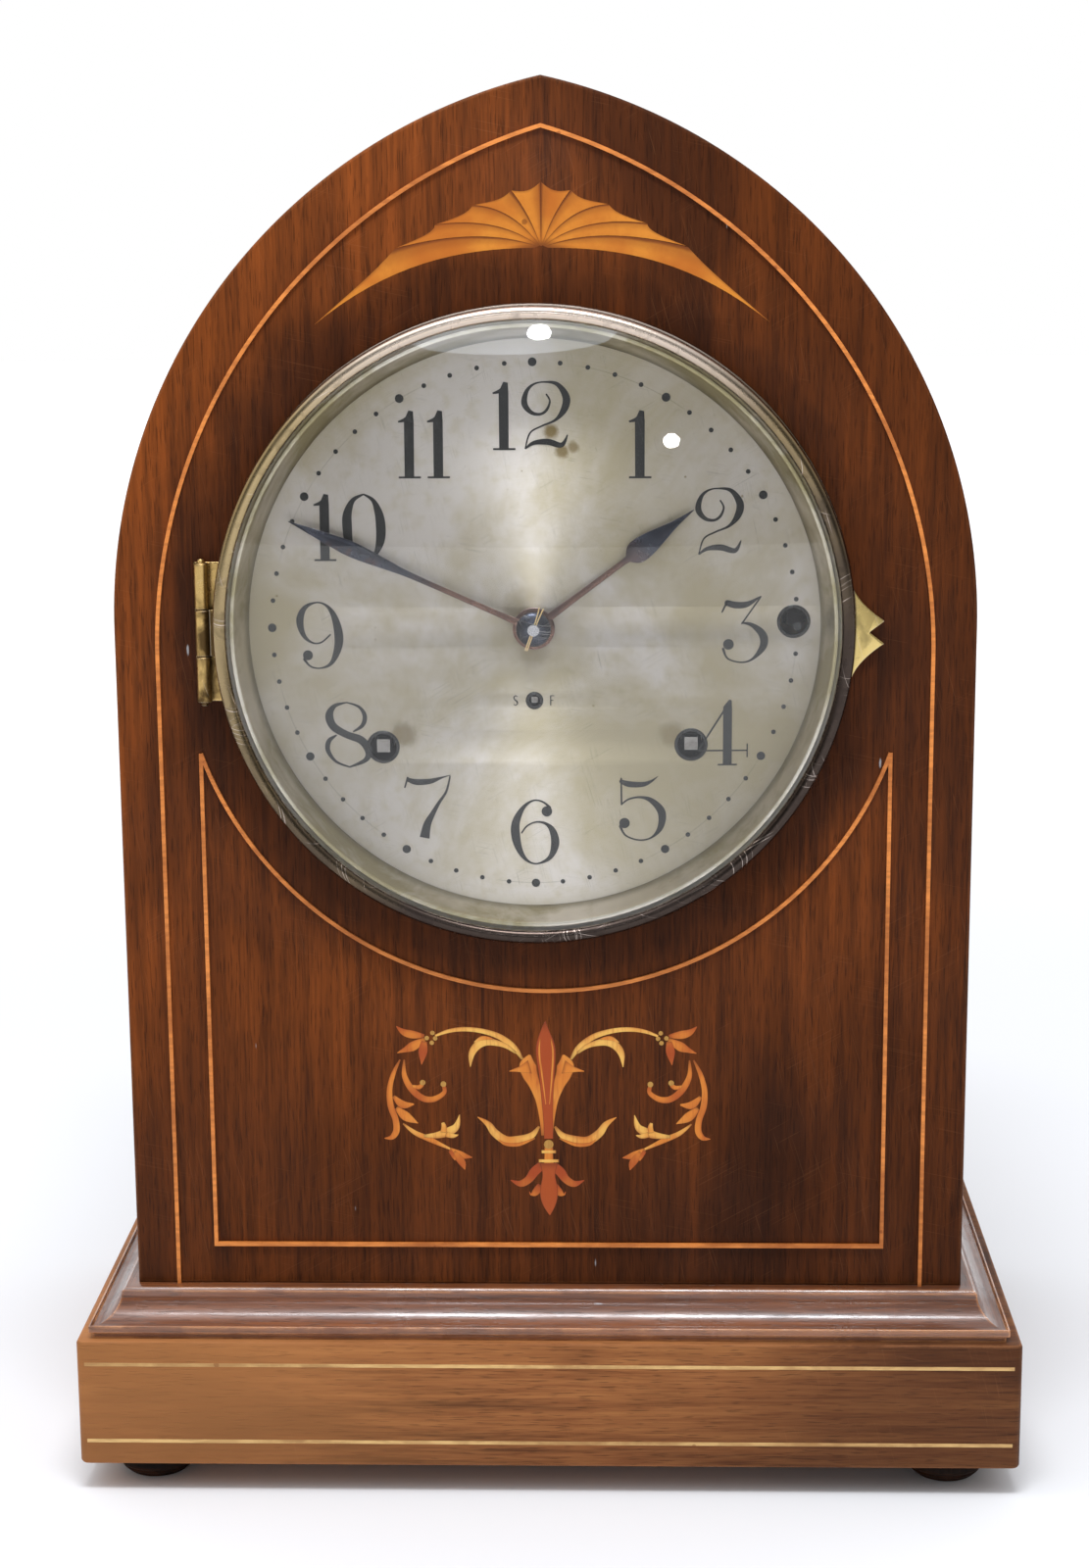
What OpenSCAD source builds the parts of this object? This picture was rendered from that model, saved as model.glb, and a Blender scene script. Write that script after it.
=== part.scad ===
// Chiming mantel clock: an inlaid mahogany case with a pointed arch on a moulded plinth,
// a hinged round bezel, a silvered dial, a time and strike movement, a second movement
// for the quarter chime behind it, and a nest of bells.
// The origin is on the floor under the centre of the plinth. The front looks towards -Y.

/* [Case] */
// Height from the floor to the tip of the arch
overall_h = 370; // [360:1:390]
// Width of the arched case
case_w = 221; // [216:1:230]
// Depth of the case, front panel to back frame
case_d = 150; // [149:1:165]
// Radius of each arc of the pointed arch
arch_r = 140.8; // [136:0.2:150]
// Thickness of the front panel
panel_t = 9; // [8.5:0.5:11]
// Thickness of the bent wrap that makes the sides and the arch
wrap_t = 8; // [6:0.5:9]
// Thickness of the back frame and its door
back_t = 7; // [6:0.5:8]

/* [Plinth] */
// How far the plinth block stands out at each side of the case
block_side = 15.2; // [13:0.1:18]
// How far the plinth block stands out in front of the case
block_front = 13.3; // [13.2:0.1:16]
// How far the plinth block stands out behind the case
block_back = 6.7; // [6.5:0.1:10]
// Height of the plinth block
block_h = 35.1; // [30:0.1:40]
// Rounding of the upright corners of the plinth block
block_corner_r = 2; // [0.5:0.5:5]
// Height of the cove moulding between plinth and case
moulding_h = 11.5; // [11:0.1:14]
// Radius of the cove cut into the moulding
cove_r = 7.8; // [6:0.1:8]
// Height of the turned feet
foot_h = 8.2; // [6:0.1:12]
// Radius of the turned feet
foot_r = 11; // [8:0.5:13]
// Distance of each foot's rim from the faces of the plinth block
foot_inset = 7; // [4:0.5:12]

/* [Inlay] */
// Width of the stringing lines
line_w = 1; // [0.8:0.1:1.6]
// Depth that every inlay is let into the wood
inlay_t = 0.7; // [0.5:0.1:1]
// Distance of the outer stringing from the edge of the case
string_inset = 10.6; // [8:0.1:14]
// Radius of each arc of the outer stringing
string_r = 139; // [134:0.5:142]
// Half width of the lower panel's stringing
lower_w = 89.5; // [84:0.5:92]
// Distance of the lower panel's hollow top outside the bezel's lip
lower_out = 11.7; // [10.6:0.1:16]
// Height of the fan's tip above the bezel's lip
fan_out = 29.6; // [29.1:0.1:31]
// Place of the scrollwork's middle, as a share of the lower panel's height
scroll_share = 0.5; // [0.47:0.01:0.53]

/* [Dial] */
// Sideways offset of the dial from the case's centre line
dial_shift = -2.5; // [-4:0.5:0]
// Height of the dial centre above the spring line of the arch
dial_rise = 0.3; // [-2:0.1:2]
// Distance of the dial plate's edge inside the bezel's lip
dial_in = 5.7; // [5.3:0.1:6.9]
// Thickness of the dial plate
dial_t = 1; // [0.8:0.1:1.4]
// Depth of the dial face behind the front of the case
dial_recess = 5.9; // [5:0.1:6.5]
// Distance of the visible edge of the dial inside the bezel's lip
sight_in = 9.2; // [8.4:0.1:9.9]
// Distance of the ring of minute dots inside the visible edge
dot_ring_in = 5.95; // [4.75:0.1:7.75]
// Distance of the circle through the numerals inside the visible edge
numeral_in = 19.2; // [18.2:0.1:20.7]
// Height of the numerals
numeral_h = 17; // [14:0.5:18]
// Radius of the winding holes
wind_hole_r = 3.9; // [3.5:0.1:4.4]

/* [Bezel] */
// Radius of the lip of the bezel
bezel_r = 81.9; // [81:0.1:83]
// Distance of the glass's edge inside the bezel's lip
glass_in = 3.5; // [3.1:0.1:3.9]
// Thickness of the glass
glass_t = 1.6; // [1.2:0.1:2]
// Rise of the glass from rim to middle
glass_rise = 5.2; // [3:0.1:5.4]
// Distance from the bezel's lip to the hinge pin
hinge_gap = 2.8; // [2.4:0.1:3.5]
// Length of the bezel hinge
hinge_l = 36; // [30:1:40]

/* [Hands] */
// Distance of the minute hand's tip inside the visible edge
minute_in = 5; // [3:0.5:12]
// Distance of the hour hand's tip inside the visible edge
hour_in = 22.4; // [20.9:0.5:30.9]
// Direction of the minute hand at rest, clockwise from twelve
minute_dir = 294; // [0:1:359]
// Direction of the hour hand at rest, clockwise from twelve
hour_dir = 53.5; // [0:0.5:359.5]

/* [Movement] */
// Distance of the front plate behind the front of the case
plate_v = 20; // [19.5:0.5:21]
// Gap between the two plates
plate_gap = 40.5; // [40.5:0.5:44]
// Thickness of the movement plates
plate_t = 1.5; // [1.2:0.1:1.8]
// Radius of the spring barrels
barrel_r = 18.5; // [16:0.5:19]
// Side of the winding squares
square_w = 3.3; // [3:0.1:3.6]
// Distance of the pendulum's bending point above the dial centre
pivot_rise = 50; // [49:0.5:50.5]
// Height of the pendulum bob above the hour bell
bob_gap = 28; // [25:1:32]
// Radius of the pendulum bob
bob_r = 18; // [14:0.5:19]

/* [Chime] */
// Distance of the chime movement's front plate behind the front of the case
chime_v = 85; // [84:0.5:86]
// Gap between the chime movement's plates
chime_gap = 37; // [36.5:0.5:38.5]
// Radius of the largest bell of the nest
bell_r = 32; // [30:0.5:33]
// Step in radius from one bell to the next
bell_step = 3.5; // [3.3:0.1:3.9]
// Wall of the bells
bell_t = 1.2; // [1:0.1:1.5]
// Radius of the hour bell
hour_bell_r = 27; // [24:0.5:28]
// Distance between hammers along the nest
hammer_pitch = 7; // [7:0.1:7.4]

/* [Hidden] */

$fn = 96;
// Clearance between a part that opens and its frame
gap = 0.3;
// Radial clearance of a pivot or pipe in its hole
run = 0.05;
// A cut that runs past a face goes this far beyond it
over = 1;

// Case frame
half_w = case_w / 2;
base_d = case_d + block_front + block_back;
front_y = block_front - base_d / 2;
block_top = foot_h + block_h;
case_z = block_top + moulding_h;
arch_e = arch_r - half_w;
spring_z = overall_h - sqrt(arch_r * arch_r - arch_e * arch_e);
string_e = string_r - (half_w - string_inset);
string_drop = 7.5;
string_spring = spring_z - string_drop;
dial_x = dial_shift;
dial_z = spring_z + dial_rise;
lower_z = case_z + 10.8;
lower_r = bezel_r + lower_out;
lower_middle = dial_z - 2.1;
lower_horn = 28;
fan_rise = bezel_r + fan_out;
scroll_room = lower_middle - lower_r - lower_z;
scroll_scale = scroll_room / 71.5;
scroll_z = lower_z + scroll_share * scroll_room;
back_v = case_d - back_t;

// Dial and hands, inside the bezel's lip
dial_r = bezel_r - dial_in;
sight_r = bezel_r - sight_in;
glass_r = bezel_r - glass_in;
dot_ring_r = sight_r - dot_ring_in;
numeral_r = sight_r - numeral_in;
minute_l = sight_r - minute_in;
hour_l = sight_r - hour_in;

// Bezel, distances forward of the front of the case
bezel_lip = 1.7;
bead_r = 1.8;
bead_c = glass_r + 1.3;
glass_front = 7.5;
bead_f = 7;
hinge_x = dial_x - bezel_r - hinge_gap;
hinge_f = 2.2;
knuckle_r = 1.9;
pin_r = 0.9;
leaf_t = 0.9;
leaf_w = 10;
leaf_out = 2.2;
moving_l = 12;
hinge_z = dial_z - 0.8;

// Arbors, as [x, z] from the dial centre, and the teeth of each wheel and pinion
time_a = [39.9, -30.3];
strike_a = [-38.9, -30.8];
chime_a = [sight_r - 6.9, 1.3];
regulator_a = [0, -18.7];
great_m = 0.7;
great_n = 72;
second_pinion_n = 12;
second_m = 0.68;
second_n = 50;
centre_pinion_n = 12;
centre_m = 0.42;
centre_n = 80;
third_m = 0.36;
third_n = 77;
leaf_n = 7;
escape_n = 38;
escape_r = 13;
centre_a = [0, 0];
second_a = meet(time_a, mesh(great_n, second_pinion_n, great_m),
    centre_a, mesh(second_n, centre_pinion_n, second_m), 1);
escape_a = [0, pivot_rise - 17];
third_a = meet(centre_a, mesh(centre_n, leaf_n, centre_m),
    escape_a, mesh(third_n, leaf_n, third_m), 1);
verge_a = [0, pivot_rise];
motion_m = 0.5;
cannon_n = 12;
minute_n = 36;
minute_pinion_n = 10;
hour_n = 40;
motion_a = centre_a + polar(mesh(cannon_n, minute_n, motion_m), 150);
hour_m = 2 * norm(motion_a) / (minute_pinion_n + hour_n);
strike_n = 64;
lifting_a = strike_a + polar(mesh(strike_n, second_pinion_n, great_m), 75);
lifting_m = 0.5;
lifting_n = 60;
fly_n = 8;
strike_fly_a = lifting_a + polar(mesh(lifting_n, fly_n, lifting_m), 80);
hammer_a = lifting_a + [-18, -1.9];
chime_m = 0.6;
drum_pinion_n = 20;
drum_a = chime_a + polar(mesh(great_n, drum_pinion_n, chime_m), 222);
drum_n = 68;
drum_m = 0.5;
chime_fly_a = drum_a + polar(mesh(drum_n, fly_n, drum_m), 135);
drum_pin_r = 10;
hammer_reach = 19.2;
hammer_arbor_a = drum_a + polar(hammer_reach, 230);

// Planes of the wheels, as distances behind the front of the case
plate_in = plate_v + plate_t;
plate_out = plate_in + plate_gap;
great_v = plate_in + 2.5;
barrel_v = great_v + 3;
barrel_l = 18.5;
second_v = plate_in + 28.5;
centre_v = plate_in + 33.5;
third_v = plate_in + 22.5;
escape_v = plate_in + 36;
lifting_v = plate_in + 29.5;
chime_in = chime_v + plate_t;
chime_out = chime_in + chime_gap;
dial_back_v = dial_recess + dial_t;
square_v = dial_back_v + 1.6;
minute_hand_v = 1.2;
hour_hand_v = 3.1;
hand_t = 0.5;

// Plates, from the dial centre
plate_half = 63;
plate_low = -63;
plate_high = 61;
pillars = [[-58, 46], [58, 46], [-58, -56], [58, -56]];
pillar_r = 2.5;
stud_r = 1.5;
nut_t = 1.6;
stays = [[-54, 56], [54, 56], [-50, -60], [50, -60]];
stay_r = 2.4;
screw_r = 1.3;

// Chime movement and bells
chime_plate_x = [drum_a.x - 24, chime_a.x + 24];
chime_plate_z = [drum_a.y - 21, chime_a.y + 26];
chime_pillars = [[chime_plate_x[0] + 4, chime_plate_z[1] - 4],
    [chime_plate_x[1] - 4, chime_plate_z[1] - 4], [chime_plate_x[0] + 4, chime_plate_z[0] + 4],
    [chime_plate_x[1] - 4, chime_plate_z[0] + 4]];
shelf_t = 6;
shelf_z = dial_z + chime_plate_z[0];
board_t = 6;
bell_count = 4;
bell_x = 2;
bell_z = case_z + board_t + bell_r + 3.2;
bell_depth = 18;
hammer_head_r = 3.1;
hammer_head_l = 5;
hammer_v = chime_in + 6.5;
hour_bell_x = -16;
hour_bell_v = 50;
hour_bell_z = case_z + board_t + 16;
hour_bell_h = 24;
pendulum_l = dial_z + pivot_rise - bob_r - bob_gap - hour_bell_z - hour_bell_h;

// Back door
door_inset = 26;
door_foot = 14;
door_hinge_x = half_w - door_inset + gap;
door_hinge_v = case_d + 2.4;
door_hinges = [case_z + 45, spring_z - 25];
door_leaf_h = 26;

// A point at a distance and an angle, counter-clockwise from the right
function polar(r, a) = [r * cos(a), r * sin(a)];
// Distance between the centres of two wheels in mesh
function mesh(n1, n2, m) = (n1 + n2) * m / 2;
// Direction from one point to another
function dir(a, b) = atan2(b.y - a.y, b.x - a.x);
// Where a circle about p meets a circle about q, on the left or right of the line between
function meet(p, rp, q, rq, side) =
    let (d = norm(q - p), a = (rp * rp - rq * rq + d * d) / (2 * d), u = (q - p) / d,
        h = side * sqrt(max(0, rp * rp - a * a)))
    p + a * u + h * [-u.y, u.x];
// Turn that puts a tooth, or with half = 1 a gap, on the line from one arbor to its mate
function facing(n, p, mate, half = 0) = dir(p, mate) + half * 180 / n;

// A flat outline in the front view, drawn from the case's centre line, as a slab between
// two distances behind the front of the case
module slab(v0, v1) {
    translate([0, front_y + v1, 0])
        rotate([90, 0, 0])
            linear_extrude(v1 - v0)
                children();
}

// The same, drawn from the dial centre
module dial_slab(v0, v1) {
    slab(v0, v1)
        translate([dial_x, dial_z])
            children();
}

// A round arbor about a point taken from the dial centre
module arbor(p, r, v0, v1) {
    dial_slab(v0, v1)
        translate(p)
            circle(r);
}

// A profile of radius and distance forward of the case, turned about the dial centre
module dial_turned() {
    translate([dial_x, front_y, dial_z])
        rotate([90, 0, 0])
            rotate_extrude($fn = 180)
                children();
}

// Outline of the arched case, drawn in by an even distance
module arch_outline(inset) {
    translate([inset - half_w, case_z])
        square([case_w - 2 * inset, spring_z - case_z]);
    pointed_top(arch_r - inset, arch_e, spring_z);
}

// The two arcs above a spring line, each struck from beyond the centre line
module pointed_top(r, e, z) {
    intersection() {
        translate([e, z])
            circle(r, $fn = 180);
        translate([-e, z])
            circle(r, $fn = 180);
        translate([-r, z])
            square([2 * r, r]);
    }
}

// Outline inside the outer stringing
module string_outline(inset) {
    w = half_w - string_inset - inset;
    translate([-w, case_z - over])
        square([2 * w, string_spring - case_z + over]);
    pointed_top(string_r - inset, string_e, string_spring);
}

// Outline of the lower panel, hollowed on top about the dial
module lower_outline(inset) {
    difference() {
        translate([inset - lower_w, lower_z + inset])
            square([2 * (lower_w - inset), dial_z - lower_z - inset - lower_horn]);
        translate([0, lower_middle])
            circle(lower_r + inset, $fn = 180);
    }
}

module string_lines() {
    intersection() {
        difference() {
            string_outline(0);
            string_outline(line_w);
        }
        translate([-half_w, case_z])
            square([case_w, overall_h]);
    }
    difference() {
        lower_outline(0);
        lower_outline(line_w);
    }
}

// Fan of blades: scalloped tips, and an under edge that droops to the two points
fan_tips = [[0, 0], [7.4, -2.1], [16.8, -5.6], [26.4, -10.3], [36.4, -16], [57.5, -35.1]];
fan_hollows = [0.07, 0.07, 0.07, 0.07, 0.03];
fan_hub = [0, -16.1];
fan_seam = 0.25;
function fan_under(x) = fan_hub.y - 3.9 * pow(abs(x) / 30, 2.434);
function between(a, b, t) = a + (b - a) * t;
// Point on the hollow edge of blade i, pulled in towards the hub
function hollow(i, t) =
    let (a = fan_tips[i], b = fan_tips[i + 1], p = between(a, b, 0.5),
        pull = (fan_hub - p) / norm(fan_hub - p))
    between(a, b, t) + 4 * t * (1 - t) * fan_hollows[i] * norm(b - a) * pull;
fan_edge = concat([for (i = [0:len(fan_tips) - 2], t = [0:0.2:0.9]) hollow(i, t)],
    [fan_tips[len(fan_tips) - 1]]);

module fan_outline() {
    under = [for (x = [53:-5.3:-53.1]) [x, fan_under(x)]];
    translate([0, dial_z + fan_rise])
        polygon(concat(fan_edge, under,
            [for (i = [len(fan_edge) - 1:-1:1]) [-fan_edge[i].x, fan_edge[i].y]]));
}

module fan_blades() {
    difference() {
        fan_outline();
        translate([0, dial_z + fan_rise])
            for (side = [-1, 1], i = [0:len(fan_tips) - 2])
                fan_line([side * fan_tips[i].x, fan_tips[i].y]);
    }
}

// Fine gap from under the hub to beyond a tip
module fan_line(tip) {
    u = (tip - fan_hub) / norm(tip - fan_hub);
    n = [-u.y, u.x] * fan_seam / 2;
    polygon([fan_hub - u + n, tip + u + n, tip + u - n, fan_hub - u - n]);
}

// A leaf or stem: a centre line of [x, z] points with its half width at each
function normal_at(p, i) =
    let (a = p[max(0, i - 1)], b = p[min(len(p) - 1, i + 1)], d = [b.x - a.x, b.y - a.y])
    [-d.y, d.x] / norm(d);
module ribbon(p) {
    polygon(concat(
        [for (i = [0:len(p) - 1]) [p[i].x, p[i].y] + p[i].z * normal_at(p, i)],
        [for (i = [len(p) - 1:-1:0]) [p[i].x, p[i].y] - p[i].z * normal_at(p, i)]));
}

// Right half of the scrollwork, drawn from its own middle
scroll_ribbons = [
    // Torch: side point, central blade and foot
    [[1.2, 2.6, 0.9], [3.4, 8, 1.5], [6.2, 11.6, 1.3], [9.8, 13.2, 0.2]],
    [[0, 26.9, 0.1], [0.2, 20, 2.3], [0.3, 12, 3], [0.2, 3, 1.6]],
    // Arching stem with its forked leaf
    [[4.6, 13.6, 0.3], [7.6, 18.6, 0.7], [13, 22.6, 0.8], [20, 24.1, 0.6], [26, 23.4, 0.5],
        [31.6, 21.8, 0.4]],
    [[9.6, 21.2, 0.3], [14.4, 20.6, 1.2], [18.4, 18.2, 1.2], [19.8, 14.2, 0.2]],
    // Outer leaf and the large outer scroll
    [[30, 21.9, 0.4], [34.4, 19.4, 1.6], [37.6, 22.4, 1.4], [38.8, 24.6, 0.2]],
    [[35.2, 17.4, 0.4], [38.6, 14, 1.2], [40.6, 8.4, 1.4], [40.4, 2.4, 1.3], [38.6, -2.4, 0.9],
        [35, -5.2, 0.4]],
    [[30.6, 16.2, 0.3], [29, 11.2, 0.9], [30.4, 6.6, 1], [34.4, 4.4, 0.9], [36.6, 8, 0.3]],
    [[23.4, 8.6, 0.3], [26, 7, 0.9], [29.4, 8.6, 0.6], [31.4, 10.6, 0.2]],
    // Lower spray
    [[42.6, -5.4, 0.2], [38.8, -4.4, 1.2], [35.8, -1.4, 0.5]],
    [[36.4, -3.2, 0.4], [31.4, -6.2, 1.3], [26.6, -9, 1.1], [22.6, -11.2, 0.3]],
    [[25.8, -8.8, 0.9], [24.2, -12, 1], [22.2, -14.6, 0.1]],
    // Small scroll at the foot of the torch
    [[2, -3.2, 0.5], [6, -6.4, 1], [10.4, -6.4, 1.1], [14.2, -2.8, 0.8], [18.8, 0.6, 0.1]],
    [[8, -6.9, 0.6], [12.6, -8, 0.9], [15, -5.8, 0.1]],
    // Leaf drop under the torch
    [[0.6, -11.8, 0.8], [3.6, -14, 1.5], [7, -15, 1.2], [10, -17.4, 0.2]],
    [[0, -11.4, 1.4], [0.2, -18, 1.9], [0.2, -23, 1.4], [0, -27, 0.2]],
    [[2, -17.6, 0.4], [4.6, -20.2, 1], [6.4, -20.6, 0.2]]
];
module scroll_outline() {
    translate([0, scroll_z])
        scale(scroll_scale) {
            for (side = [0, 1])
                mirror([side, 0])
                    for (p = scroll_ribbons)
                        ribbon(p);
            translate([-1.2, -12])
                square([2.4, 15]);
            for (z = [-3.2, -9.4])
                translate([-2.6, z])
                    square([5.2, 1.4]);
        }
}

// Strokes of each numeral on a box one unit high, as [x, y, half width]
thin = 0.028;
bold = 0.085;
glyphs = [
    [0.62, [[[0.31, 0, thin], [0.1, 0.12, 0.05], [0.06, 0.5, bold], [0.1, 0.88, 0.05], [0.31, 1, thin],
        [0.52, 0.88, 0.05], [0.56, 0.5, bold], [0.52, 0.12, 0.05], [0.31, 0, thin]]]],
    [0.36, [[[0.02, 0.79, 0.01], [0.1, 0.83, 0.035], [0.2, 0.96, 0.03]],
        [[0.2, 0.99, bold], [0.2, 0.03, bold]],
        [[0.02, 0.02, 0.02], [0.38, 0.02, 0.02]]]],
    [0.6, [[[0.05, 0.76, 0.05], [0.08, 0.9, 0.04], [0.28, 0.98, 0.03], [0.48, 0.88, 0.07],
        [0.5, 0.68, bold],
        [0.36, 0.45, 0.05], [0.12, 0.22, thin], [0.05, 0.06, thin]],
        [[0.05, 0.08, 0.05], [0.22, 0.14, 0.05], [0.4, 0.04, 0.06], [0.56, 0.16, thin]]]],
    [0.58, [[[0.05, 0.82, 0.05], [0.12, 0.94, 0.04], [0.28, 0.98, 0.03], [0.45, 0.88, 0.07],
        [0.46, 0.7, bold], [0.34, 0.56, 0.04], [0.2, 0.54, thin]],
        [[0.24, 0.54, thin], [0.42, 0.46, 0.05], [0.51, 0.26, bold], [0.42, 0.06, 0.05], [0.22, 0, thin],
        [0.08, 0.06, 0.04], [0.05, 0.18, 0.05]]]],
    [0.64, [[[0.46, 0.98, 0.02], [0.24, 0.6, thin], [0.03, 0.27, thin]],
        [[0.01, 0.26, thin], [0.62, 0.26, thin]],
        [[0.44, 0.94, bold], [0.44, 0.03, bold]], [[0.3, 0.02, 0.02], [0.6, 0.02, 0.02]]]],
    [0.56, [[[0.5, 0.99, 0.02], [0.36, 0.93, 0.05], [0.12, 0.96, thin]],
        [[0.11, 0.98, 0.02], [0.09, 0.54, 0.02]],
        [[0.09, 0.5, thin], [0.28, 0.62, 0.04], [0.46, 0.5, 0.07], [0.5, 0.3, bold], [0.42, 0.08, 0.05],
        [0.24, 0, thin], [0.08, 0.06, 0.04], [0.06, 0.18, 0.05]]]],
    [0.6, [[[0.52, 0.84, 0.05], [0.46, 0.95, 0.04], [0.32, 0.98, thin], [0.14, 0.82, 0.05],
        [0.08, 0.5, bold], [0.1, 0.2, 0.07], [0.3, 0, thin], [0.48, 0.1, 0.05], [0.54, 0.3, bold],
        [0.46, 0.5, 0.05],
        [0.32, 0.57, thin], [0.14, 0.42, 0.02]]]],
    [0.56, [[[0.02, 0.74, 0.02], [0.06, 0.9, 0.05], [0.2, 0.98, 0.05], [0.36, 0.9, 0.05],
        [0.54, 0.98, thin]],
        [[0.53, 0.95, thin], [0.36, 0.66, 0.04], [0.26, 0.36, 0.07], [0.24, 0.06, 0.095]]]],
    [0.6, [[[0.3, 0.53, 0.04], [0.12, 0.66, 0.07], [0.12, 0.88, 0.06], [0.3, 0.99, thin],
        [0.48, 0.86, 0.05],
        [0.46, 0.66, 0.05], [0.3, 0.53, 0.04]],
        [[0.3, 0.54, 0.04], [0.08, 0.38, 0.05], [0.08, 0.14, 0.06], [0.3, 0, thin], [0.52, 0.14, 0.07],
        [0.5, 0.36, bold], [0.3, 0.54, 0.04]]]],
    [0.6, [[[0.08, 0.14, 0.05], [0.14, 0.04, 0.04], [0.28, 0.01, thin], [0.46, 0.17, 0.05],
        [0.52, 0.5, bold], [0.5, 0.79, 0.07], [0.3, 0.99, thin], [0.12, 0.9, 0.05],
        [0.06, 0.68, bold], [0.14, 0.49, 0.05],
        [0.28, 0.42, thin], [0.46, 0.56, 0.02]]]]];
digit_gap = 0.04;
function digits(n) = n < 10 ? [n] : [floor(n / 10), n % 10];
function span(d) = d[0] == undef ? 0
    : len(d) == 1 ? glyphs[d[0]][0]
    : glyphs[d[0]][0] + digit_gap + glyphs[d[1]][0];

module glyph(d) {
    for (stroke = glyphs[d][1]) {
        for (q = stroke)
            translate([q.x, q.y])
                circle(q.z, $fn = 24);
        for (i = [0:len(stroke) - 2])
            stroke_side(stroke[i], stroke[i + 1]);
    }
}

// Straight sides between two points of a stroke
module stroke_side(a, b) {
    u = [b.x - a.x, b.y - a.y] / norm([b.x - a.x, b.y - a.y]);
    n = 0.94 * [-u.y, u.x];
    pa = [a.x, a.y];
    pb = [b.x, b.y];
    polygon([pa + a.z * n, pb + b.z * n, pb - b.z * n, pa - a.z * n]);
}

// Upright numeral with its middle on the numeral circle, at its hour
module numeral(hour) {
    d = digits(hour);
    translate([numeral_r * sin(30 * hour), numeral_r * cos(30 * hour)])
        scale(numeral_h)
            translate([-span(d) / 2, -0.5])
                for (k = [0:len(d) - 1])
                    translate([k * (glyphs[d[0]][0] + digit_gap), 0])
                        glyph(d[k]);
}

// Outline of a toothed wheel with straight flanks and pointed tips
function tooth(i, n, rs, ws) = [for (k = [0:5]) polar(rs[k], (i + ws[k]) * 360 / n)];
module toothed(n, m, is_pinion = false) {
    r = n * m / 2;
    low = r - (is_pinion ? 1.35 : 1.15) * m;
    high = r + (is_pinion ? 0.8 : 0.95) * m;
    w = is_pinion ? [0.22, 0.2, 0.09] : [0.3, 0.22, 0.08];
    rs = [low, r, high, high, r, low];
    ws = [-w[0], -w[1], -w[2], w[2], w[1], w[0]];
    polygon([for (i = [0:n - 1]) each tooth(i, n, rs, ws)]);
}

// A crossed-out wheel: rim with teeth, arms and a hub
wheel_arms = 5;
module wheel_outline(n, m, bore) {
    rim = n * m / 2 - 1.15 * m - 1.5;
    hub = bore + 2;
    difference() {
        toothed(n, m);
        difference() {
            circle(rim);
            circle(hub);
            for (k = [0:wheel_arms - 1])
                rotate(k * 360 / wheel_arms)
                    translate([0, -0.8])
                        square([rim + over, 1.6]);
        }
        circle(bore);
    }
}

// Wheel with a tooth, and pinion with a gap, turned to the arbor of its mate
module wheel_at(p, n, m, bore, mate, v0, t, half = 0) {
    dial_slab(v0, v0 + t)
        translate(p)
            rotate(facing(n, p, mate, half))
                wheel_outline(n, m, bore);
}

module pinion_at(p, n, m, mate, v0, t, half = 1) {
    dial_slab(v0, v0 + t)
        translate(p)
            rotate(facing(n, p, mate, half))
                toothed(n, m, true);
}

// Plate holes for the pivots of the arbors
pivot_r = 0.8;
arbor_r = 1.2;
wind_r = 2.6;
module pivot_holes(list, r) {
    for (p = list)
        translate(p)
            circle(r + run);
}

// Spring barrel: drum closed by the great wheel, round its own winding arbor
module barrel(p, r, wheel_v, drum_v, l, m, n, mate) {
    dial_slab(wheel_v, wheel_v + 2)
        translate(p)
            difference() {
                rotate(facing(n, p, mate))
                    toothed(n, m);
                circle(wind_r + run);
            }
    dial_slab(wheel_v + 2, drum_v)
        translate(p)
            difference() {
                circle(r - 4);
                circle(wind_r + run);
            }
    difference() {
        dial_slab(drum_v, drum_v + l)
            translate(p)
                circle(r);
        dial_slab(drum_v + 1.2, drum_v + l - 1.2)
            translate(p)
                circle(r - 1.2);
        dial_slab(drum_v - over, drum_v + l + over)
            translate(p)
                circle(wind_r + run);
    }
    dial_slab(drum_v + 1.8, drum_v + l - 1.8)
        translate(p)
            mainspring(wind_r + 3.6, r - 2);
}

// Coiled strip that fills the outer part of a drum
spring_turns = 5;
module mainspring(inner, outer) {
    turn = [for (a = [0:20:360 * spring_turns])
        concat(polar(between(outer, inner, a / (360 * spring_turns)), a), [0.45])];
    ribbon(turn);
}

// Winding arbor with its square, hook inside the drum, and ratchet behind it
ratchet_n = 18;
ratchet_r = 8;
module winding_arbor(p, square_v, in_v, drum_v, l, out_v) {
    dial_slab(square_v, square_v + 9)
        translate(p)
            square(square_w, center = true);
    arbor(p, wind_r, square_v + 9, out_v - plate_t - 0.4);
    arbor(p, pivot_r + 0.6, out_v - plate_t - 0.4, out_v - 0.1);
    dial_slab(drum_v + l / 2 - 2, drum_v + l / 2 + 2)
        translate(p)
            translate([0, -1])
                square([wind_r + 2.5, 2]);
    dial_slab(drum_v + l + 0.6, drum_v + l + 2.4)
        translate(p)
            polygon([for (i = [0:ratchet_n - 1]) each
                [polar(ratchet_r, i * 360 / ratchet_n),
                    polar(ratchet_r - 1.6, (i + 0.15) * 360 / ratchet_n)]]);
}

// Click and its stud, carried on the back of the drum, clear of the ratchet's tips
click_out = ratchet_r + 4.5;
module click(p, a, v) {
    dial_slab(v, v + 2.4)
        translate(p)
            rotate(a) {
                translate([click_out, 0])
                    circle(1.8);
                polygon([[click_out, 1.6], [click_out, -1.2], [ratchet_r + 0.4, -3.4],
                    [ratchet_r + 0.6, -1.6]]);
            }
}

// Case and plinth

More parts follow.
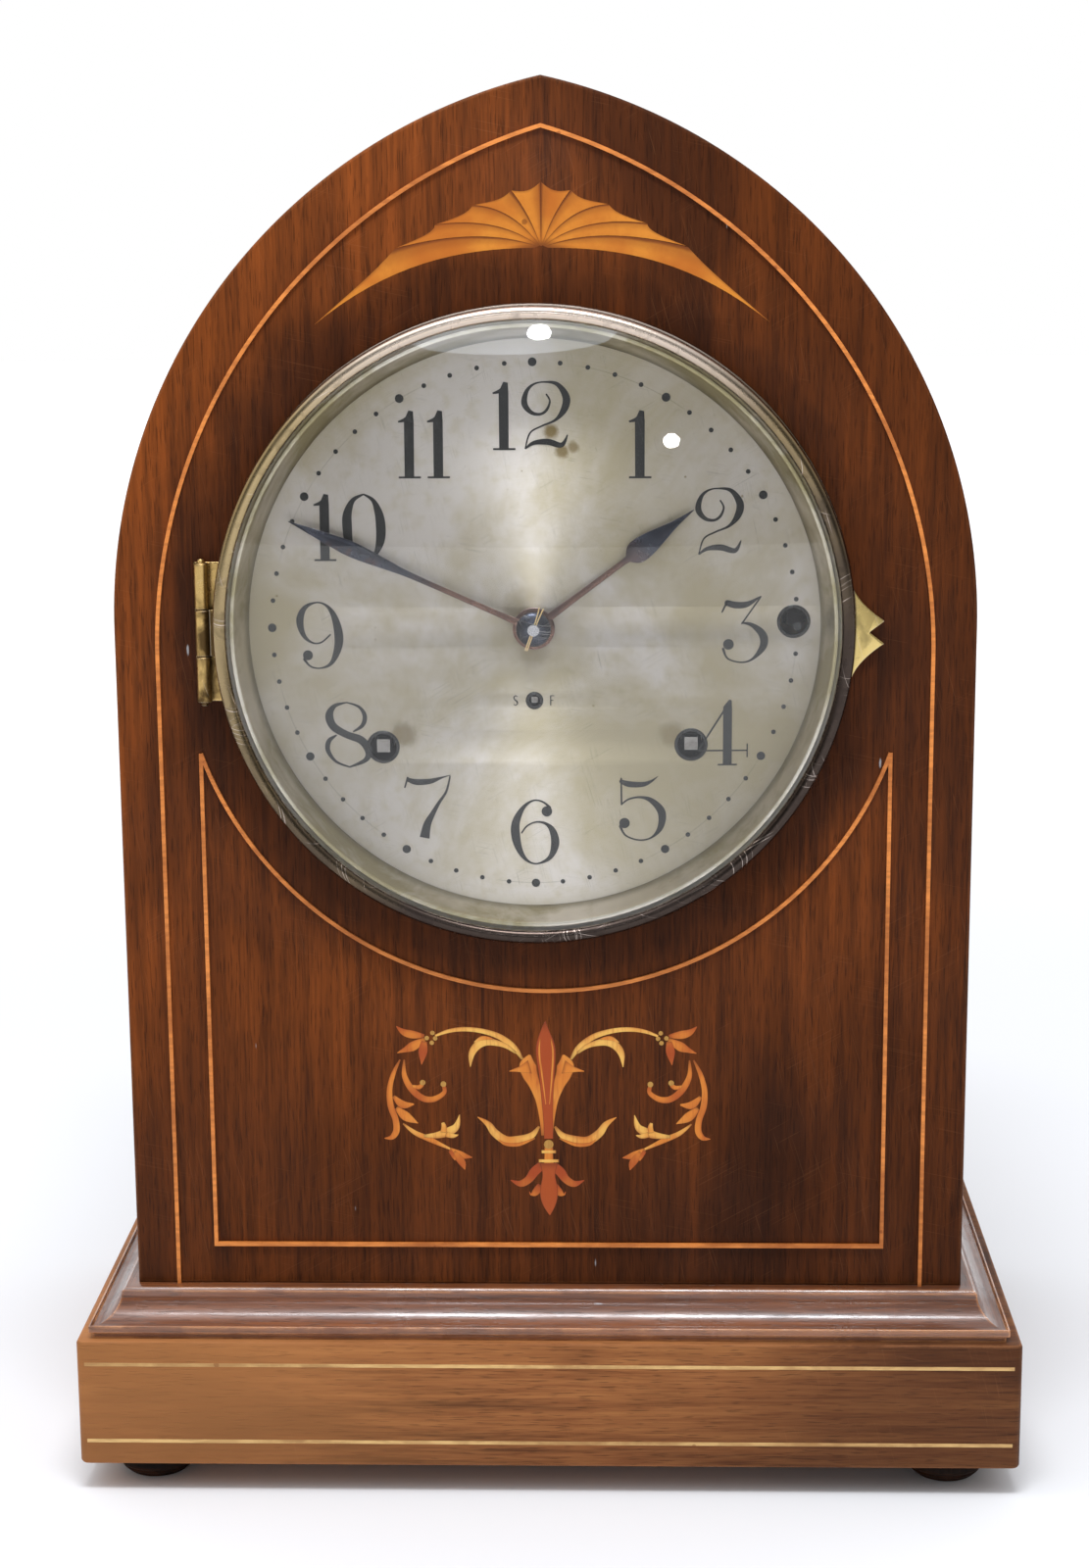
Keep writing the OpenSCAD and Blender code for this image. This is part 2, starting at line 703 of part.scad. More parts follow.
module rounded_block(inset, z0, h) {
    x = half_w + block_side - inset;
    r = block_corner_r;
    translate([0, 0, z0])
        linear_extrude(h) {
            translate([-x, r - base_d / 2 + inset])
                square([2 * x, base_d - 2 * r - 2 * inset]);
            translate([r - x, inset - base_d / 2])
                square([2 * (x - r), base_d - 2 * inset]);
            for (sx = [-1, 1], sy = [-1, 1])
                translate([sx * (x - r), sy * (base_d / 2 - r - inset)])
                    circle(r, $fn = 32);
        }
}

line_zs = [block_top - 7.5, foot_h + 5.85];
module base_lines() {
    for (z = line_zs)
        intersection() {
            difference() {
                rounded_block(0, z - line_w / 2, line_w);
                rounded_block(inlay_t, z - over, 2 * over);
            }
            translate([-case_w, -base_d, 0])
                cube([2 * case_w, 1.5 * base_d - back_t, block_top]);
        }
}

module base_block() {
    color("saddlebrown")
        difference() {
            rounded_block(0, foot_h, block_h);
            base_lines();
        }
}

module base_stringing() {
    color("burlywood")
        base_lines();
}

// Half section of the moulding: distance out from the case against height
top_out = 3.5;
lip_h = 1.5;
module moulding_section(half) {
    difference() {
        union() {
            translate([-half - top_out - cove_r - 0.5, 2.9])
                square([2 * (half + top_out + cove_r + 0.5), moulding_h - 2.9]);
            translate([-half - top_out - cove_r + 0.4, 0])
                square([2 * (half + top_out + cove_r - 0.4), 2.9]);
            translate([-half - top_out - cove_r - 0.5, 1.6])
                square([2 * (half + top_out + cove_r + 0.5), lip_h]);
        }
        for (side = [-1, 1])
            translate([side * (half + top_out + cove_r + 0.4), moulding_h - 0.9])
                circle(cove_r);
        for (side = [0, 1])
            mirror([side, 0])
                translate([half + top_out, moulding_h - 0.9])
                    square([cove_r + 2, 2]);
    }
}

module base_moulding() {
    reach = case_w + case_d;
    color("sienna")
        translate([0, 0, block_top])
            intersection() {
                rotate([90, 0, 0])
                    translate([0, 0, -reach / 2])
                        linear_extrude(reach)
                            moulding_section(half_w);
                translate([-reach / 2, front_y + case_d, 0])
                    rotate([90, 0, 90])
                        linear_extrude(reach)
                            moulding_section(case_d);
                translate([-reach, -reach, 0])
                    cube([2 * reach, reach + front_y + case_d, moulding_h]);
            }
}

module base_feet() {
    x = half_w + block_side - foot_inset - foot_r;
    y = base_d / 2 - foot_inset - foot_r;
    color("black")
        for (sx = [-1, 1], sy = [-1, 1])
            translate([sx * x, sy * y, 0])
                rotate_extrude() {
                    square([foot_r - 2.4, foot_h]);
                    translate([0, 1.2])
                        square([foot_r - 1.2, foot_h - 2.4]);
                    translate([0, 2.6])
                        square([foot_r, foot_h - 4.6]);
                }
}

module case_shell() {
    color("sienna")
        slab(panel_t, back_v)
            difference() {
                arch_outline(0);
                arch_outline(wrap_t);
            }
}

module leaf_recess() {
    slab(-over, leaf_t)
        translate([hinge_x - leaf_out, hinge_z - hinge_l / 2])
            square([leaf_w, hinge_l]);
}

module front_panel() {
    color("saddlebrown")
        difference() {
            slab(0, panel_t)
                arch_outline(0);
            dial_slab(-over, dial_back_v)
                circle(dial_r + 0.4);
            dial_slab(-over, panel_t + over)
                circle(dial_r - 1.7);
            slab(-over, inlay_t)
                string_lines();
            slab(-over, inlay_t)
                fan_outline();
            slab(-over, inlay_t)
                scroll_outline();
            leaf_recess();
        }
}

module door_outline(grow) {
    intersection() {
        arch_outline(door_inset - grow);
        translate([-half_w, case_z + door_foot - grow])
            square([case_w, overall_h]);
    }
}

module back_frame() {
    color("sienna")
        difference() {
            slab(back_v, case_d)
                difference() {
                    arch_outline(0);
                    door_outline(gap);
                }
            door_leaf_cuts(1);
        }
}

module case_stringing() {
    color("chocolate")
        difference() {
            slab(0, inlay_t)
                string_lines();
            leaf_recess();
        }
}

module fan_inlay() {
    color("goldenrod")
        slab(0, inlay_t)
            fan_blades();
}

module scroll_inlay() {
    color("peru")
        slab(0, inlay_t)
            scroll_outline();
}

// Dial

wind_holes = [time_a, strike_a, chime_a];
regulator_hole_r = 1.9;
module dial_plate() {
    color("gainsboro")
        dial_slab(dial_recess, dial_back_v)
            difference() {
                circle(dial_r, $fn = 180);
                circle(4.5);
                for (p = wind_holes)
                    translate(p)
                        circle(wind_hole_r);
                translate(regulator_a)
                    circle(regulator_hole_r);
            }
}

figure_t = 0.15;
module dial_figures() {
    color("black")
        dial_slab(dial_recess - figure_t, dial_recess)
            difference() {
                union() {
                    for (hour = [1:12])
                        numeral(hour);
                    for (k = [0:59])
                        rotate(6 * k)
                            translate([0, dot_ring_r])
                                circle(k % 5 == 0 ? 1.1 : 0.65, $fn = 24);
                }
                for (p = wind_holes)
                    translate(p)
                        circle(wind_hole_r + 0.5);
            }
}

module eyelet(p, r) {
    dial_slab(dial_recess - 0.3, dial_recess)
        translate(p)
            difference() {
                circle(r + 0.35);
                circle(r - 0.5);
            }
    dial_slab(dial_recess, dial_back_v + 0.5)
        translate(p)
            difference() {
                circle(r);
                circle(r - 0.5);
            }
}

module winding_eyelets() {
    color("black") {
        for (p = wind_holes)
            eyelet(p, wind_hole_r);
        eyelet(regulator_a, regulator_hole_r);
    }
}

// Bezel

// Pull tab at the right: two flanks that sweep out to points, with a notch between
tab_l = 14.5;
tab_tip = [bezel_r + 7.4, 2.9];
tab_base_x = bezel_r - 1.3;
tab_drop = 1.2;
function tab_flank(s) = [between(tab_tip.x, tab_base_x, 1 - pow(1 - s, 2)), between(tab_tip.y, tab_l, s)];
module tab_outline() {
    flank = [for (s = [0:0.125:1]) tab_flank(s)];
    difference() {
        translate([0, -tab_drop])
            polygon(concat([[tab_tip.x - 3.8, 0]], flank,
                [[tab_base_x - 3, tab_l], [tab_base_x - 3, -tab_l]],
                [for (k = [len(flank) - 1:-1:0]) [flank[k].x, -flank[k].y]]));
        circle(bezel_r - 1);
    }
}

module bezel_ring() {
    color("dimgray") {
        dial_turned()
            difference() {
                union() {
                    translate([glass_r - 0.6, gap])
                        square([bezel_r - glass_r + 0.6, bezel_lip - gap]);
                    translate([glass_r - 0.6, gap])
                        square([1.8, bead_f - gap]);
                    translate([bead_c, bead_f])
                        circle(bead_r, $fn = 32);
                }
                translate([0, -over])
                    square([glass_r + 0.1, glass_front + 0.1 + over]);
            }
        dial_slab(-bezel_lip, -gap - 0.2)
            tab_outline();
    }
}

module reflector_ring() {
    rim_f = glass_front - glass_t - 0.1;
    color("silver")
        dial_turned()
            polygon([[glass_r - 0.1, rim_f], [glass_r - 0.1, rim_f - 0.5], [glass_r - 0.6, rim_f - 0.5],
                [sight_r + 0.5, gap - dial_recess], [sight_r, gap - dial_recess], [glass_r - 1, rim_f]]);
}

module dial_glass() {
    big_r = (glass_r * glass_r + glass_rise * glass_rise) / (2 * glass_rise);
    centre_f = glass_front + glass_rise - big_r;
    color([0.8, 0.9, 0.9, 0.3])
        dial_turned()
            intersection() {
                difference() {
                    translate([0, centre_f])
                        circle(big_r);
                    translate([0, centre_f - glass_t])
                        circle(big_r);
                }
                translate([0, glass_front - glass_t - over])
                    square([glass_r, glass_rise + glass_t + 2 * over]);
                translate([0, -big_r])
                    square([2 * big_r, 2 * big_r + glass_front + glass_rise]);
            }
}

// Barrel of a hinge about a point of the plan, between two heights
module upright(x, v, r, z0, z1) {
    translate([x, front_y + v, z0])
        cylinder(r = r, h = z1 - z0, $fn = 48);
}

module bezel_hinge_fixed_leaf() {
    color("goldenrod") {
        slab(0, leaf_t)
            translate([hinge_x - leaf_out, hinge_z - hinge_l / 2])
                square([leaf_w, hinge_l]);
        for (side = [0, 1])
            translate([0, 0, hinge_z])
                mirror([0, 0, side]) {
                    translate([hinge_x - 1.2, front_y - hinge_f, moving_l / 2 + 0.1])
                        cube([2.4, hinge_f, hinge_l / 2 - moving_l / 2 - 0.1]);
                    upright(hinge_x, -hinge_f, knuckle_r, moving_l / 2 + 0.1, hinge_l / 2);
                }
        upright(hinge_x, -hinge_f, pin_r, hinge_z - hinge_l / 2 - 1, hinge_z + hinge_l / 2 + 1);
    }
}

module bezel_hinge_moving_leaf() {
    color("gold")
        difference() {
            union() {
                upright(hinge_x, -hinge_f, knuckle_r, hinge_z - moving_l / 2, hinge_z + moving_l / 2);
                translate([hinge_x, front_y - bezel_lip - leaf_t, hinge_z - moving_l / 2])
                    cube([dial_x - bead_c - hinge_x, leaf_t, moving_l]);
            }
            upright(hinge_x, -hinge_f, pin_r + run, hinge_z - moving_l, hinge_z + moving_l);
        }
}

// Hands and motion work

hand_hub_r = 5.35;
hour_pipe_r = 3;
cannon_r = 1.9;
post_r = 1.45;
centre_arbor_r = 1.6;
centre_post_r = 1;
module hand_at(angle, v) {
    dial_slab(v, v + hand_t)
        rotate(-angle)
            children();
}

module minute_hand() {
    l = minute_l;
    color("midnightblue")
        hand_at(minute_dir, minute_hand_v)
            difference() {
                union() {
                    circle(hand_hub_r - 1.2);
                    ribbon([[0, 3, 1.1], [0, 0.35 * l, 0.75], [0, 0.55 * l, 1.5], [0, 0.66 * l, 2],
                        [0, 0.8 * l, 1.3], [0, 0.92 * l, 0.6], [0, l, 0.15]]);
                }
                circle(cannon_r - 0.3);
            }
}

module hour_hand() {
    l = hour_l;
    color("midnightblue")
        hand_at(hour_dir, hour_hand_v)
            difference() {
                union() {
                    circle(hand_hub_r);
                    ribbon([[0, 4, 0.9], [0, 0.5 * l, 0.65], [0, 0.6 * l, 0.8], [0, 0.66 * l, 2.3],
                        [0, 0.7 * l, 2.9], [0, 0.75 * l, 2.7], [0, 0.82 * l, 1.5],
                        [0, 0.9 * l, 0.8], [0, l, 0.15]]);
                }
                circle(hour_pipe_r - 0.4);
            }
}

module hand_washer() {
    color("dimgray")
        dial_slab(minute_hand_v - 0.8, minute_hand_v)
            difference() {
                circle(4.4);
                circle(post_r);
            }
}

// Tapered pin through the post, and the hole that it fills
pin_tilt = 20;
module taper() {
    translate([dial_x, front_y + minute_hand_v - 1.4, dial_z])
        rotate([0, pin_tilt, 0])
            translate([0, 0, -5.5])
                cylinder(r1 = 0.35, r2 = 0.6, h = 11.5, $fn = 24);
}

module taper_pin() {
    color("goldenrod")
        taper();
}

cannon_v = 14.2;
hour_wheel_v = 11;
module cannon_pipe() {
    color("goldenrod")
        difference() {
            union() {
                arbor(centre_a, post_r, minute_hand_v - 3, minute_hand_v);
                arbor(centre_a, cannon_r - 0.3, minute_hand_v, minute_hand_v + hand_t);
                arbor(centre_a, cannon_r, minute_hand_v + hand_t, cannon_v);
                pinion_at(centre_a, cannon_n, motion_m,
                    motion_a, cannon_v, 2, half = 0);
                arbor(centre_a, 2.4, cannon_v + 2, plate_v - 0.6);
            }
            arbor(centre_a, centre_post_r + run, minute_hand_v + 3, plate_v + over);
            taper();
        }
}

module hour_wheel() {
    color("goldenrod")
        difference() {
            union() {
                arbor(centre_a, hour_pipe_r - 0.4, hour_hand_v, hour_hand_v + hand_t);
                arbor(centre_a, hour_pipe_r, hour_hand_v + hand_t, hour_wheel_v);
                wheel_at(centre_a, hour_n, hour_m, cannon_r + run, motion_a, hour_wheel_v, 1.2);
            }
            arbor(centre_a, cannon_r + run, 0, hour_wheel_v + 5);
        }
}

module minute_wheel() {
    color("gold") {
        wheel_at(motion_a, minute_n, motion_m, 1, centre_a, cannon_v + 0.4, 1.2, half = 1);
        pinion_at(motion_a, minute_pinion_n, hour_m, centre_a, hour_wheel_v - 0.4, 2.4);
        arbor(motion_a, 1, hour_wheel_v + 2, plate_v - gap);
        arbor(motion_a, pivot_r, plate_v - gap, plate_in - 0.1);
    }
}

module regulator_arbor() {
    color("silver") {
        dial_slab(dial_back_v + 0.8, dial_back_v + 5)
            translate(regulator_a)
                square(1.5, center = true);
        arbor(regulator_a, arbor_r, dial_back_v + 5, plate_in + 5);
        arbor(regulator_a, arbor_r + 1.2, plate_v - 1.8, plate_v - gap);
        pinion_at(regulator_a, cannon_n, motion_m, regulator_a + [1, 0], plate_in + gap, 2.5, half = 0);
    }
}

// Plates of the time and strike movement

plate_pivots = [second_a, third_a, escape_a, verge_a, lifting_a, strike_fly_a, hammer_a];
module plate_outline() {
    difference() {
        translate([-plate_half, plate_low])
            square([2 * plate_half, plate_high - plate_low]);
        translate(chime_a)
            circle(wind_r + 2.4);
        pivot_holes(plate_pivots, pivot_r);
    }
}

module movement_front_plate() {
    color("gold")
        dial_slab(plate_v, plate_in)
            difference() {
                plate_outline();
                pivot_holes([time_a, strike_a], wind_r);
                pivot_holes([centre_a], centre_arbor_r);
                pivot_holes([motion_a], pivot_r);
                pivot_holes([regulator_a], arbor_r);
                pivot_holes(pillars, stud_r - run);
                pivot_holes(stays, screw_r - run);
            }
}

module movement_back_plate() {
    color("gold") {
        dial_slab(plate_out, plate_out + plate_t)
            difference() {
                plate_outline();
                pivot_holes([time_a, strike_a], pivot_r + 0.6);
                pivot_holes([centre_a], pivot_r);
            }
        for (p = pillars) {
            arbor(p, pillar_r, plate_in, plate_out);
            arbor(p, stud_r, plate_v - nut_t, plate_in);
        }
    }
}

// Nut on the end of a pillar, in front of a plate
module pillar_nut(p, v) {
    dial_slab(v - nut_t, v)
        translate(p)
            difference() {
                circle(3.2, $fn = 6);
                circle(stud_r);
            }
}

// Stay between the front panel and the movement, with the screw that holds the plate to it
module stay(p) {
    depth = 6;
    difference() {
        union() {
            arbor(p, stay_r, panel_t + 1.2, plate_v);
            arbor(p, stay_r + 0.8, panel_t, panel_t + 1.2);
        }
        arbor(p, screw_r, plate_v - depth, plate_v + over);
    }
    arbor(p, screw_r, plate_v - depth, plate_in);
    arbor(p, 2 * screw_r, plate_in, plate_in + 1.3);
}

// Angle piece that stands on the chime shelf against the front plate
module shelf_angle(x) {
    translate([dial_x + x - 4, front_y + chime_v - 1.2, shelf_z])
        cube([8, 1.2, 9]);
    translate([dial_x + x - 4, front_y + chime_v - 9, shelf_z])
        cube([8, 9, 1.2]);
    translate([dial_x + x, front_y + chime_v - 5.5, shelf_z + 1.2])
        cylinder(r = 2, h = 1, $fn = 32);
}

module movement_fixings() {
    color("dimgray") {
        for (p = pillars)
            pillar_nut(p, plate_v);
        for (p = chime_pillars)
            pillar_nut(p, chime_v);
        for (p = stays)
            stay(p);
        for (x = [chime_plate_x[0] + 16, chime_plate_x[1] - 16])
            shelf_angle(x);
    }
}

// Time train

module time_barrel() {
    color("goldenrod") {
        barrel(time_a, barrel_r, great_v, barrel_v, barrel_l, great_m, great_n, second_a);
        click(time_a, 200, barrel_v + barrel_l);
    }
}

module time_winding_arbor() {
    color("silver")
        winding_arbor(time_a, square_v, plate_in, barrel_v, barrel_l, plate_out + plate_t);
}

// An arbor with its two pivots between plates
module pivoted(p, in_v, out_v) {
    arbor(p, arbor_r, in_v + 0.2, out_v - 0.2);
    arbor(p, pivot_r, in_v - plate_t + 0.1, in_v + 0.2);
    arbor(p, pivot_r, out_v - 0.2, out_v + plate_t - 0.1);
}

module time_second_wheel() {
    color("gold") {
        wheel_at(second_a, second_n, second_m, arbor_r, centre_a, second_v, 1.6);
        pinion_at(second_a, second_pinion_n, great_m, time_a, great_v - 0.8, 3.6);
        pivoted(second_a, plate_in, plate_out);
    }
}

module centre_wheel() {
    color("gold") {
        wheel_at(centre_a, centre_n, centre_m, centre_arbor_r, third_a, centre_v, 1.4);
        pinion_at(centre_a, centre_pinion_n, second_m, second_a, second_v - 1, 3.6);
        arbor(centre_a, centre_arbor_r, plate_v - 0.3, plate_out - 0.2);
        arbor(centre_a, centre_post_r, minute_hand_v + 3.2, plate_v - 0.3);
        arbor(centre_a, pivot_r, plate_out - 0.2, plate_out + plate_t - 0.1);
    }
}

module third_wheel() {
    color("gold") {
        wheel_at(third_a, third_n, third_m, arbor_r, escape_a, third_v, 1.2);
        pinion_at(third_a, leaf_n, centre_m, centre_a, centre_v - 1, 3.4);
        pivoted_thin(third_a);
    }
}

// A slender arbor for a pinion of few leaves
thin_arbor_r = pivot_r - 0.04;
module pivoted_thin(p) {
    arbor(p, thin_arbor_r, plate_v + 0.1, plate_out + plate_t - 0.1);
}

// Escape wheel with raked teeth
module escape_outline() {
    p = 360 / escape_n;
    low = escape_r - 1.8;
    difference() {
        polygon([for (i = [0:escape_n - 1]) each [polar(low, i * p), polar(escape_r, (i + 0.62) * p),
            polar(low, (i + 0.7) * p)]]);
        difference() {
            circle(escape_r - 3);
            circle(2.6);
            for (k = [0:4])
                rotate(k * 72)
                    translate([0, -0.7])
                        square([escape_r, 1.4]);
        }
    }
}

module escape_wheel() {
    color("gold") {
        dial_slab(escape_v, escape_v + 1)
            translate(escape_a)
                escape_outline();
        pinion_at(escape_a, leaf_n, third_m, third_a, third_v - 1, 3.2);
        pivoted_thin(escape_a);
    }
}

// Anchor of bent strip on its arbor, and the crutch that embraces the pendulum rod
pallet_gap = 1.2;
pendulum_v = plate_out + plate_t + 6.5;
rod_r = 1.1;
module verge() {
    crutch_l = 26;
    color("lightsteelblue") {
        dial_slab(escape_v - 0.7, escape_v + 1.7)
            difference() {
                union() {
                    translate(verge_a)
                        circle(2.4);
                    for (side = [-1, 1])
                        ribbon([[0, verge_a.y, 1], [side * 6, verge_a.y - 1.6, 0.9],
                            [side * 9.4, escape_a.y + 10.6, 0.6]]);
                }
                translate(escape_a)
                    circle(escape_r + pallet_gap);
            }
        arbor(verge_a, thin_arbor_r, plate_v + 0.1, pendulum_v - 2.6);
        dial_slab(pendulum_v - 4, pendulum_v - 2.6)
            translate(verge_a) {
                circle(2.2);
                translate([-0.6, -crutch_l])
                    square([1.2, crutch_l]);
                translate([-2.6, -crutch_l - 3])
                    square([5.2, 3.6]);
            }
        for (side = [-1, 1])
            dial_slab(pendulum_v - 2.6, pendulum_v + 1.6)
                translate(verge_a + [side * (rod_r + 0.3 + 0.6) - 0.6, -crutch_l - 3])
                    square([1.2, 3.6]);
    }
}

// Bracket on the back plate, the spring that it holds, and the spring's lower pin
spring_t = 0.6;
module suspension() {
    color("goldenrod") {
        dial_slab(plate_out + plate_t, pendulum_v + 3)
            translate([-4, pivot_rise + 4])
                square([8, 3.4]);
        dial_slab(pendulum_v - 0.6, pendulum_v + 0.6)
            translate([-spring_t / 2, pivot_rise])
                square([spring_t, 4.2]);
        arbor(verge_a, pin_r, pendulum_v - 2.3, pendulum_v + 2.3);
    }
}

// Rod hung by two cheeks on the spring's pin, lens-shaped bob and rating nut
module pendulum() {
    bob_z = pivot_rise - pendulum_l;
    color("goldenrod") {
        for (side = [-1, 1])
            dial_slab(pendulum_v + side * 1.45 - 0.65, pendulum_v + side * 1.45 + 0.65)
                difference() {
                    union() {
                        translate(verge_a)
                            circle(2.2);
                        translate([-1.6, pivot_rise - 6])
                            square([3.2, 6]);
                    }
                    translate(verge_a)
                        circle(pin_r + run);
                }
        dial_slab(pendulum_v - 2.1, pendulum_v + 2.1)
            translate([-1.6, pivot_rise - 6])
                square([3.2, 2.6]);
        translate([dial_x, front_y + pendulum_v, dial_z + bob_z - bob_r - 7])
            cylinder(r = rod_r, h = pendulum_l + bob_r + 3, $fn = 32);
        translate([dial_x, front_y + pendulum_v, dial_z + bob_z])
            rotate([90, 0, 0])
                rotate_extrude()
                    intersection() {
                        translate([0, -4])
                            square([bob_r, 8]);
                        translate([0, -44])
                            circle(48);
                        translate([0, 44])
                            circle(48);
                    }
        translate([dial_x, front_y + pendulum_v, dial_z + bob_z - bob_r - 5])
            cylinder(r = 3, h = 2.4, $fn = 32);
    }
}

// Strike train

module strike_barrel() {
    color("goldenrod") {
        barrel(strike_a, barrel_r, great_v, barrel_v, barrel_l, great_m, strike_n, lifting_a);
        click(strike_a, -20, barrel_v + barrel_l);
    }
}

module strike_winding_arbor() {
    color("silver")
        winding_arbor(strike_a, square_v, plate_in, barrel_v, barrel_l, plate_out + plate_t);
}

module strike_lifting_wheel() {
    color("gold") {
        wheel_at(lifting_a, lifting_n, lifting_m, arbor_r, strike_fly_a, lifting_v, 1.4);
        pinion_at(lifting_a, second_pinion_n, great_m, strike_a, great_v - 0.8, 3.6);
        pivoted(lifting_a, plate_in, plate_out);
        for (k = [0:7])
            arbor(lifting_a + polar(12.9, 45 * k + 20), 0.6, lifting_v - 2.4, lifting_v);
    }
}

// Air brake: a pinion on an arbor with a flat vane
module fly(p, mate, in_v, out_v, mesh_v, m, half, vane_v0, vane_v1) {
    pinion_at(p, fly_n, m, mate, mesh_v - 1, 3.4);
    arbor(p, thin_arbor_r, in_v - plate_t + 0.1, out_v + plate_t - 0.1);
    dial_slab(vane_v0, vane_v1)
        translate(p)
            rotate(30)
                difference() {
                    union() {
                        translate([-half, -0.3])
                            square([2 * half, 0.6]);
                        circle(1.5);
                    }
                    circle(thin_arbor_r);
                }
}

module strike_fly() {
    color("gold")
        fly(strike_fly_a, lifting_a, plate_in, plate_out,
            lifting_v, lifting_m, 8, plate_in + 8, plate_in + 24);
}

// A hammer: collar and arbor, tail, bent rod and round head
module hammer(p, v, tail, knee, head) {
    dial_slab(v, v + 2) {
        translate(p)
            circle(2.4);
        ribbon([[p.x, p.y, 1], [tail.x, tail.y, 0.7]]);
        ribbon([[p.x, p.y, 1.1], [knee.x, knee.y, 1], [head.x, head.y, 0.9]]);
    }
    translate([dial_x + head.x, front_y + v + 1, dial_z + head.y])
        rotate([0, 90, 0])
            translate([0, 0, -hammer_head_l / 2])
                cylinder(r = hammer_head_r, h = hammer_head_l, $fn = 48);
}

hammer_v1 = lifting_v - 2.6;
module strike_hammer() {
    head = [hour_bell_x - dial_x - hour_bell_r - hammer_head_l / 2 - 0.9, hour_bell_z - dial_z + 6];
    color("lightsteelblue") {
        hammer(hammer_a, hammer_v1, hammer_a + polar(4, 6), [hammer_a.x, hammer_a.y - 30], head);
        arbor(hammer_a, arbor_r, plate_in + 0.2, hammer_v1);
        arbor(hammer_a, arbor_r, hammer_v1 + 2, plate_out - 0.2);
        arbor(hammer_a, pivot_r, plate_v + 0.1, plate_in + 0.2);
        arbor(hammer_a, pivot_r, plate_out - 0.2, plate_out + plate_t - 0.1);
    }
}

// Chime movement

chime_pivots = [drum_a, chime_fly_a];
module chime_plate_outline() {
    difference() {
        translate([chime_plate_x[0], chime_plate_z[0]])
            square([chime_plate_x[1] - chime_plate_x[0], chime_plate_z[1] - chime_plate_z[0]]);
        pivot_holes(chime_pivots, pivot_r);
    }
}

module chime_front_plate() {
    color("gold")
        dial_slab(chime_v, chime_in)
            difference() {
                chime_plate_outline();
                pivot_holes([chime_a], wind_r);
                pivot_holes(chime_pillars, stud_r - run);
                pivot_holes([hammer_arbor_a], arbor_r - run);
            }
}

// Back plate with its pillars and the rod that the hammers turn on
module chime_back_plate() {
    color("gold") {
        dial_slab(chime_out, chime_out + plate_t)
            difference() {
                chime_plate_outline();
                pivot_holes([chime_a], pivot_r + 0.6);
            }
        for (p = chime_pillars) {
            arbor(p, pillar_r, chime_in, chime_out);
            arbor(p, stud_r, chime_v - nut_t, chime_in);
        }
        arbor(hammer_arbor_a, arbor_r, chime_v, chime_out);
    }
}

module chime_shelf() {
    right = half_w - wrap_t;
    left = dial_x + chime_plate_x[0] - 4;
    color("peru")
        difference() {
            translate([left, front_y + chime_v - 12, shelf_z - shelf_t])
                cube([right - left, chime_gap + 2 * plate_t + 14, shelf_t]);
            translate([dial_x + hammer_arbor_a.x - 9, front_y + chime_in + 2, shelf_z - shelf_t - over])
                cube([26, bell_count * hammer_pitch + 4, shelf_t + 2 * over]);
        }
}

chime_great_v = chime_in + 1.4;
chime_barrel_v = chime_great_v + 3;
chime_barrel_l = 23;
chime_second_v = chime_out - 3;
module chime_barrel() {
    color("goldenrod") {
        barrel(chime_a, barrel_r - 2, chime_great_v, chime_barrel_v, chime_barrel_l,
            chime_m, great_n, drum_a);
        click(chime_a, 60, chime_barrel_v + chime_barrel_l);
    }
}

module chime_winding_arbor() {
    color("silver")
        winding_arbor(chime_a, dial_back_v + 6, chime_in, chime_barrel_v, chime_barrel_l,
            chime_out + plate_t);
}

module chime_pin_drum() {
    drum_v = hammer_v - 2.5;
    drum_l = bell_count * hammer_pitch + 0.5;
    color("gold") {
        pinion_at(drum_a, drum_pinion_n, chime_m, chime_a, chime_great_v - 0.2, 2.2);
        pivoted(drum_a, chime_in, chime_out);
        arbor(drum_a, drum_pin_r - 1.4, drum_v, drum_v + drum_l);
        for (k = [0:bell_count - 1], j = [0:3])
            translate([dial_x + drum_a.x, front_y + hammer_v + k * hammer_pitch + 1, dial_z + drum_a.y])
                rotate([0, 90 * j + 22.5 * ((k * 3) % 4), 0])
                    translate([0, 0, drum_pin_r - 1.8])
                        cylinder(r = 0.5, h = 1.8, $fn = 16);
        wheel_at(drum_a, drum_n, drum_m, arbor_r, chime_fly_a, chime_second_v, 1.4);
    }
}

module chime_fly() {
    color("gold")
        fly(chime_fly_a, drum_a, chime_in, chime_out,
            chime_second_v, drum_m, 7, chime_in + 8, chime_in + 24);
}

// Hammer k of the quarter chime, the first one for the smallest bell in front
function bell_radius(k) = bell_r - (bell_count - 1 - k) * bell_step;
module chime_hammer(k) {
    v = hammer_v + k * hammer_pitch;
    p = hammer_arbor_a;
    head = [bell_x - dial_x + bell_radius(k) + hammer_head_l / 2 + 0.9, bell_z - dial_z];
    color("lightsteelblue")
        difference() {
            hammer(p, v, p + polar(hammer_reach - drum_pin_r - 0.7, 50), [p.x + 1, p.y - 40], head);
            arbor(p, arbor_r + run, v - over, v + 2 + over);
        }
}
module chime_hammer_1() chime_hammer(0);
module chime_hammer_2() chime_hammer(1);
module chime_hammer_3() chime_hammer(2);
module chime_hammer_4() chime_hammer(3);

// A bell's half section: mouth at zero, crown at its depth, with a hole for the rod
module bell_section(r, depth, t, hole) {
    curve = 9;
    difference() {
        union() {
            square([r, depth - curve]);
            square([r - curve, depth]);
            translate([r - curve, depth - curve])
                circle(curve);
        }
        translate([0, -over])
            square([r - t, depth - curve + over]);
        translate([0, -over])
            square([r - curve, depth - t + over]);
        translate([r - curve, depth - curve])
            circle(curve - t);
        translate([0, -over])
            square([hole, depth + 2 * over]);
        translate([0, -20])
            square([r + over, 20]);
    }
}

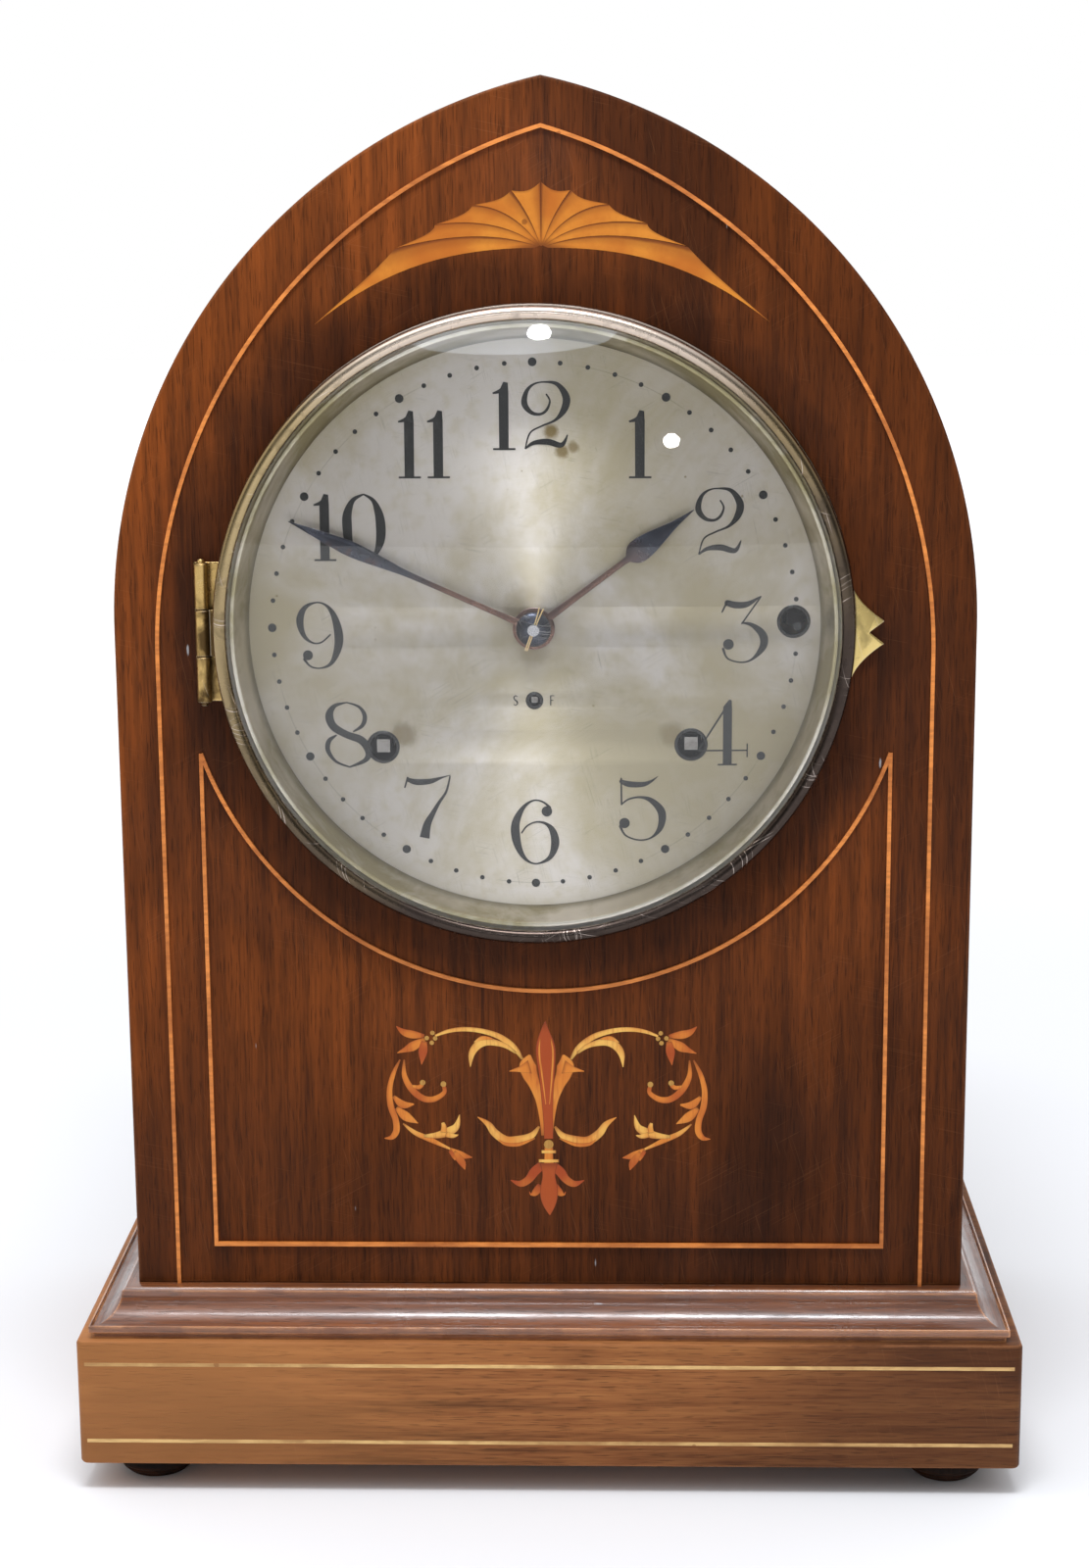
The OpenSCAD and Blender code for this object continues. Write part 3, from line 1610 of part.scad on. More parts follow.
rod_bore = 2;
module bells() {
    color("darkgoldenrod") {
        for (k = [0:bell_count - 1])
            translate([bell_x, front_y + hammer_v + k * hammer_pitch - 1.5, bell_z])
                rotate([-90, 0, 0])
                    rotate_extrude()
                        bell_section(bell_radius(k), bell_depth, bell_t, rod_bore);
        translate([hour_bell_x, front_y + hour_bell_v, hour_bell_z])
            rotate_extrude()
                bell_section(hour_bell_r, hour_bell_h, bell_t, rod_bore);
    }
}

// Sounding board, the rod of the nest on its two posts, and the post of the hour bell
module nest_post(v) {
    slab(v, v + 3)
        difference() {
            union() {
                translate([bell_x - 4, case_z + board_t])
                    square([8, bell_z - case_z - board_t]);
                translate([bell_x, bell_z])
                    circle(4);
            }
            translate([bell_x, bell_z])
                circle(rod_bore);
        }
}

module nest_spacer(v0, v1) {
    slab(v0, v1)
        translate([bell_x, bell_z])
            difference() {
                circle(4);
                circle(rod_bore);
            }
}

module bell_stand() {
    mouth_v = hammer_v - 1.5;
    crown_v = mouth_v + bell_depth;
    last_v = crown_v + (bell_count - 1) * hammer_pitch;
    post_v = mouth_v - 8;
    crown_z = hour_bell_z + hour_bell_h;
    color("tan") {
        translate([-70, front_y + panel_t + 5, case_z])
            cube([140, back_v - panel_t - 9, board_t]);
        slab(post_v, last_v + 6)
            translate([bell_x, bell_z])
                circle(rod_bore);
        nest_post(post_v);
        nest_post(last_v + 3);
        nest_spacer(post_v + 3, crown_v - bell_t);
        for (k = [1:bell_count - 1])
            nest_spacer(crown_v + (k - 1) * hammer_pitch, crown_v + k * hammer_pitch - bell_t);
        nest_spacer(last_v, last_v + 3);
        translate([hour_bell_x, front_y + hour_bell_v, 0]) {
            translate([0, 0, case_z + board_t])
                cylinder(r = 5, h = crown_z - bell_t - case_z - board_t);
            translate([0, 0, case_z + board_t])
                cylinder(r = rod_bore, h = crown_z + 3 - case_z - board_t);
            translate([0, 0, crown_z])
                cylinder(r = 4, h = 2);
        }
    }
}

// Back door

module back_door() {
    color("sienna")
        difference() {
            slab(back_v, case_d)
                door_outline(-gap);
            door_leaf_cuts(-1);
            slab(back_v - over, case_d + over)
                translate([knob_x, knob_z])
                    circle(knob_stem_r);
        }
}

knob_x = door_inset + 10 - half_w;
knob_z = dial_z - 60;
knob_stem_r = 2;
module door_knob() {
    color("gold")
        translate([knob_x, front_y + back_v, knob_z])
            rotate([-90, 0, 0]) {
                cylinder(r = knob_stem_r, h = back_t);
                translate([0, 0, back_t])
                    cylinder(r = 4.5, h = 1);
                translate([0, 0, back_t + 1])
                    cylinder(r = 2.6, h = 1.6);
                translate([0, 0, back_t + 2.6])
                    cylinder(r = 5, h = 3.2);
            }
}

// Shallow seats of the hinge leaves, on the frame's side or the door's side
door_leaf_w = 9;
module door_leaf_cuts(side) {
    for (z = door_hinges)
        slab(case_d - leaf_t, case_d + over)
            translate([door_hinge_x + (side > 0 ? 0 : -door_leaf_w), z - door_leaf_h / 2])
                square([door_leaf_w, door_leaf_h]);
}

// One leaf of each back hinge with its share of the knuckles
module door_leaves(side, knuckles) {
    piece = door_leaf_h / 3;
    leaf_x = door_hinge_x + (side > 0 ? gap : -door_leaf_w);
    web_x = door_hinge_x + (side > 0 ? gap : -2.4);
    for (z = door_hinges) {
        slab(case_d - leaf_t, case_d)
            translate([leaf_x, z - door_leaf_h / 2])
                square([door_leaf_w - (side > 0 ? 1 : 2) * gap, door_leaf_h]);
        for (k = knuckles)
            translate([0, 0, z - door_leaf_h / 2 + k * piece]) {
                upright(door_hinge_x, door_hinge_v, knuckle_r, 0.1, piece - 0.1);
                translate([web_x, front_y + case_d, 0.1])
                    cube([2.4 - gap, door_hinge_v - case_d, piece - 0.2]);
            }
    }
}

module door_hinge_fixed_leaves() {
    color("goldenrod") {
        door_leaves(1, [0, 2]);
        for (z = door_hinges)
            upright(door_hinge_x, door_hinge_v, pin_r, z - door_leaf_h / 2, z + door_leaf_h / 2);
    }
}

module door_hinge_moving_leaves() {
    color("gold")
        difference() {
            door_leaves(-1, [1]);
            for (z = door_hinges)
                upright(door_hinge_x, door_hinge_v, pin_r + run, z - door_leaf_h / 2, z + door_leaf_h / 2);
        }
}

base_block();
base_moulding();
base_feet();
case_shell();
front_panel();
back_frame();
base_stringing();
case_stringing();
fan_inlay();
scroll_inlay();
dial_plate();
dial_figures();
winding_eyelets();
bezel_ring();
reflector_ring();
dial_glass();
bezel_hinge_fixed_leaf();
bezel_hinge_moving_leaf();
minute_hand();
hand_washer();
taper_pin();
cannon_pipe();
hour_hand();
hour_wheel();
minute_wheel();
regulator_arbor();
movement_front_plate();
movement_back_plate();
movement_fixings();
time_barrel();
time_winding_arbor();
time_second_wheel();
centre_wheel();
third_wheel();
escape_wheel();
verge();
pendulum();
suspension();
strike_barrel();
strike_winding_arbor();
strike_lifting_wheel();
strike_fly();
strike_hammer();
chime_front_plate();
chime_back_plate();
chime_shelf();
chime_barrel();
chime_winding_arbor();
chime_pin_drum();
chime_fly();
chime_hammer_1();
chime_hammer_2();
chime_hammer_3();
chime_hammer_4();
bells();
bell_stand();
back_door();
door_knob();
door_hinge_fixed_leaves();
door_hinge_moving_leaves();
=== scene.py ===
"""Looks of a chiming mantel clock: an inlaid mahogany lancet case with a silvered dial."""

import logging
import math
from collections.abc import Callable, Sequence
from dataclasses import dataclass
from enum import Enum

import bmesh
import bpy
from bmesh.types import BMVert
from bpy.types import Material, Mesh, Node, NodeSocket, NodeTree, Object
from mathutils import Matrix, Vector


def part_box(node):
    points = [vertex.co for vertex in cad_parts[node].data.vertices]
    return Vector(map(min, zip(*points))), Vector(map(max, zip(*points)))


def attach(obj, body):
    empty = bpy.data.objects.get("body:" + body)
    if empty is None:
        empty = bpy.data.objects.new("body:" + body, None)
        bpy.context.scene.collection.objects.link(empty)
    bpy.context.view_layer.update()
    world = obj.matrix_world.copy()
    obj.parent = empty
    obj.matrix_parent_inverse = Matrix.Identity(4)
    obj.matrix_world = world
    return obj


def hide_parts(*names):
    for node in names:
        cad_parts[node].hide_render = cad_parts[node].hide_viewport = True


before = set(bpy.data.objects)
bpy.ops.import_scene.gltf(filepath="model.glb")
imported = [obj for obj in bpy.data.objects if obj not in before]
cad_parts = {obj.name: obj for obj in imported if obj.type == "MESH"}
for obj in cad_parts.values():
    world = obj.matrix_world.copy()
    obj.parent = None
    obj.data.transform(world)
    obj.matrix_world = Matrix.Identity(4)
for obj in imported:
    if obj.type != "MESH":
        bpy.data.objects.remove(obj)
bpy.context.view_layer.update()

log = logging.getLogger("clock")
MM = 0.001
TINY = 1e-6
# How far inlay and figures stand out, and how deep the inlay goes, in millimetres
PROUD = 0.03
INLAY = 0.6
Colour = tuple[float, float, float, float]
Flat = tuple[float, float]
Triple = tuple[float, float, float]
Stroke = list[Triple]


def tone(red: float, green: float, blue: float) -> Colour:
    """Colour of the shader's own kind from the 0 to 255 values of a screen.

    Args:
        red: Red, 0 to 255.
        green: Green, 0 to 255.
        blue: Blue, 0 to 255.

    Returns:
        The linear colour with full alpha.
    """
    parts = [c / 255 for c in (red, green, blue)]
    linear = [c / 12.92 if c <= 0.04045 else ((c + 0.055) / 1.055) ** 2.4 for c in parts]
    return (linear[0], linear[1], linear[2], 1.0)


class Grain(Enum):
    """Which way the grain of a wooden piece runs."""

    UPRIGHT = "z"
    ACROSS = "x"
    ALONG = "uv"


class Axis(Enum):
    """What a turned piece is turned about."""

    DIAL = "through the dial, front to back"
    UPRIGHT = "straight up"


@dataclass(frozen=True)
class Layout:
    """Places read from the frame, in millimetres: x to the right, z up, v back from the front."""

    front: float
    half: float
    case_z: float
    top: float
    dial_x: float
    dial_z: float
    dial_v: float
    dial_r: float
    arch_radius: float = 140.8

    @classmethod
    def read(cls) -> "Layout":
        """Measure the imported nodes.

        Returns:
            The places.
        """
        panel, shell, dial = (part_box(n) for n in ("front_panel", "case_shell", "dial_plate"))
        return cls(
            front=panel[0].y / MM,
            half=shell[1].x / MM,
            case_z=shell[0].z / MM,
            top=shell[1].z / MM,
            dial_x=(dial[0].x + dial[1].x) / 2 / MM,
            dial_z=(dial[0].z + dial[1].z) / 2 / MM,
            dial_v=(dial[0].y - panel[0].y) / MM,
            dial_r=(dial[1].x - dial[0].x) / 2 / MM,
        )

    @property
    def reach(self) -> float:
        """How far each arc's centre lies beyond the centre line."""
        return self.arch_radius - self.half

    @property
    def spring(self) -> float:
        """Height at which the arch springs from the sides."""
        return self.top - math.sqrt(self.arch_radius**2 - self.reach**2)

    def place(self, x: float, v: float, z: float) -> Vector:
        """Point in metres from millimetres of x, distance behind the front, and z."""
        return Vector((x * MM, (self.front + v) * MM, z * MM))

    def on_dial(self, x: float, z: float) -> Flat:
        """Front view point from one measured from the dial centre."""
        return (self.dial_x + x, self.dial_z + z)


LAYOUT = Layout.read()


def pointed_arch(
    half: float, radius: float, foot: float, spring: float, steps: int = 48
) -> list[Flat]:
    """Open outline of a pointed arch, from the foot of its right side over to the left.

    Args:
        half: Half of its width.
        radius: Radius of each arc.
        foot: Height of the ends of the two sides.
        spring: Height where the arcs begin.
        steps: Steps of each arc.

    Returns:
        Points of x and z.
    """
    reach = radius - half
    turn = math.acos(reach / radius)
    arc = [
        (-reach + radius * math.cos(turn * k / steps), spring + radius * math.sin(turn * k / steps))
        for k in range(steps + 1)
    ]
    right = [(half, foot), *arc]
    return right + [(-x, z) for x, z in reversed(right[:-1])]


def circle(x: float, z: float, radius: float, steps: int = 128) -> list[Flat]:
    """Points of a circle, turning from the right over the top."""
    turns = (2 * math.pi * k / steps for k in range(steps))
    return [(x + radius * math.cos(a), z + radius * math.sin(a)) for a in turns]


def smooth(points: Sequence[Sequence[float]], steps: int = 6, closed: bool = False) -> Stroke:
    """Points on an even curve through all the given ones.

    Args:
        points: Points with any number of values each.
        steps: Steps between one point and the next.
        closed: Whether the curve runs back to its start.

    Returns:
        The points of the curve.
    """
    count = len(points)
    spans = count if closed else count - 1

    def pick(i: int) -> Sequence[float]:
        """Point i, or the end that is nearest to it on an open curve."""
        return points[i % count] if closed else points[max(0, min(count - 1, i))]

    made = []
    for i in range(spans):
        a, b, c, d = (pick(i + k) for k in (-1, 0, 1, 2))
        for k in range(steps):
            t = k / steps
            made.append(
                tuple(
                    0.5
                    * (
                        2 * q
                        + (r - p) * t
                        + (2 * p - 5 * q + 4 * r - s) * t * t
                        + (3 * q - p - 3 * r + s) * t**3
                    )
                    for p, q, r, s in zip(a, b, c, d, strict=True)
                )
            )
    if not closed:
        made.append(tuple(points[-1]))
    return made


def filleted(points: Sequence[Triple], steps: int = 4) -> list[Flat]:
    """Closed outline with its corners rounded.

    Args:
        points: Corners with the radius that each is rounded to.
        steps: Steps of each rounding.

    Returns:
        The points of the outline.
    """
    made: list[Flat] = []
    count = len(points)
    for i, (x, y, radius) in enumerate(points):
        here = Vector((x, y))
        before = Vector(points[i - 1][:2]) - here
        after = Vector(points[(i + 1) % count][:2]) - here
        if radius <= 0:
            made.append((x, y))
            continue
        cut = min(radius, 0.45 * before.length, 0.45 * after.length)
        start, end = here + before.normalized() * cut, here + after.normalized() * cut
        for k in range(steps + 1):
            t = k / steps
            p = start * (1 - t) ** 2 + here * (2 * t * (1 - t)) + end * t**2
            made.append((p.x, p.y))
    return made


def link(name: str, data: bpy.types.ID) -> Object:
    """New object of that data at the origin of the scene."""
    made = bpy.data.objects.new(name, data)
    bpy.context.scene.collection.objects.link(made)
    return made


def plain_mesh(source: Object) -> Mesh:
    """Mesh of an object as its modifiers leave it. The object itself is removed.

    Args:
        source: Mesh or curve object.

    Returns:
        A mesh that depends on nothing.
    """
    graph = bpy.context.evaluated_depsgraph_get()
    mesh = bpy.data.meshes.new_from_object(
        source.evaluated_get(graph), preserve_all_data_layers=True, depsgraph=graph
    )
    bpy.data.objects.remove(source)
    return mesh


class Nodes:
    """Short way to add nodes to a tree, for materials, shader groups and geometry."""

    def __init__(self, tree: NodeTree) -> None:
        """Work on that tree."""
        self.tree = tree

    def add(self, kind: str, inputs: dict | None = None, **settings: object) -> Node:
        """Add a node.

        Args:
            kind: Type name of the node.
            inputs: Value or source socket for each input, by name or number.
            **settings: Attributes of the node.

        Returns:
            The node.
        """
        node = self.tree.nodes.new(kind)
        for name, value in settings.items():
            setattr(node, name, value)
        for key, value in (inputs or {}).items():
            self.feed(node.inputs[key], value)
        return node

    def feed(self, socket: NodeSocket, value: object) -> None:
        """Link a socket or node to an input, or set the input's own value.

        Args:
            socket: Input of a node.
            value: Node, source socket or plain value.
        """
        if isinstance(value, Node):
            value = value.outputs[0]
        if isinstance(value, NodeSocket):
            self.tree.links.new(value, socket)
        else:
            socket.default_value = value

    def maths(self, operation: str, *values: object, clamp: bool = False) -> NodeSocket:
        """Result of a sum on one, two or three values."""
        inputs = dict(enumerate(values))
        return self.add("ShaderNodeMath", inputs, operation=operation, use_clamp=clamp).outputs[0]

    def times(self, first: object, second: object) -> NodeSocket:
        """Product of two values."""
        return self.maths("MULTIPLY", first, second)

    def plus(self, first: object, second: object, clamp: bool = False) -> NodeSocket:
        """Sum of two values."""
        return self.maths("ADD", first, second, clamp=clamp)

    def minus(self, first: object, second: object) -> NodeSocket:
        """First value less the second."""
        return self.maths("SUBTRACT", first, second)

    def most(self, first: object, second: object) -> NodeSocket:
        """The larger of two values."""
        return self.maths("MAXIMUM", first, second)

    def vector(self, operation: str, *values: object, out: str = "Vector") -> NodeSocket:
        """Result of a sum on vectors."""
        inputs = dict(enumerate(values))
        return self.add("ShaderNodeVectorMath", inputs, operation=operation).outputs[out]

    def dot(self, first: object, second: object) -> NodeSocket:
        """Product of two vectors as one value."""
        return self.vector("DOT_PRODUCT", first, second, out="Value")

    def length(self, vector: object) -> NodeSocket:
        """Length of a vector."""
        return self.vector("LENGTH", vector, out="Value")

    def axis(self, vector: object, number: int) -> NodeSocket:
        """One of the three values of a vector."""
        return self.add("ShaderNodeSeparateXYZ", {0: vector}).outputs[number]

    def mix(self, share: object, first: object, second: object) -> NodeSocket:
        """Colour between two, by a share from 0 to 1."""
        inputs = {0: share, 6: first, 7: second}
        return self.add("ShaderNodeMix", inputs, data_type="RGBA").outputs[2]

    def between(self, value: object, low: float, high: float, out: Flat = (0, 1)) -> NodeSocket:
        """Soft step of a value from one level to another."""
        inputs = {"Value": value, "From Min": low, "From Max": high, "To Min": out[0], "To Max": out[1]}
        return self.add("ShaderNodeMapRange", inputs, interpolation_type="SMOOTHSTEP").outputs[0]

    def noise(self, vector: object, scale: object = 1, detail: float = 3, rough: float = 0.5,
              bend: float = 0) -> NodeSocket:
        """Cloudy value about a half.

        Args:
            vector: Place in the pattern.
            scale: Scale of the pattern.
            detail: Number of finer layers.
            rough: Strength of the finer layers.
            bend: How much it is warped.

        Returns:
            The value.
        """
        inputs = {
            "Vector": vector, "Scale": scale, "Detail": detail, "Roughness": rough, "Distortion": bend
        }
        return self.add("ShaderNodeTexNoise", inputs).outputs[0]

    def stretched(self, vector: object, size: Triple) -> NodeSocket:
        """Vector scaled by a size along each axis."""
        return self.vector("MULTIPLY", vector, size)


VECTOR, FLOAT, COLOUR = "NodeSocketVector", "NodeSocketFloat", "NodeSocketColor"


class Effect:
    """A shader node group that several finishes share."""

    def __init__(self, name: str, inputs: dict[str, str], outputs: dict[str, str]) -> None:
        """Start a group.

        Args:
            name: Name of the group.
            inputs: Socket type of each input by its name.
            outputs: Socket type of each output by its name.
        """
        self.tree = bpy.data.node_groups.new(name, "ShaderNodeTree")
        for way, sockets in (("INPUT", inputs), ("OUTPUT", outputs)):
            for label, kind in sockets.items():
                self.tree.interface.new_socket(name=label, in_out=way, socket_type=kind)
        self.nodes = Nodes(self.tree)
        self.enter = self.nodes.add("NodeGroupInput").outputs
        self.leave = self.nodes.add("NodeGroupOutput")

    def give(self, **values: NodeSocket) -> NodeTree:
        """Feed the group's outputs and return the group."""
        for label, value in values.items():
            self.nodes.feed(self.leave.inputs[label], value)
        return self.tree


def wood_grain() -> NodeTree:
    """Polished hardwood: ribbon, streaks, fibres, pores and cloudy polish.

    Returns:
        Group with Color and Height. The grain runs along X of its vector.
    """
    e = Effect(
        "wood grain",
        {"Vector": VECTOR, "Light": COLOUR, "Mid": COLOUR, "Dark": COLOUR, "Ribbon": FLOAT,
         "Patches": FLOAT},
        {"Color": COLOUR, "Height": FLOAT},
    )
    n, v = e.nodes, e.enter["Vector"]
    streak = n.noise(n.stretched(v, (13, 330, 330)), 1, 4, 0.6)
    broad = n.noise(n.stretched(v, (4, 42, 42)), 1, 2)
    ribbon = n.times(n.minus(broad, 0.5), e.enter["Ribbon"])
    level = n.plus(streak, ribbon)
    body = n.mix(n.between(level, 0.12, 0.56), e.enter["Dark"], e.enter["Mid"])
    body = n.mix(n.between(level, 0.44, 0.9), body, e.enter["Light"])
    fibre = n.noise(n.stretched(v, (70, 1500, 1500)), 1, 2)
    body = n.mix(n.between(fibre, 0.35, 0.7, (0, 0.35)), body, e.enter["Light"])
    cloud = n.noise(n.stretched(v, (9, 20, 20)), 1, 3, 0.55)
    body = n.mix(n.times(n.between(cloud, 0.48, 0.7), e.enter["Patches"]), body, e.enter["Dark"])
    pore = n.between(n.noise(n.stretched(v, (150, 2300, 2300)), 1, 1), 0.58, 0.7)
    body = n.mix(n.times(pore, 0.42), body, n.mix(0.7, e.enter["Dark"], (0, 0, 0, 1)))
    height = n.minus(n.times(fibre, 0.25), pore)
    return e.give(Color=body, Height=height)


def edge_wear() -> NodeTree:
    """Mask of the arrises, broken up as hands wear them.

    Returns:
        Group with Mask, from Vector, Radius and Amount.
    """
    e = Effect("edge wear", {"Vector": VECTOR, "Radius": FLOAT, "Amount": FLOAT}, {"Mask": FLOAT})
    n = e.nodes
    soft = n.add("ShaderNodeBevel", {"Radius": e.enter["Radius"]}, samples=4)
    flat = n.add("ShaderNodeNewGeometry").outputs["Normal"]
    bend = n.minus(1, n.dot(soft, flat))
    broken = n.between(n.noise(n.stretched(e.enter["Vector"], (90, 90, 90)), 1, 4, 0.6), 0.36, 0.6)
    mask = n.times(n.between(bend, 0.02, 0.14), n.plus(broken, 0.25, clamp=True))
    return e.give(Mask=n.maths("MULTIPLY", mask, e.enter["Amount"], clamp=True))


def scratches() -> NodeTree:
    """Mask of fine straight scratches that run several ways.

    Returns:
        Group with Mask, from Vector and Density.
    """
    e = Effect("scratches", {"Vector": VECTOR, "Density": FLOAT}, {"Mask": FLOAT})
    n = e.nodes
    total = None
    for k, (turn, tilt) in enumerate(((0.3, 0.5), (1.2, 2.1), (2.2, 1.1), (2.9, 0.2))):
        turned = n.add(
            "ShaderNodeMapping",
            {"Vector": e.enter["Vector"], "Location": (0.3 * k, 0.17 * k, 0.4),
             "Rotation": (turn, tilt, turn)},
        )
        line = n.noise(n.stretched(turned, (38, 38, 5200)), 1, 0)
        where = n.noise(n.stretched(turned, (70, 70, 70)), 1, 1)
        mask = n.times(n.between(line, 0.73, 0.79), n.between(where, 0.52, 0.62))
        total = mask if total is None else n.most(total, mask)
    return e.give(Mask=n.maths("MULTIPLY", total, e.enter["Density"], clamp=True))


def specks() -> NodeTree:
    """Mask of small pits and grains of dust.

    Returns:
        Group with Mask, from Vector, Scale, Share of the places that have one, and Size.
    """
    e = Effect("specks", {"Vector": VECTOR, "Scale": FLOAT, "Share": FLOAT, "Size": FLOAT}, {"Mask": FLOAT})
    n = e.nodes
    cell = n.add("ShaderNodeTexVoronoi", {"Vector": e.enter["Vector"], "Scale": e.enter["Scale"]})
    chosen = n.add("ShaderNodeSeparateColor", {0: cell.outputs["Color"]})
    few = n.maths("LESS_THAN", chosen.outputs[0], e.enter["Share"])
    size = n.times(n.maths("POWER", chosen.outputs[1], 2), e.enter["Size"])
    ragged = n.times(n.noise(e.enter["Vector"], n.times(e.enter["Scale"], 7), 2), 0.1)
    away = n.plus(cell.outputs["Distance"], ragged)
    near = n.between(n.minus(away, size), 0.13, 0.07)
    return e.give(Mask=n.times(few, near))


def clouds() -> NodeTree:
    """Mask of blotches, as of tarnish or an uneven polish.

    Returns:
        Group with Mask, from Vector, Scale and Level, where a higher level leaves fewer.
    """
    e = Effect("clouds", {"Vector": VECTOR, "Scale": FLOAT, "Level": FLOAT}, {"Mask": FLOAT})
    n = e.nodes
    cloud = n.noise(e.enter["Vector"], e.enter["Scale"], 6, 0.62, 0.4)
    over = n.maths("DIVIDE", n.minus(cloud, e.enter["Level"]), 0.16)
    return e.give(Mask=n.plus(over, 0.5, clamp=True))


GRAIN, WEAR, SCRATCHES, SPECKS, CLOUDS = wood_grain(), edge_wear(), scratches(), specks(), clouds()


class Paint:
    """A material in the making, with its shader and the shared effects at hand."""

    def __init__(self, name: str) -> None:
        """Start a material.

        Args:
            name: Name of the material.
        """
        self.material = bpy.data.materials.new(name)
        self.material.use_nodes = True
        self.material.node_tree.nodes.clear()
        self.nodes = Nodes(self.material.node_tree)
        self.shader = self.nodes.add("ShaderNodeBsdfPrincipled")
        self.out = self.nodes.add("ShaderNodeOutputMaterial", {0: self.shader})
        self.place = self.nodes.add("ShaderNodeTexCoord").outputs["Object"]

    def set(self, **values: object) -> "Paint":
        """Set or link sockets of the shader, with underscores for the blanks of their names."""
        for name, value in values.items():
            self.nodes.feed(self.shader.inputs[name.replace("_", " ")], value)
        return self

    def effect(self, group: NodeTree, out: str = "Mask", **values: object) -> NodeSocket:
        """Output of a shared effect placed in this material."""
        given = {"Vector": self.place, **({"Size": 0.2} if group is SPECKS else {}), **values}
        return self.nodes.add("ShaderNodeGroup", given, node_tree=group).outputs[out]

    def attribute(self, name: str) -> NodeSocket:
        """Value stored on the piece's own points."""
        return self.nodes.add("ShaderNodeAttribute", attribute_name=name).outputs["Fac"]

    def bump(self, height: object, depth: float) -> "Paint":
        """Raise the surface by a height, at full to that depth in metres."""
        made = self.nodes.add("ShaderNodeBump", {"Height": height, "Distance": depth, "Strength": 1.0})
        return self.set(Normal=made)

    def from_dial(self) -> NodeSocket:
        """Vector from the dial's axis to the point, in metres."""
        middle = LAYOUT.place(LAYOUT.dial_x, 0, LAYOUT.dial_z)
        away = self.nodes.vector("SUBTRACT", self.place, tuple(middle))
        return self.nodes.stretched(away, (1, 0, 1))


@dataclass(frozen=True)
class WoodFinish:
    """Stained and polished wood."""

    name: str
    light: Colour
    mid: Colour
    dark: Colour
    grain: Grain = Grain.UPRIGHT
    ribbon: float = 0.5
    patches: float = 0.6
    wear: float = 0.6
    worn: Colour = tone(176, 118, 78)
    wear_radius: float = 0.0012
    rough: float = 0.42
    coat: float = 0.02
    shine: float = 0.08
    chips: float = 0.012
    # Strength of the front's painted shade, darker to the right and low down, with a darker ring round the
    # bezel
    aged: float = 0.0
    # Strength of the painted side light: lighter on the left, darker on the right
    sided: float = 0.0

    def vector(self, paint: Paint) -> NodeSocket:
        """Coordinates with the grain along X.

        Args:
            paint: The material in the making.

        Returns:
            The coordinates.
        """
        n = paint.nodes
        if self.grain is Grain.ALONG:
            return n.add("ShaderNodeUVMap", uv_map="grain").outputs[0]
        apart = n.add("ShaderNodeSeparateXYZ", {0: paint.place}).outputs
        order = {Grain.UPRIGHT: (2, 0, 1), Grain.ACROSS: (0, 1, 2)}[self.grain]
        return n.add("ShaderNodeCombineXYZ", {k: apart[order[k]] for k in range(3)}).outputs[0]

    def darkened(self, paint: Paint, colour: NodeSocket) -> NodeSocket:
        """Colour of the front with painted shade, darker to the upper right and low down; darker also in a
        ring round the bezel.

        Args:
            paint: The material in the making.
            colour: Colour of the wood before.

        Returns:
            The colour.
        """
        n = paint.nodes
        spot = n.add("ShaderNodeSeparateXYZ", {0: paint.place}).outputs
        drift = n.times(n.minus(n.noise(paint.place, 14, 2), 0.5), 0.12)
        # Painted shade: darker to the right, more so high up, and darker low down
        side = n.between(n.plus(spot[0], drift), -0.05, 0.07)
        side = n.times(side, n.between(spot[2], 0.18, 0.29, (0.35, 0.8)))
        low = n.between(n.plus(spot[2], drift), 0.17, 0.07, (0, 0.65))
        deep = n.plus(side, low, clamp=True)
        reach = n.length(paint.from_dial())
        ragged = n.plus(reach, n.times(n.noise(paint.place, 70, 3), 0.02))
        # Darker ring round the bezel
        ring_near_bezel = n.between(ragged, 0.115, 0.096)
        deep = n.times(n.most(deep, ring_near_bezel), self.aged)
        return n.mix(deep, colour, n.mix(0.75, self.dark, (0, 0, 0, 1)))

    def build(self) -> Material:
        """Make the material.

        Returns:
            The material.
        """
        paint = Paint(self.name)
        n = paint.nodes
        along = self.vector(paint)
        wood = n.add(
            "ShaderNodeGroup",
            {"Vector": along, "Light": self.light, "Mid": self.mid, "Dark": self.dark,
             "Ribbon": self.ribbon, "Patches": self.patches},
            node_tree=GRAIN,
        )
        colour = wood.outputs["Color"]
        # Painted shade over the front board
        if self.aged > 0:
            colour = self.darkened(paint, colour)
        # Painted light and shade: lighter on the left, darker on the right
        if self.sided > 0:
            across = n.axis(paint.place, 0)
            across = n.plus(across, n.times(n.noise(paint.place, 30, 3), 0.05))
            colour = n.mix(n.between(across, 0.03, -0.07, (0, self.sided)), colour, self.light)
            colour = n.mix(n.between(across, 0.04, 0.12, (0, self.sided)), colour, self.dark)
        drawn = n.stretched(along, (0.2, 1, 1))
        chip = paint.effect(SPECKS, Vector=drawn, Scale=330.0, Share=self.chips, Size=0.1)
        colour = n.mix(n.times(chip, 0.55), colour, tone(186, 190, 194))
        line = paint.effect(SCRATCHES, Density=0.08)
        colour = n.mix(line, colour, self.worn)
        edge = paint.effect(WEAR, Radius=self.wear_radius, Amount=self.wear)
        colour = n.mix(edge, colour, self.worn)
        haze = paint.effect(CLOUDS, Scale=26.0, Level=0.5)
        rough = n.plus(n.times(haze, 0.14), n.plus(self.rough, n.times(edge, 0.15)))
        paint.set(Base_Color=colour, Roughness=rough, Coat_Roughness=0.16, Specular_IOR_Level=self.shine)
        if self.coat > 0:
            paint.set(Coat_Weight=n.minus(self.coat, n.times(haze, 0.5 * self.coat)))
        return paint.bump(wood.outputs["Height"], 0.00006).material


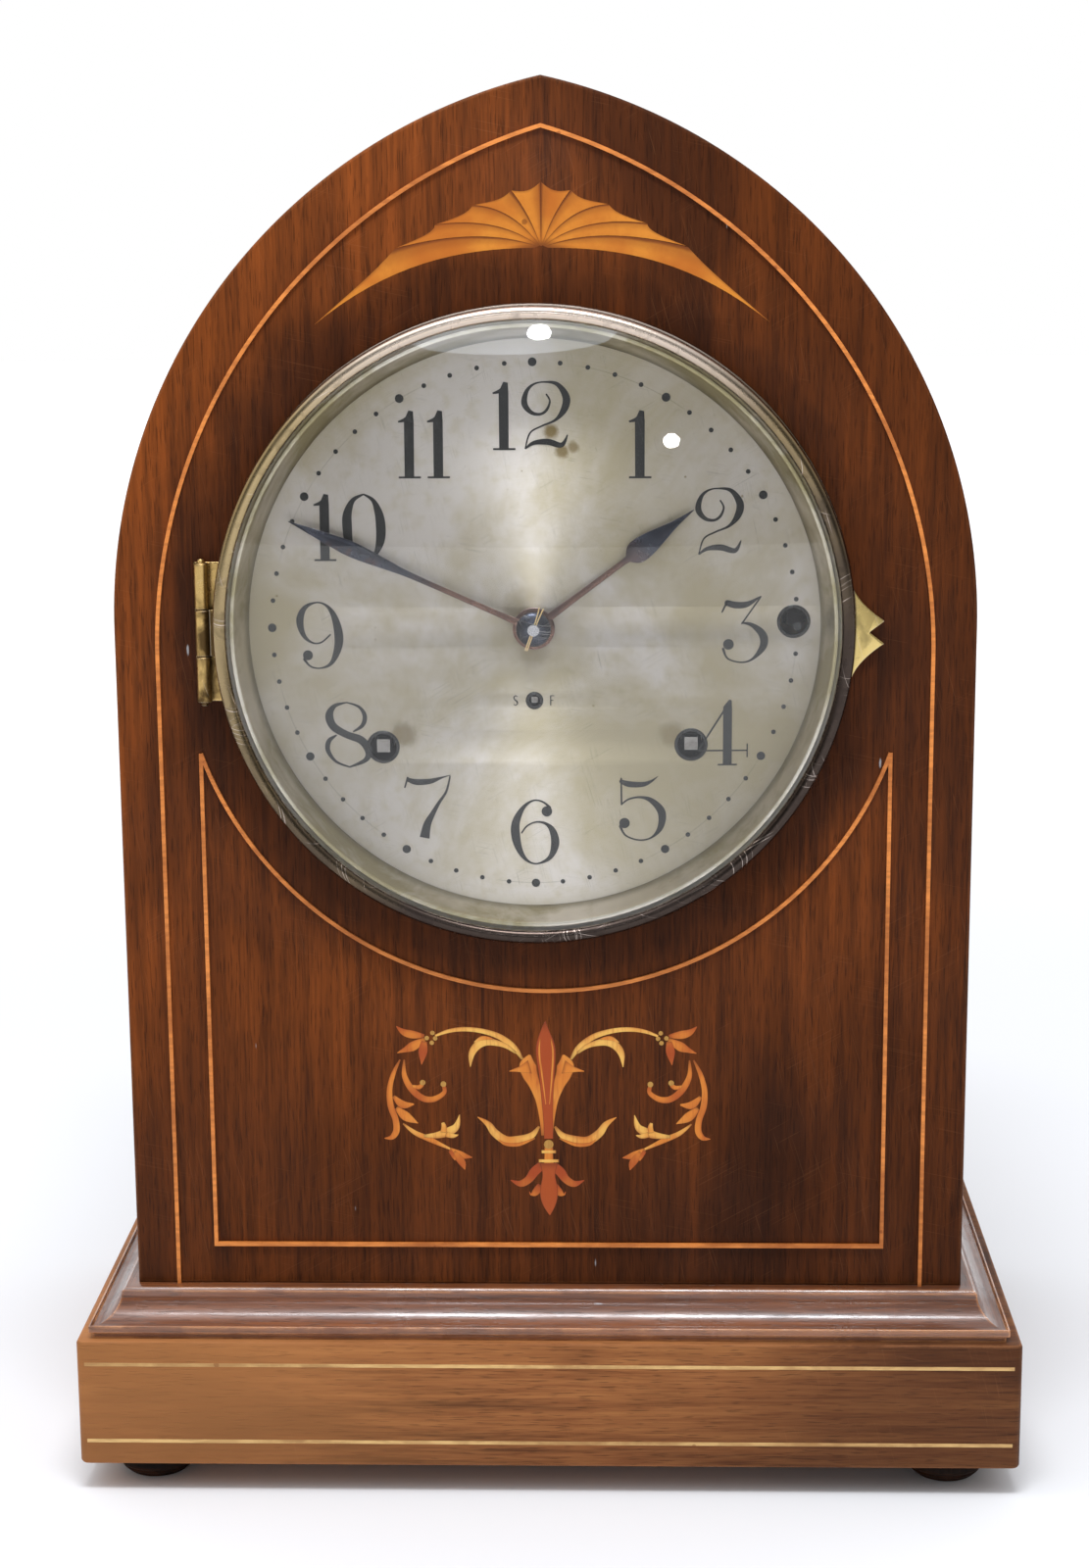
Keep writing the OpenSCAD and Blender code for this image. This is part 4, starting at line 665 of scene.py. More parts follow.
@dataclass(frozen=True)
class LineFinish:
    """Thin strips of pale wood let into the case, with dark glue at their sides."""

    name: str
    colour: Colour
    dark: Colour

    def build(self) -> Material:
        """Make the material.

        Returns:
            The material.
        """
        paint = Paint(self.name)
        n = paint.nodes
        fibre = n.noise(n.stretched(paint.place, (160, 160, 900)), 1, 3)
        patch = paint.effect(CLOUDS, Scale=38.0, Level=0.52)
        colour = n.mix(n.between(fibre, 0.35, 0.65, (0, 0.35)), self.colour, self.dark)
        colour = n.mix(n.times(patch, 0.45), colour, self.dark)
        gap = paint.effect(SPECKS, Scale=260.0, Share=0.16)
        colour = n.mix(n.times(gap, 0.6), colour, self.dark)
        rough = n.plus(0.32, n.times(patch, 0.15))
        paint.set(Base_Color=colour, Roughness=rough, Specular_IOR_Level=0.2)
        return paint.bump(fibre, 0.00004).material


@dataclass(frozen=True)
class FanFinish:
    """Satinwood blades, each scorched in hot sand along one side."""

    name: str = "satinwood fan"
    pale: Colour = tone(204, 128, 42)
    warm: Colour = tone(178, 98, 28)
    burnt: Colour = tone(96, 42, 12)

    def build(self) -> Material:
        """Make the material.

        Returns:
            The material.
        """
        paint = Paint(self.name)
        n = paint.nodes
        across, along = paint.attribute("across"), paint.attribute("along")
        fibre = n.noise(n.stretched(paint.place, (900, 900, 900)), 1, 3)
        cloud = n.noise(paint.place, 55, 3)
        colour = n.mix(n.between(cloud, 0.35, 0.65), self.pale, self.warm)
        colour = n.mix(n.between(fibre, 0.4, 0.75, (0, 0.25)), colour, self.warm)
        share = n.times(n.plus(across, 1), 0.5)
        reach = n.plus(share, n.times(n.minus(cloud, 0.5), 0.2))
        soft = n.between(reach, 0.55, 0.0)
        sharp = n.between(reach, 0.12, 0.0)
        scorch = n.plus(n.times(soft, 0.4), n.times(sharp, 0.5), clamp=True)
        hub = n.between(along, 0.16, 0.0)
        tip = n.times(n.between(along, 0.94, 1.0), 0.4)
        scorch = n.most(n.most(scorch, tip), n.times(hub, 0.8))
        colour = n.mix(scorch, colour, self.burnt)
        spot = paint.effect(SPECKS, Scale=240.0, Share=0.03)
        colour = n.mix(n.times(spot, 0.6), colour, self.burnt)
        rough = n.between(cloud, 0.2, 0.8, (0.3, 0.46))
        paint.set(Base_Color=colour, Roughness=rough, Specular_IOR_Level=0.2)
        return paint.bump(fibre, 0.00004).material


@dataclass(frozen=True)
class MarquetryFinish:
    """Cut veneers of several woods, shaded with a darker vein."""

    name: str = "marquetry scrollwork"
    pale: Colour = tone(228, 176, 88)
    warm: Colour = tone(208, 124, 46)
    red: Colour = tone(158, 66, 26)
    vein: Colour = tone(70, 30, 14)

    def build(self) -> Material:
        """Make the material.

        Returns:
            The material.
        """
        paint = Paint(self.name)
        n = paint.nodes
        across, along, tint = (paint.attribute(a) for a in ("across", "along", "tint"))
        colour = n.mix(n.between(tint, 0.0, 0.5), self.pale, self.warm)
        colour = n.mix(n.between(tint, 0.5, 1.0), colour, self.red)
        fibre = n.noise(n.stretched(paint.place, (1500, 1500, 200)), 1, 2)
        colour = n.mix(n.between(fibre, 0.45, 0.8, (0, 0.4)), colour, self.red)
        cloud = n.noise(paint.place, 160, 3)
        edge = n.maths("ABSOLUTE", across)
        shade = n.times(n.between(across, 0.1, 1.0), n.between(cloud, 0.2, 0.6))
        colour = n.mix(n.times(shade, 0.55), colour, self.red)
        rim = n.between(edge, 0.86, 1.0)
        colour = n.mix(n.times(rim, 0.6), colour, self.vein)
        root = n.between(along, 0.16, 0.0)
        colour = n.mix(n.times(root, 0.45), colour, self.vein)
        rough = n.between(cloud, 0.2, 0.8, (0.32, 0.48))
        paint.set(Base_Color=colour, Roughness=rough, Specular_IOR_Level=0.2)
        return paint.bump(fibre, 0.00003).material


@dataclass(frozen=True)
class MetalFinish:
    """Plain metal with tarnish, scratches and rubbed edges."""

    name: str
    colour: Colour
    tarnish: Colour
    rough: float = 0.3
    cover: float = 0.5
    scale: float = 90.0
    bright: float = 0.5
    lines: float = 0.4
    wear_radius: float = 0.0004
    # Radius in millimetres of the painted shade round each hole, and the depth behind the dial where it
    # starts
    oily: float = 0.0
    oily_from: float = 0.0

    def oil(self, paint: Paint) -> NodeSocket:
        """Mask of painted shade round the winding arbors, the near-black inside the dial's holes, from a
        depth behind the dial on.

        Args:
            paint: The material in the making.

        Returns:
            The mask.
        """
        n = paint.nodes
        around = paint.from_dial()
        away = None
        for x, z in (*Dial.holes, Dial.regulator):
            apart = n.length(n.vector("SUBTRACT", around, (x * MM, 0, z * MM)))
            away = apart if away is None else n.maths("MINIMUM", away, apart)
        near = n.between(away, (self.oily + 1.2) * MM, self.oily * MM)
        depth = n.axis(paint.place, 1)
        start = (LAYOUT.front + LAYOUT.dial_v + self.oily_from) * MM
        return n.times(near, n.between(depth, start, start + 0.3 * MM))

    def build(self) -> Material:
        """Make the material.

        Returns:
            The material.
        """
        paint = Paint(self.name)
        n = paint.nodes
        stain = paint.effect(CLOUDS, Scale=self.scale, Level=self.cover)
        colour = n.mix(stain, self.colour, self.tarnish)
        spot = paint.effect(SPECKS, Scale=620.0, Share=0.1)
        colour = n.mix(n.times(spot, 0.4), colour, self.tarnish)
        line = paint.effect(SCRATCHES, Density=self.lines)
        shine = n.mix(0.5, self.colour, (1, 0.97, 0.9, 1))
        colour = n.mix(line, colour, shine)
        edge = paint.effect(WEAR, Radius=self.wear_radius, Amount=self.bright)
        colour = n.mix(edge, colour, shine)
        # Painted shade: near-black inside the dial's holes, where little light reaches
        if self.oily > 0:
            colour = n.mix(self.oil(paint), colour, tone(16, 14, 12))
        fine = n.noise(paint.place, 900, 2)
        rough = n.plus(self.rough, n.times(stain, 0.2))
        rough = n.plus(rough, n.between(fine, 0.3, 0.7, (-0.04, 0.04)))
        paint.set(Base_Color=colour, Metallic=1.0, Roughness=rough)
        return paint.bump(n.plus(fine, n.times(stain, -0.6)), 0.00001).material


@dataclass(frozen=True)
class BezelFinish:
    """Plated brass gone brown and purple, paler where it was rubbed, with painted light: lighter to the
    upper left and a painted highlight along the top.
    """

    name: str = "tarnished bezel"
    # Brown and olive are the shaded and the lit sides of the painted light; pale also makes the painted
    # highlight at the top
    brown: Colour = tone(66, 57, 52)
    olive: Colour = tone(166, 146, 108)
    dark: Colour = tone(44, 36, 36)
    pale: Colour = tone(222, 206, 196)

    def build(self) -> Material:
        """Make the material.

        Returns:
            The material.
        """
        paint = Paint(self.name)
        n = paint.nodes
        around = paint.from_dial()
        # Painted light from the upper left, broken up by tarnish clouds
        upper_left_light = n.dot(around, (-5, 0, 8))
        cloud = n.noise(paint.place, 45, 4, 0.6)
        light_and_tarnish = n.plus(upper_left_light, n.times(n.minus(cloud, 0.5), 0.7))
        colour = n.mix(n.between(light_and_tarnish, -0.5, 0.8), self.brown, self.olive)
        # Painted highlight along the top of the bezel
        top = n.between(n.axis(around, 2), 0.05, 0.078, (0, 0.7))
        colour = n.mix(top, colour, self.pale)
        radius = n.length(around)
        tab = n.between(radius, 0.0818, 0.0824)
        colour = n.mix(tab, colour, tone(206, 182, 118))
        stain = paint.effect(CLOUDS, Scale=170.0, Level=0.62)
        colour = n.mix(n.times(stain, 0.35), colour, self.dark)
        groove = n.times(n.between(radius, 0.0785, 0.0781), n.between(radius, 0.0768, 0.0772))
        colour = n.mix(n.times(groove, 0.85), colour, self.dark)
        line = paint.effect(SCRATCHES, Density=0.6)
        edge = paint.effect(WEAR, Radius=0.0005, Amount=0.9)
        colour = n.mix(n.most(line, edge), colour, self.pale)
        rough = n.plus(0.26, n.times(stain, 0.15))
        paint.set(Base_Color=colour, Metallic=1.0, Roughness=rough)
        return paint.bump(n.noise(paint.place, 500, 3), 0.000008).material


@dataclass(frozen=True)
class RingFinish:
    """Silvered slope between the bezel and the dial, gone yellow in places."""

    name: str = "silvered ring"
    silver: Colour = tone(208, 201, 188)
    yellow: Colour = tone(160, 150, 116)

    def build(self) -> Material:
        """Make the material.

        Returns:
            The material.
        """
        paint = Paint(self.name)
        n = paint.nodes
        stain = paint.effect(CLOUDS, Scale=30.0, Level=0.5)
        colour = n.mix(stain, self.silver, self.yellow)
        radius = n.length(paint.from_dial())
        foot = n.between(radius, 0.0742, 0.0728)
        colour = n.mix(n.times(foot, 0.7), colour, tone(120, 112, 82))
        lines = n.noise(n.add("ShaderNodeCombineXYZ", {0: radius}), 5200, 1)
        rough = n.plus(0.3, n.times(stain, 0.12))
        paint.set(Base_Color=colour, Metallic=1.0, Roughness=rough)
        return paint.bump(lines, 0.000006).material


@dataclass(frozen=True)
class DialFinish:
    """Silvered brass, turned to a fine circular grain, pitted and scratched with age."""

    name: str = "silvered dial"
    silver: Colour = tone(216, 210, 204)
    yellow: Colour = tone(196, 186, 160)
    brown: Colour = tone(132, 112, 66)
    grey: Colour = tone(112, 108, 88)
    # Place from the dial's centre, radius and strength of each brown mark
    stains: tuple[tuple[float, float, float, float], ...] = (
        (4.6, 49.5, 2.6, 0.9),
        (7.4, 44.5, 2.2, 0.8),
        (10.2, 45.5, 2.0, 0.7),
        (-33.6, -27.6, 4.6, 0.55),
        (0.0, -6.5, 5.0, 0.3),
        (35.0, -27.5, 4.4, 0.35),
        (-2.0, 6.0, 7.0, 0.3),
    )

    def stain_mask(self, paint: Paint, around: NodeSocket) -> NodeSocket:
        """Mask of the brown marks: round the holes, by the hub and at the top.

        Args:
            paint: The material in the making.
            around: Vector from the dial's axis.

        Returns:
            The mask.
        """
        n = paint.nodes
        ragged = n.noise(paint.place, 420, 4, 0.7)
        total = None
        for x, z, radius, strength in self.stains:
            away = n.length(n.vector("SUBTRACT", around, (x * MM, 0, z * MM)))
            frayed = n.times(away, n.plus(0.45, n.times(ragged, 1.1)))
            mask = n.between(frayed, radius * MM, 0.35 * radius * MM, (0, strength))
            total = mask if total is None else n.most(total, mask)
        return total

    def build(self) -> Material:
        """Make the material.

        Returns:
            The material.
        """
        paint = Paint(self.name)
        n = paint.nodes
        around = paint.from_dial()
        radius = n.length(around)
        rings = n.noise(n.add("ShaderNodeCombineXYZ", {0: radius}), 3800, 2)
        patch = paint.effect(CLOUDS, Scale=17.0, Level=0.52)
        colour = n.mix(patch, self.silver, self.yellow)
        fine = n.noise(paint.place, 260, 3)
        colour = n.mix(n.between(fine, 0.45, 0.75, (0, 0.4)), colour, self.yellow)
        colour = n.mix(self.stain_mask(paint, around), colour, self.brown)
        for scale, share, depth, shade in ((1300.0, 0.3, 0.55, self.grey), (560.0, 0.06, 0.6, self.brown)):
            spot = paint.effect(SPECKS, Scale=scale, Share=share)
            where = n.between(n.noise(paint.place, 40, 3), 0.42, 0.6)
            colour = n.mix(n.times(n.times(spot, where), depth), colour, shade)
        line = paint.effect(SCRATCHES, Vector=n.stretched(paint.place, (2.5, 2.5, 2.5)), Density=0.7)
        colour = n.mix(n.times(line, 0.5), colour, self.grey)
        scribed = n.between(n.maths("ABSOLUTE", n.minus(radius, 0.0667)), 0.00012, 0.00004)
        broken = n.between(n.noise(paint.place, 28, 2), 0.5, 0.58)
        colour = n.mix(n.times(n.times(scribed, broken), 0.35), colour, self.grey)
        rim = n.between(radius, 0.0685, 0.0727)
        colour = n.mix(n.times(rim, 0.3), colour, self.yellow)
        rough = n.plus(n.between(rings, 0.3, 0.7, (0.58, 0.66)), n.times(patch, 0.06))
        paint.set(Base_Color=colour, Metallic=0.96, Roughness=rough, Anisotropic=0.86)
        paint.set(Tangent=n.vector("NORMALIZE", around))
        return paint.bump(n.minus(rings, n.times(line, 0.8)), 0.000003).material


@dataclass(frozen=True)
class BlackFinish:
    """Black filling or enamel, worn thin here and there."""

    name: str
    black: Colour
    thin: Colour
    rough: float
    level: float

    def build(self) -> Material:
        """Make the material.

        Returns:
            The material.
        """
        paint = Paint(self.name)
        n = paint.nodes
        worn = paint.effect(CLOUDS, Scale=300.0, Level=self.level)
        line = paint.effect(SCRATCHES, Density=0.8)
        colour = n.mix(n.most(n.times(worn, 0.7), line), self.black, self.thin)
        paint.set(Base_Color=colour, Roughness=n.plus(self.rough, n.times(worn, 0.15)))
        return paint.bump(worn, 0.000008).material


@dataclass(frozen=True)
class HandFinish:
    """Blued steel that has gone brown towards the middle."""

    name: str = "blued steel"
    blue: Colour = tone(66, 68, 76)
    deep: Colour = tone(30, 30, 34)
    brown: Colour = tone(110, 84, 74)
    heads: Flat = (0.024, 0.036)

    def build(self) -> Material:
        """Make the material.

        Returns:
            The material.
        """
        paint = Paint(self.name)
        n = paint.nodes
        radius = n.length(paint.from_dial())
        cloud = n.noise(paint.place, 110, 4)
        reach = n.plus(radius, n.times(n.minus(cloud, 0.5), 0.012))
        colour = n.mix(n.between(reach, self.heads[0], self.heads[1]), self.brown, self.blue)
        colour = n.mix(n.between(cloud, 0.4, 0.7, (0, 0.55)), colour, self.deep)
        rust = paint.effect(CLOUDS, Scale=240.0, Level=0.66)
        colour = n.mix(n.times(rust, 0.6), colour, tone(96, 66, 50))
        edge = paint.effect(WEAR, Radius=0.00025, Amount=0.8)
        colour = n.mix(edge, colour, tone(168, 160, 164))
        rough = n.between(cloud, 0.3, 0.7, (0.24, 0.36))
        paint.set(Base_Color=colour, Metallic=1.0, Roughness=rough)
        return paint.bump(n.noise(paint.place, 1400, 2), 0.000006).material


@dataclass(frozen=True)
class GlassFinish:
    """Clear convex glass that lets the light through to the dial."""

    name: str = "dial glass"

    def build(self) -> Material:
        """Make the material.

        Returns:
            The material.
        """
        paint = Paint(self.name)
        n = paint.nodes
        smear = paint.effect(CLOUDS, Scale=22.0, Level=0.6)
        paint.set(Base_Color=(1, 1, 1, 1), Roughness=n.times(smear, 0.02), IOR=1.46, Metallic=0.0)
        paint.set(Transmission_Weight=1.0, Specular_IOR_Level=0.2, Coat_Weight=0.2, Coat_Roughness=0.25)
        clear = n.add("ShaderNodeBsdfTransparent", {"Color": (0.98, 0.98, 0.975, 1)})
        path = n.add("ShaderNodeLightPath").outputs
        unseen = n.minus(1, path["Is Camera Ray"])
        mixed = n.add("ShaderNodeMixShader", {0: unseen, 1: paint.shader, 2: clear})
        n.feed(paint.out.inputs[0], mixed)
        return paint.material


MAHOGANY = {"light": tone(142, 72, 26), "mid": tone(96, 48, 17), "dark": tone(54, 26, 11)}
GOLDEN = {"light": tone(176, 118, 70), "mid": tone(134, 82, 48), "dark": tone(62, 36, 24)}
BROWN = {"light": tone(150, 90, 52), "mid": tone(104, 58, 34), "dark": tone(54, 28, 18)}
CLOCK_BRASS = {"colour": tone(226, 192, 118), "tarnish": tone(150, 112, 58), "cover": 0.62, "scale": 40}


class Finishes:
    """All the materials of the clock, each made once."""

    def __init__(self) -> None:
        """Build every finish."""
        steel = tone(178, 178, 182)
        # The front board takes painted shade, darker to the right and low down
        self.front = WoodFinish("mahogany front", **MAHOGANY, chips=0.03, aged=0.6).build()
        self.side = WoodFinish("mahogany side", **MAHOGANY, grain=Grain.ALONG, ribbon=0.8).build()
        # The plinth block takes painted side light, lighter on the left and darker on the right
        self.block = WoodFinish(
            "mahogany plinth", **GOLDEN, grain=Grain.ALONG, ribbon=0.9, patches=0.9, wear=0.9, sided=0.6
        ).build()
        self.moulding = WoodFinish(
            "mahogany moulding", **BROWN, grain=Grain.ALONG, wear=1.0, worn=tone(206, 140, 88),
            rough=0.24, coat=1.0,
            shine=0.5
        ).build()
        self.rear = WoodFinish("mahogany back", **BROWN, rough=0.45, coat=0.1, wear=0.3).build()
        self.feet = WoodFinish(
            "ebonised feet", tone(52, 36, 28), tone(30, 22, 18), tone(14, 11, 10), worn=tone(110, 66, 44),
            wear=0.5
        ).build()
        self.softwood = WoodFinish(
            "pale softwood", tone(214, 172, 118), tone(186, 140, 88), tone(128, 84, 46), grain=Grain.ACROSS,
            rough=0.6, coat=0.0, wear=0.2
        ).build()
        self.straw = LineFinish("straw stringing", tone(224, 184, 122), tone(136, 84, 44)).build()
        self.orange = LineFinish("orange stringing", tone(222, 136, 66), tone(122, 58, 26)).build()
        self.fan = FanFinish().build()
        self.marquetry = MarquetryFinish().build()
        self.bezel = BezelFinish().build()
        self.ring = RingFinish().build()
        self.dial = DialFinish().build()
        self.figures = BlackFinish(
            "black filling", tone(18, 18, 19), tone(58, 57, 55), rough=0.5, level=0.64
        ).build()
        self.enamel = BlackFinish(
            "black enamel", tone(10, 10, 11), tone(48, 40, 34), rough=0.2, level=0.7
        ).build()
        self.hands = HandFinish().build()
        self.washer = MetalFinish(
            "blued washer", tone(70, 74, 86), tone(38, 36, 40), rough=0.3, lines=0.8
        ).build()
        self.glass = GlassFinish().build()
        self.hinge = MetalFinish("hinge brass", tone(196, 164, 104), tone(92, 72, 44), cover=0.55).build()
        self.pin = MetalFinish("pin brass", tone(216, 184, 124), tone(120, 92, 52), cover=0.6).build()
        self.movement = MetalFinish("movement brass", **CLOCK_BRASS).build()
        self.pendulum = MetalFinish(
            "pendulum brass", tone(232, 196, 116), tone(140, 102, 52), cover=0.66, scale=50
        ).build()
        self.knob = MetalFinish("knob brass", tone(220, 182, 104), tone(112, 82, 42), cover=0.58).build()
        self.bronze = MetalFinish(
            "bell bronze", tone(206, 180, 128), tone(112, 92, 58), cover=0.5, scale=35
        ).build()
        self.arbor = MetalFinish("arbor steel", steel, tone(104, 98, 92), rough=0.25, cover=0.62).build()
        # Plates and winding arbors take painted shade inside the dial's holes
        self.plates = MetalFinish("plate brass", **CLOCK_BRASS, oily=8.0).build()
        self.winding = MetalFinish(
            "winding steel", tone(150, 146, 142), tone(90, 84, 78),
            rough=0.34, cover=0.62, oily=8.0, oily_from=2.7
        ).build()
        self.fixing = MetalFinish("fixing steel", tone(150, 150, 154), tone(86, 78, 72), rough=0.38).build()
        self.hammer = MetalFinish("hammer steel", tone(164, 164, 170), tone(94, 84, 78), rough=0.36).build()


class Part:
    """A piece in the making, in metres in the row's own frame."""

    def __init__(self) -> None:
        """Start with no faces."""
        self.form = bmesh.new()

    def points(self, places: Sequence[Vector]) -> list[BMVert]:
        """Add points."""
        return [self.form.verts.new(p) for p in places]

    def bridge(self, low: list[BMVert], high: list[BMVert]) -> None:
        """Faces between two loops, either of which may be a single point.

        Args:
            low: First loop.
            high: Second loop.
        """
        for k in range(max(len(low), len(high))):
            corners = [low[k % len(low)], low[(k + 1) % len(low)]]
            corners += [high[(k + 1) % len(high)], high[k % len(high)]]
            apart = list(dict.fromkeys(corners))
            if len(apart) > 2:
                self.form.faces.new(apart)

    def skin(
        self,
        rows: Sequence[Sequence[Vector]],
        closed: bool = False,
        caps: bool = True,
        grain: Callable[[int, int], Flat] | None = None,
    ) -> "Part":
        """Cover rows of points, each of which is a loop.

        Args:
            rows: Loops with the same number of points each.
            closed: Whether the last loop joins the first.
            caps: Whether the first and last loops are filled.
            grain: Gives the place in the wood's grain of a point from its row and number.

        Returns:
            The part.
        """
        net = [self.points(row) for row in rows]
        count, width = len(net), len(net[0])
        layer = self.form.loops.layers.uv.verify() if grain else None
        for i in range(count if closed else count - 1):
            for j in range(width):
                k = (j + 1) % width
                nxt = (i + 1) % count
                face = self.form.faces.new([net[i][j], net[i][k], net[nxt][k], net[nxt][j]])
                if grain:
                    spots = ((i, j), (i, j + 1), (i + 1, j + 1), (i + 1, j))
                    for loop, spot in zip(face.loops, spots, strict=True):
                        loop[layer].uv = grain(*spot)
        if caps and not closed:
            for row in (net[0], net[-1]):
                self.form.faces.new(row)
        return self

    def turned(
        self,
        profile: Sequence[Flat],
        x: float,
        z: float,
        axis: Axis = Axis.DIAL,
        steps: int = 180,
        closed: bool = True,
    ) -> "Part":
        """Turn a profile about an axis.

        Args:
            profile: Radius against distance forward of the case, or against height.
            x: Where the axis stands from side to side.
            z: Height of the axis, or for an upright one its distance behind the front.
            axis: Which way it runs.
            steps: Steps in a full turn.
            closed: Whether the profile is a loop. If not, its ends are on the axis.

        Returns:
            The part.
        """
        rings = []
        for radius, along in profile:
            turns = [2 * math.pi * k / steps for k in range(steps if radius > TINY else 1)]
            ring = [(x + radius * math.cos(a), z + radius * math.sin(a)) for a in turns]
            if axis is Axis.DIAL:
                spots = [LAYOUT.place(across, -along, up) for across, up in ring]
            else:
                spots = [LAYOUT.place(across, back, along) for across, back in ring]
            rings.append(self.points(spots))
        following = rings[1:] + (rings[:1] if closed else [])
        for low, high in zip(rings, following, strict=False):
            self.bridge(low, high)
        return self

    def plate(
        self, loops: Sequence[Sequence[Flat]], v0: float, v1: float, edge: float = 0.0, steps: int = 2
    ) -> "Part":
        """Flat board with rounded edges.

        Args:
            loops: Outline, counter-clockwise, and then holes, clockwise, in the front view.
            v0: Distance of its face behind the front.
            v1: Distance of its back.
            edge: Radius of its edges.
            steps: Steps of that rounding.

        Returns:
            The part.
        """
        curve = bpy.data.curves.new("outline", "CURVE")
        curve.dimensions = "2D"
        curve.fill_mode = "BOTH"
        for loop in loops:
            spline = curve.splines.new("POLY")
            spline.points.add(len(loop) - 1)
            for point, (x, z) in zip(spline.points, loop, strict=True):
                point.co = (x, z, 0, 1)
            spline.use_cyclic_u = True
        curve.extrude = (v1 - v0) / 2 - edge
        curve.bevel_depth = edge
        curve.bevel_resolution = steps
        curve.offset = -edge
        middle = (v0 + v1) / 2
        mesh = plain_mesh(link("outline", curve))
        for vertex in mesh.vertices:
            x, z, forward = vertex.co
            vertex.co = LAYOUT.place(x, middle - forward, z)
        return self.absorb(mesh)

    def absorb(self, mesh: Mesh) -> "Part":
        """Take in a mesh, with its doubles merged.

        Args:
            mesh: Mesh in the row's frame, removed afterwards.

        Returns:
            The part.
        """
        own = bmesh.new()
        own.from_mesh(mesh)
        bmesh.ops.remove_doubles(own, verts=own.verts, dist=0.002 * MM)
        own.to_mesh(mesh)
        own.free()
        self.form.from_mesh(mesh)
        bpy.data.meshes.remove(mesh)
        return self

    def veneer(
        self, rows: Sequence[Sequence[Flat]], v0: float, v1: float, tints: Sequence[float] | float = 0.0
    ) -> "Part":
        """Thin slip of wood or paint over a net of front view points.

        Args:
            rows: Rows from end to end, each with its points from side to side.
            v0: Distance of its face behind the front.
            v1: Distance of its back.
            tints: Tint for each row, or one for all.

        Returns:
            The part.
        """
        layers = {}
        for label in ("across", "along", "tint"):
            stored = self.form.verts.layers.float
            layers[label] = stored.get(label) or stored.new(label)
        count, width = len(rows), len(rows[0])
        sides = []
        for v in (v0, v1):
            net = [self.points([LAYOUT.place(x, v, z) for x, z in row]) for row in rows]
            for i, row in enumerate(net):
                for j, vert in enumerate(row):
                    vert[layers["across"]] = 2 * j / (width - 1) - 1
                    vert[layers["along"]] = i / (count - 1)
                    vert[layers["tint"]] = tints if isinstance(tints, float) else tints[i]
            for a, b in zip(net, net[1:], strict=False):
                for j in range(width - 1):
                    self.form.faces.new([a[j], a[j + 1], b[j + 1], b[j]])
            sides.append(net)
        rims = []
        for net in sides:
            right, left = [row[-1] for row in net[1:]], [row[0] for row in net[-2:0:-1]]
            rims.append([*net[0], *right, *net[-1][-2::-1], *left])
        self.bridge(rims[0], rims[1])
        return self

    def boxed(self) -> "Part":
        """Lay the wood's grain on level, from the front, the sides and the top.

        Returns:
            The part.
        """
        layer = self.form.loops.layers.uv.verify()
        self.form.normal_update()
        for face in self.form.faces:
            level = abs(face.normal.x) > 0.71
            for loop in face.loops:
                x, y, z = loop.vert.co
                along, other = (y + 0.7, z) if level else (x, z if abs(face.normal.z) < 0.71 else y + 0.3)
                loop[layer].uv = (along, other)
        return self

    def close(self, name: str) -> Mesh:
        """Mesh of the part, which ends with this.

        Args:
            name: Name of the mesh.

        Returns:
            The mesh.
        """
        mesh = bpy.data.meshes.new(name)
        self.form.to_mesh(mesh)
        self.form.free()
        return mesh

    def finish(
        self, name: str, material: Material, body: str, node: str, slot: str, angle: float = 35
    ) -> None:
        """Make the object with smooth faces, hang it on its body, hide the node that it stands for, and
        report it.

        Args:
            name: Name of the piece.
            material: Its material.
            body: Body that it rides on.
            node: Node that it stands for.
            slot: Not used.
            angle: Edges sharper than this stay sharp, in degrees.
        """
        bmesh.ops.recalc_face_normals(self.form, faces=self.form.faces)
        for face in self.form.faces:
            face.smooth = True
        mesh = self.close(name)
        if mesh.uv_layers:
            mesh.uv_layers[0].name = "grain"
        mesh.set_sharp_from_angle(angle=math.radians(angle))
        mesh.materials.append(material)
        piece = link(name, mesh)
        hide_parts(node)
        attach(piece, body)
        log.info("%s: %d faces, on %s", name, len(mesh.polygons), body)


def ribbon(stroke: Stroke, across: int = 2) -> list[list[Flat]]:
    """Rows of points over a stroke of centre points with half widths.

    Args:
        stroke: Centre points, each with its half width.
        across: Spaces from side to side.

    Returns:
        A row for each point of the stroke.
    """
    rows = []
    for i, (x, z, half) in enumerate(stroke):
        a, b = stroke[max(0, i - 1)], stroke[min(len(stroke) - 1, i + 1)]
        ahead = Vector((b[0] - a[0], b[1] - a[1]))
        side = Vector((-ahead.y, ahead.x)).normalized() * half
        shares = [2 * k / across - 1 for k in range(across + 1)]
        rows.append([(x + side.x * s, z + side.y * s) for s in shares])
    return rows


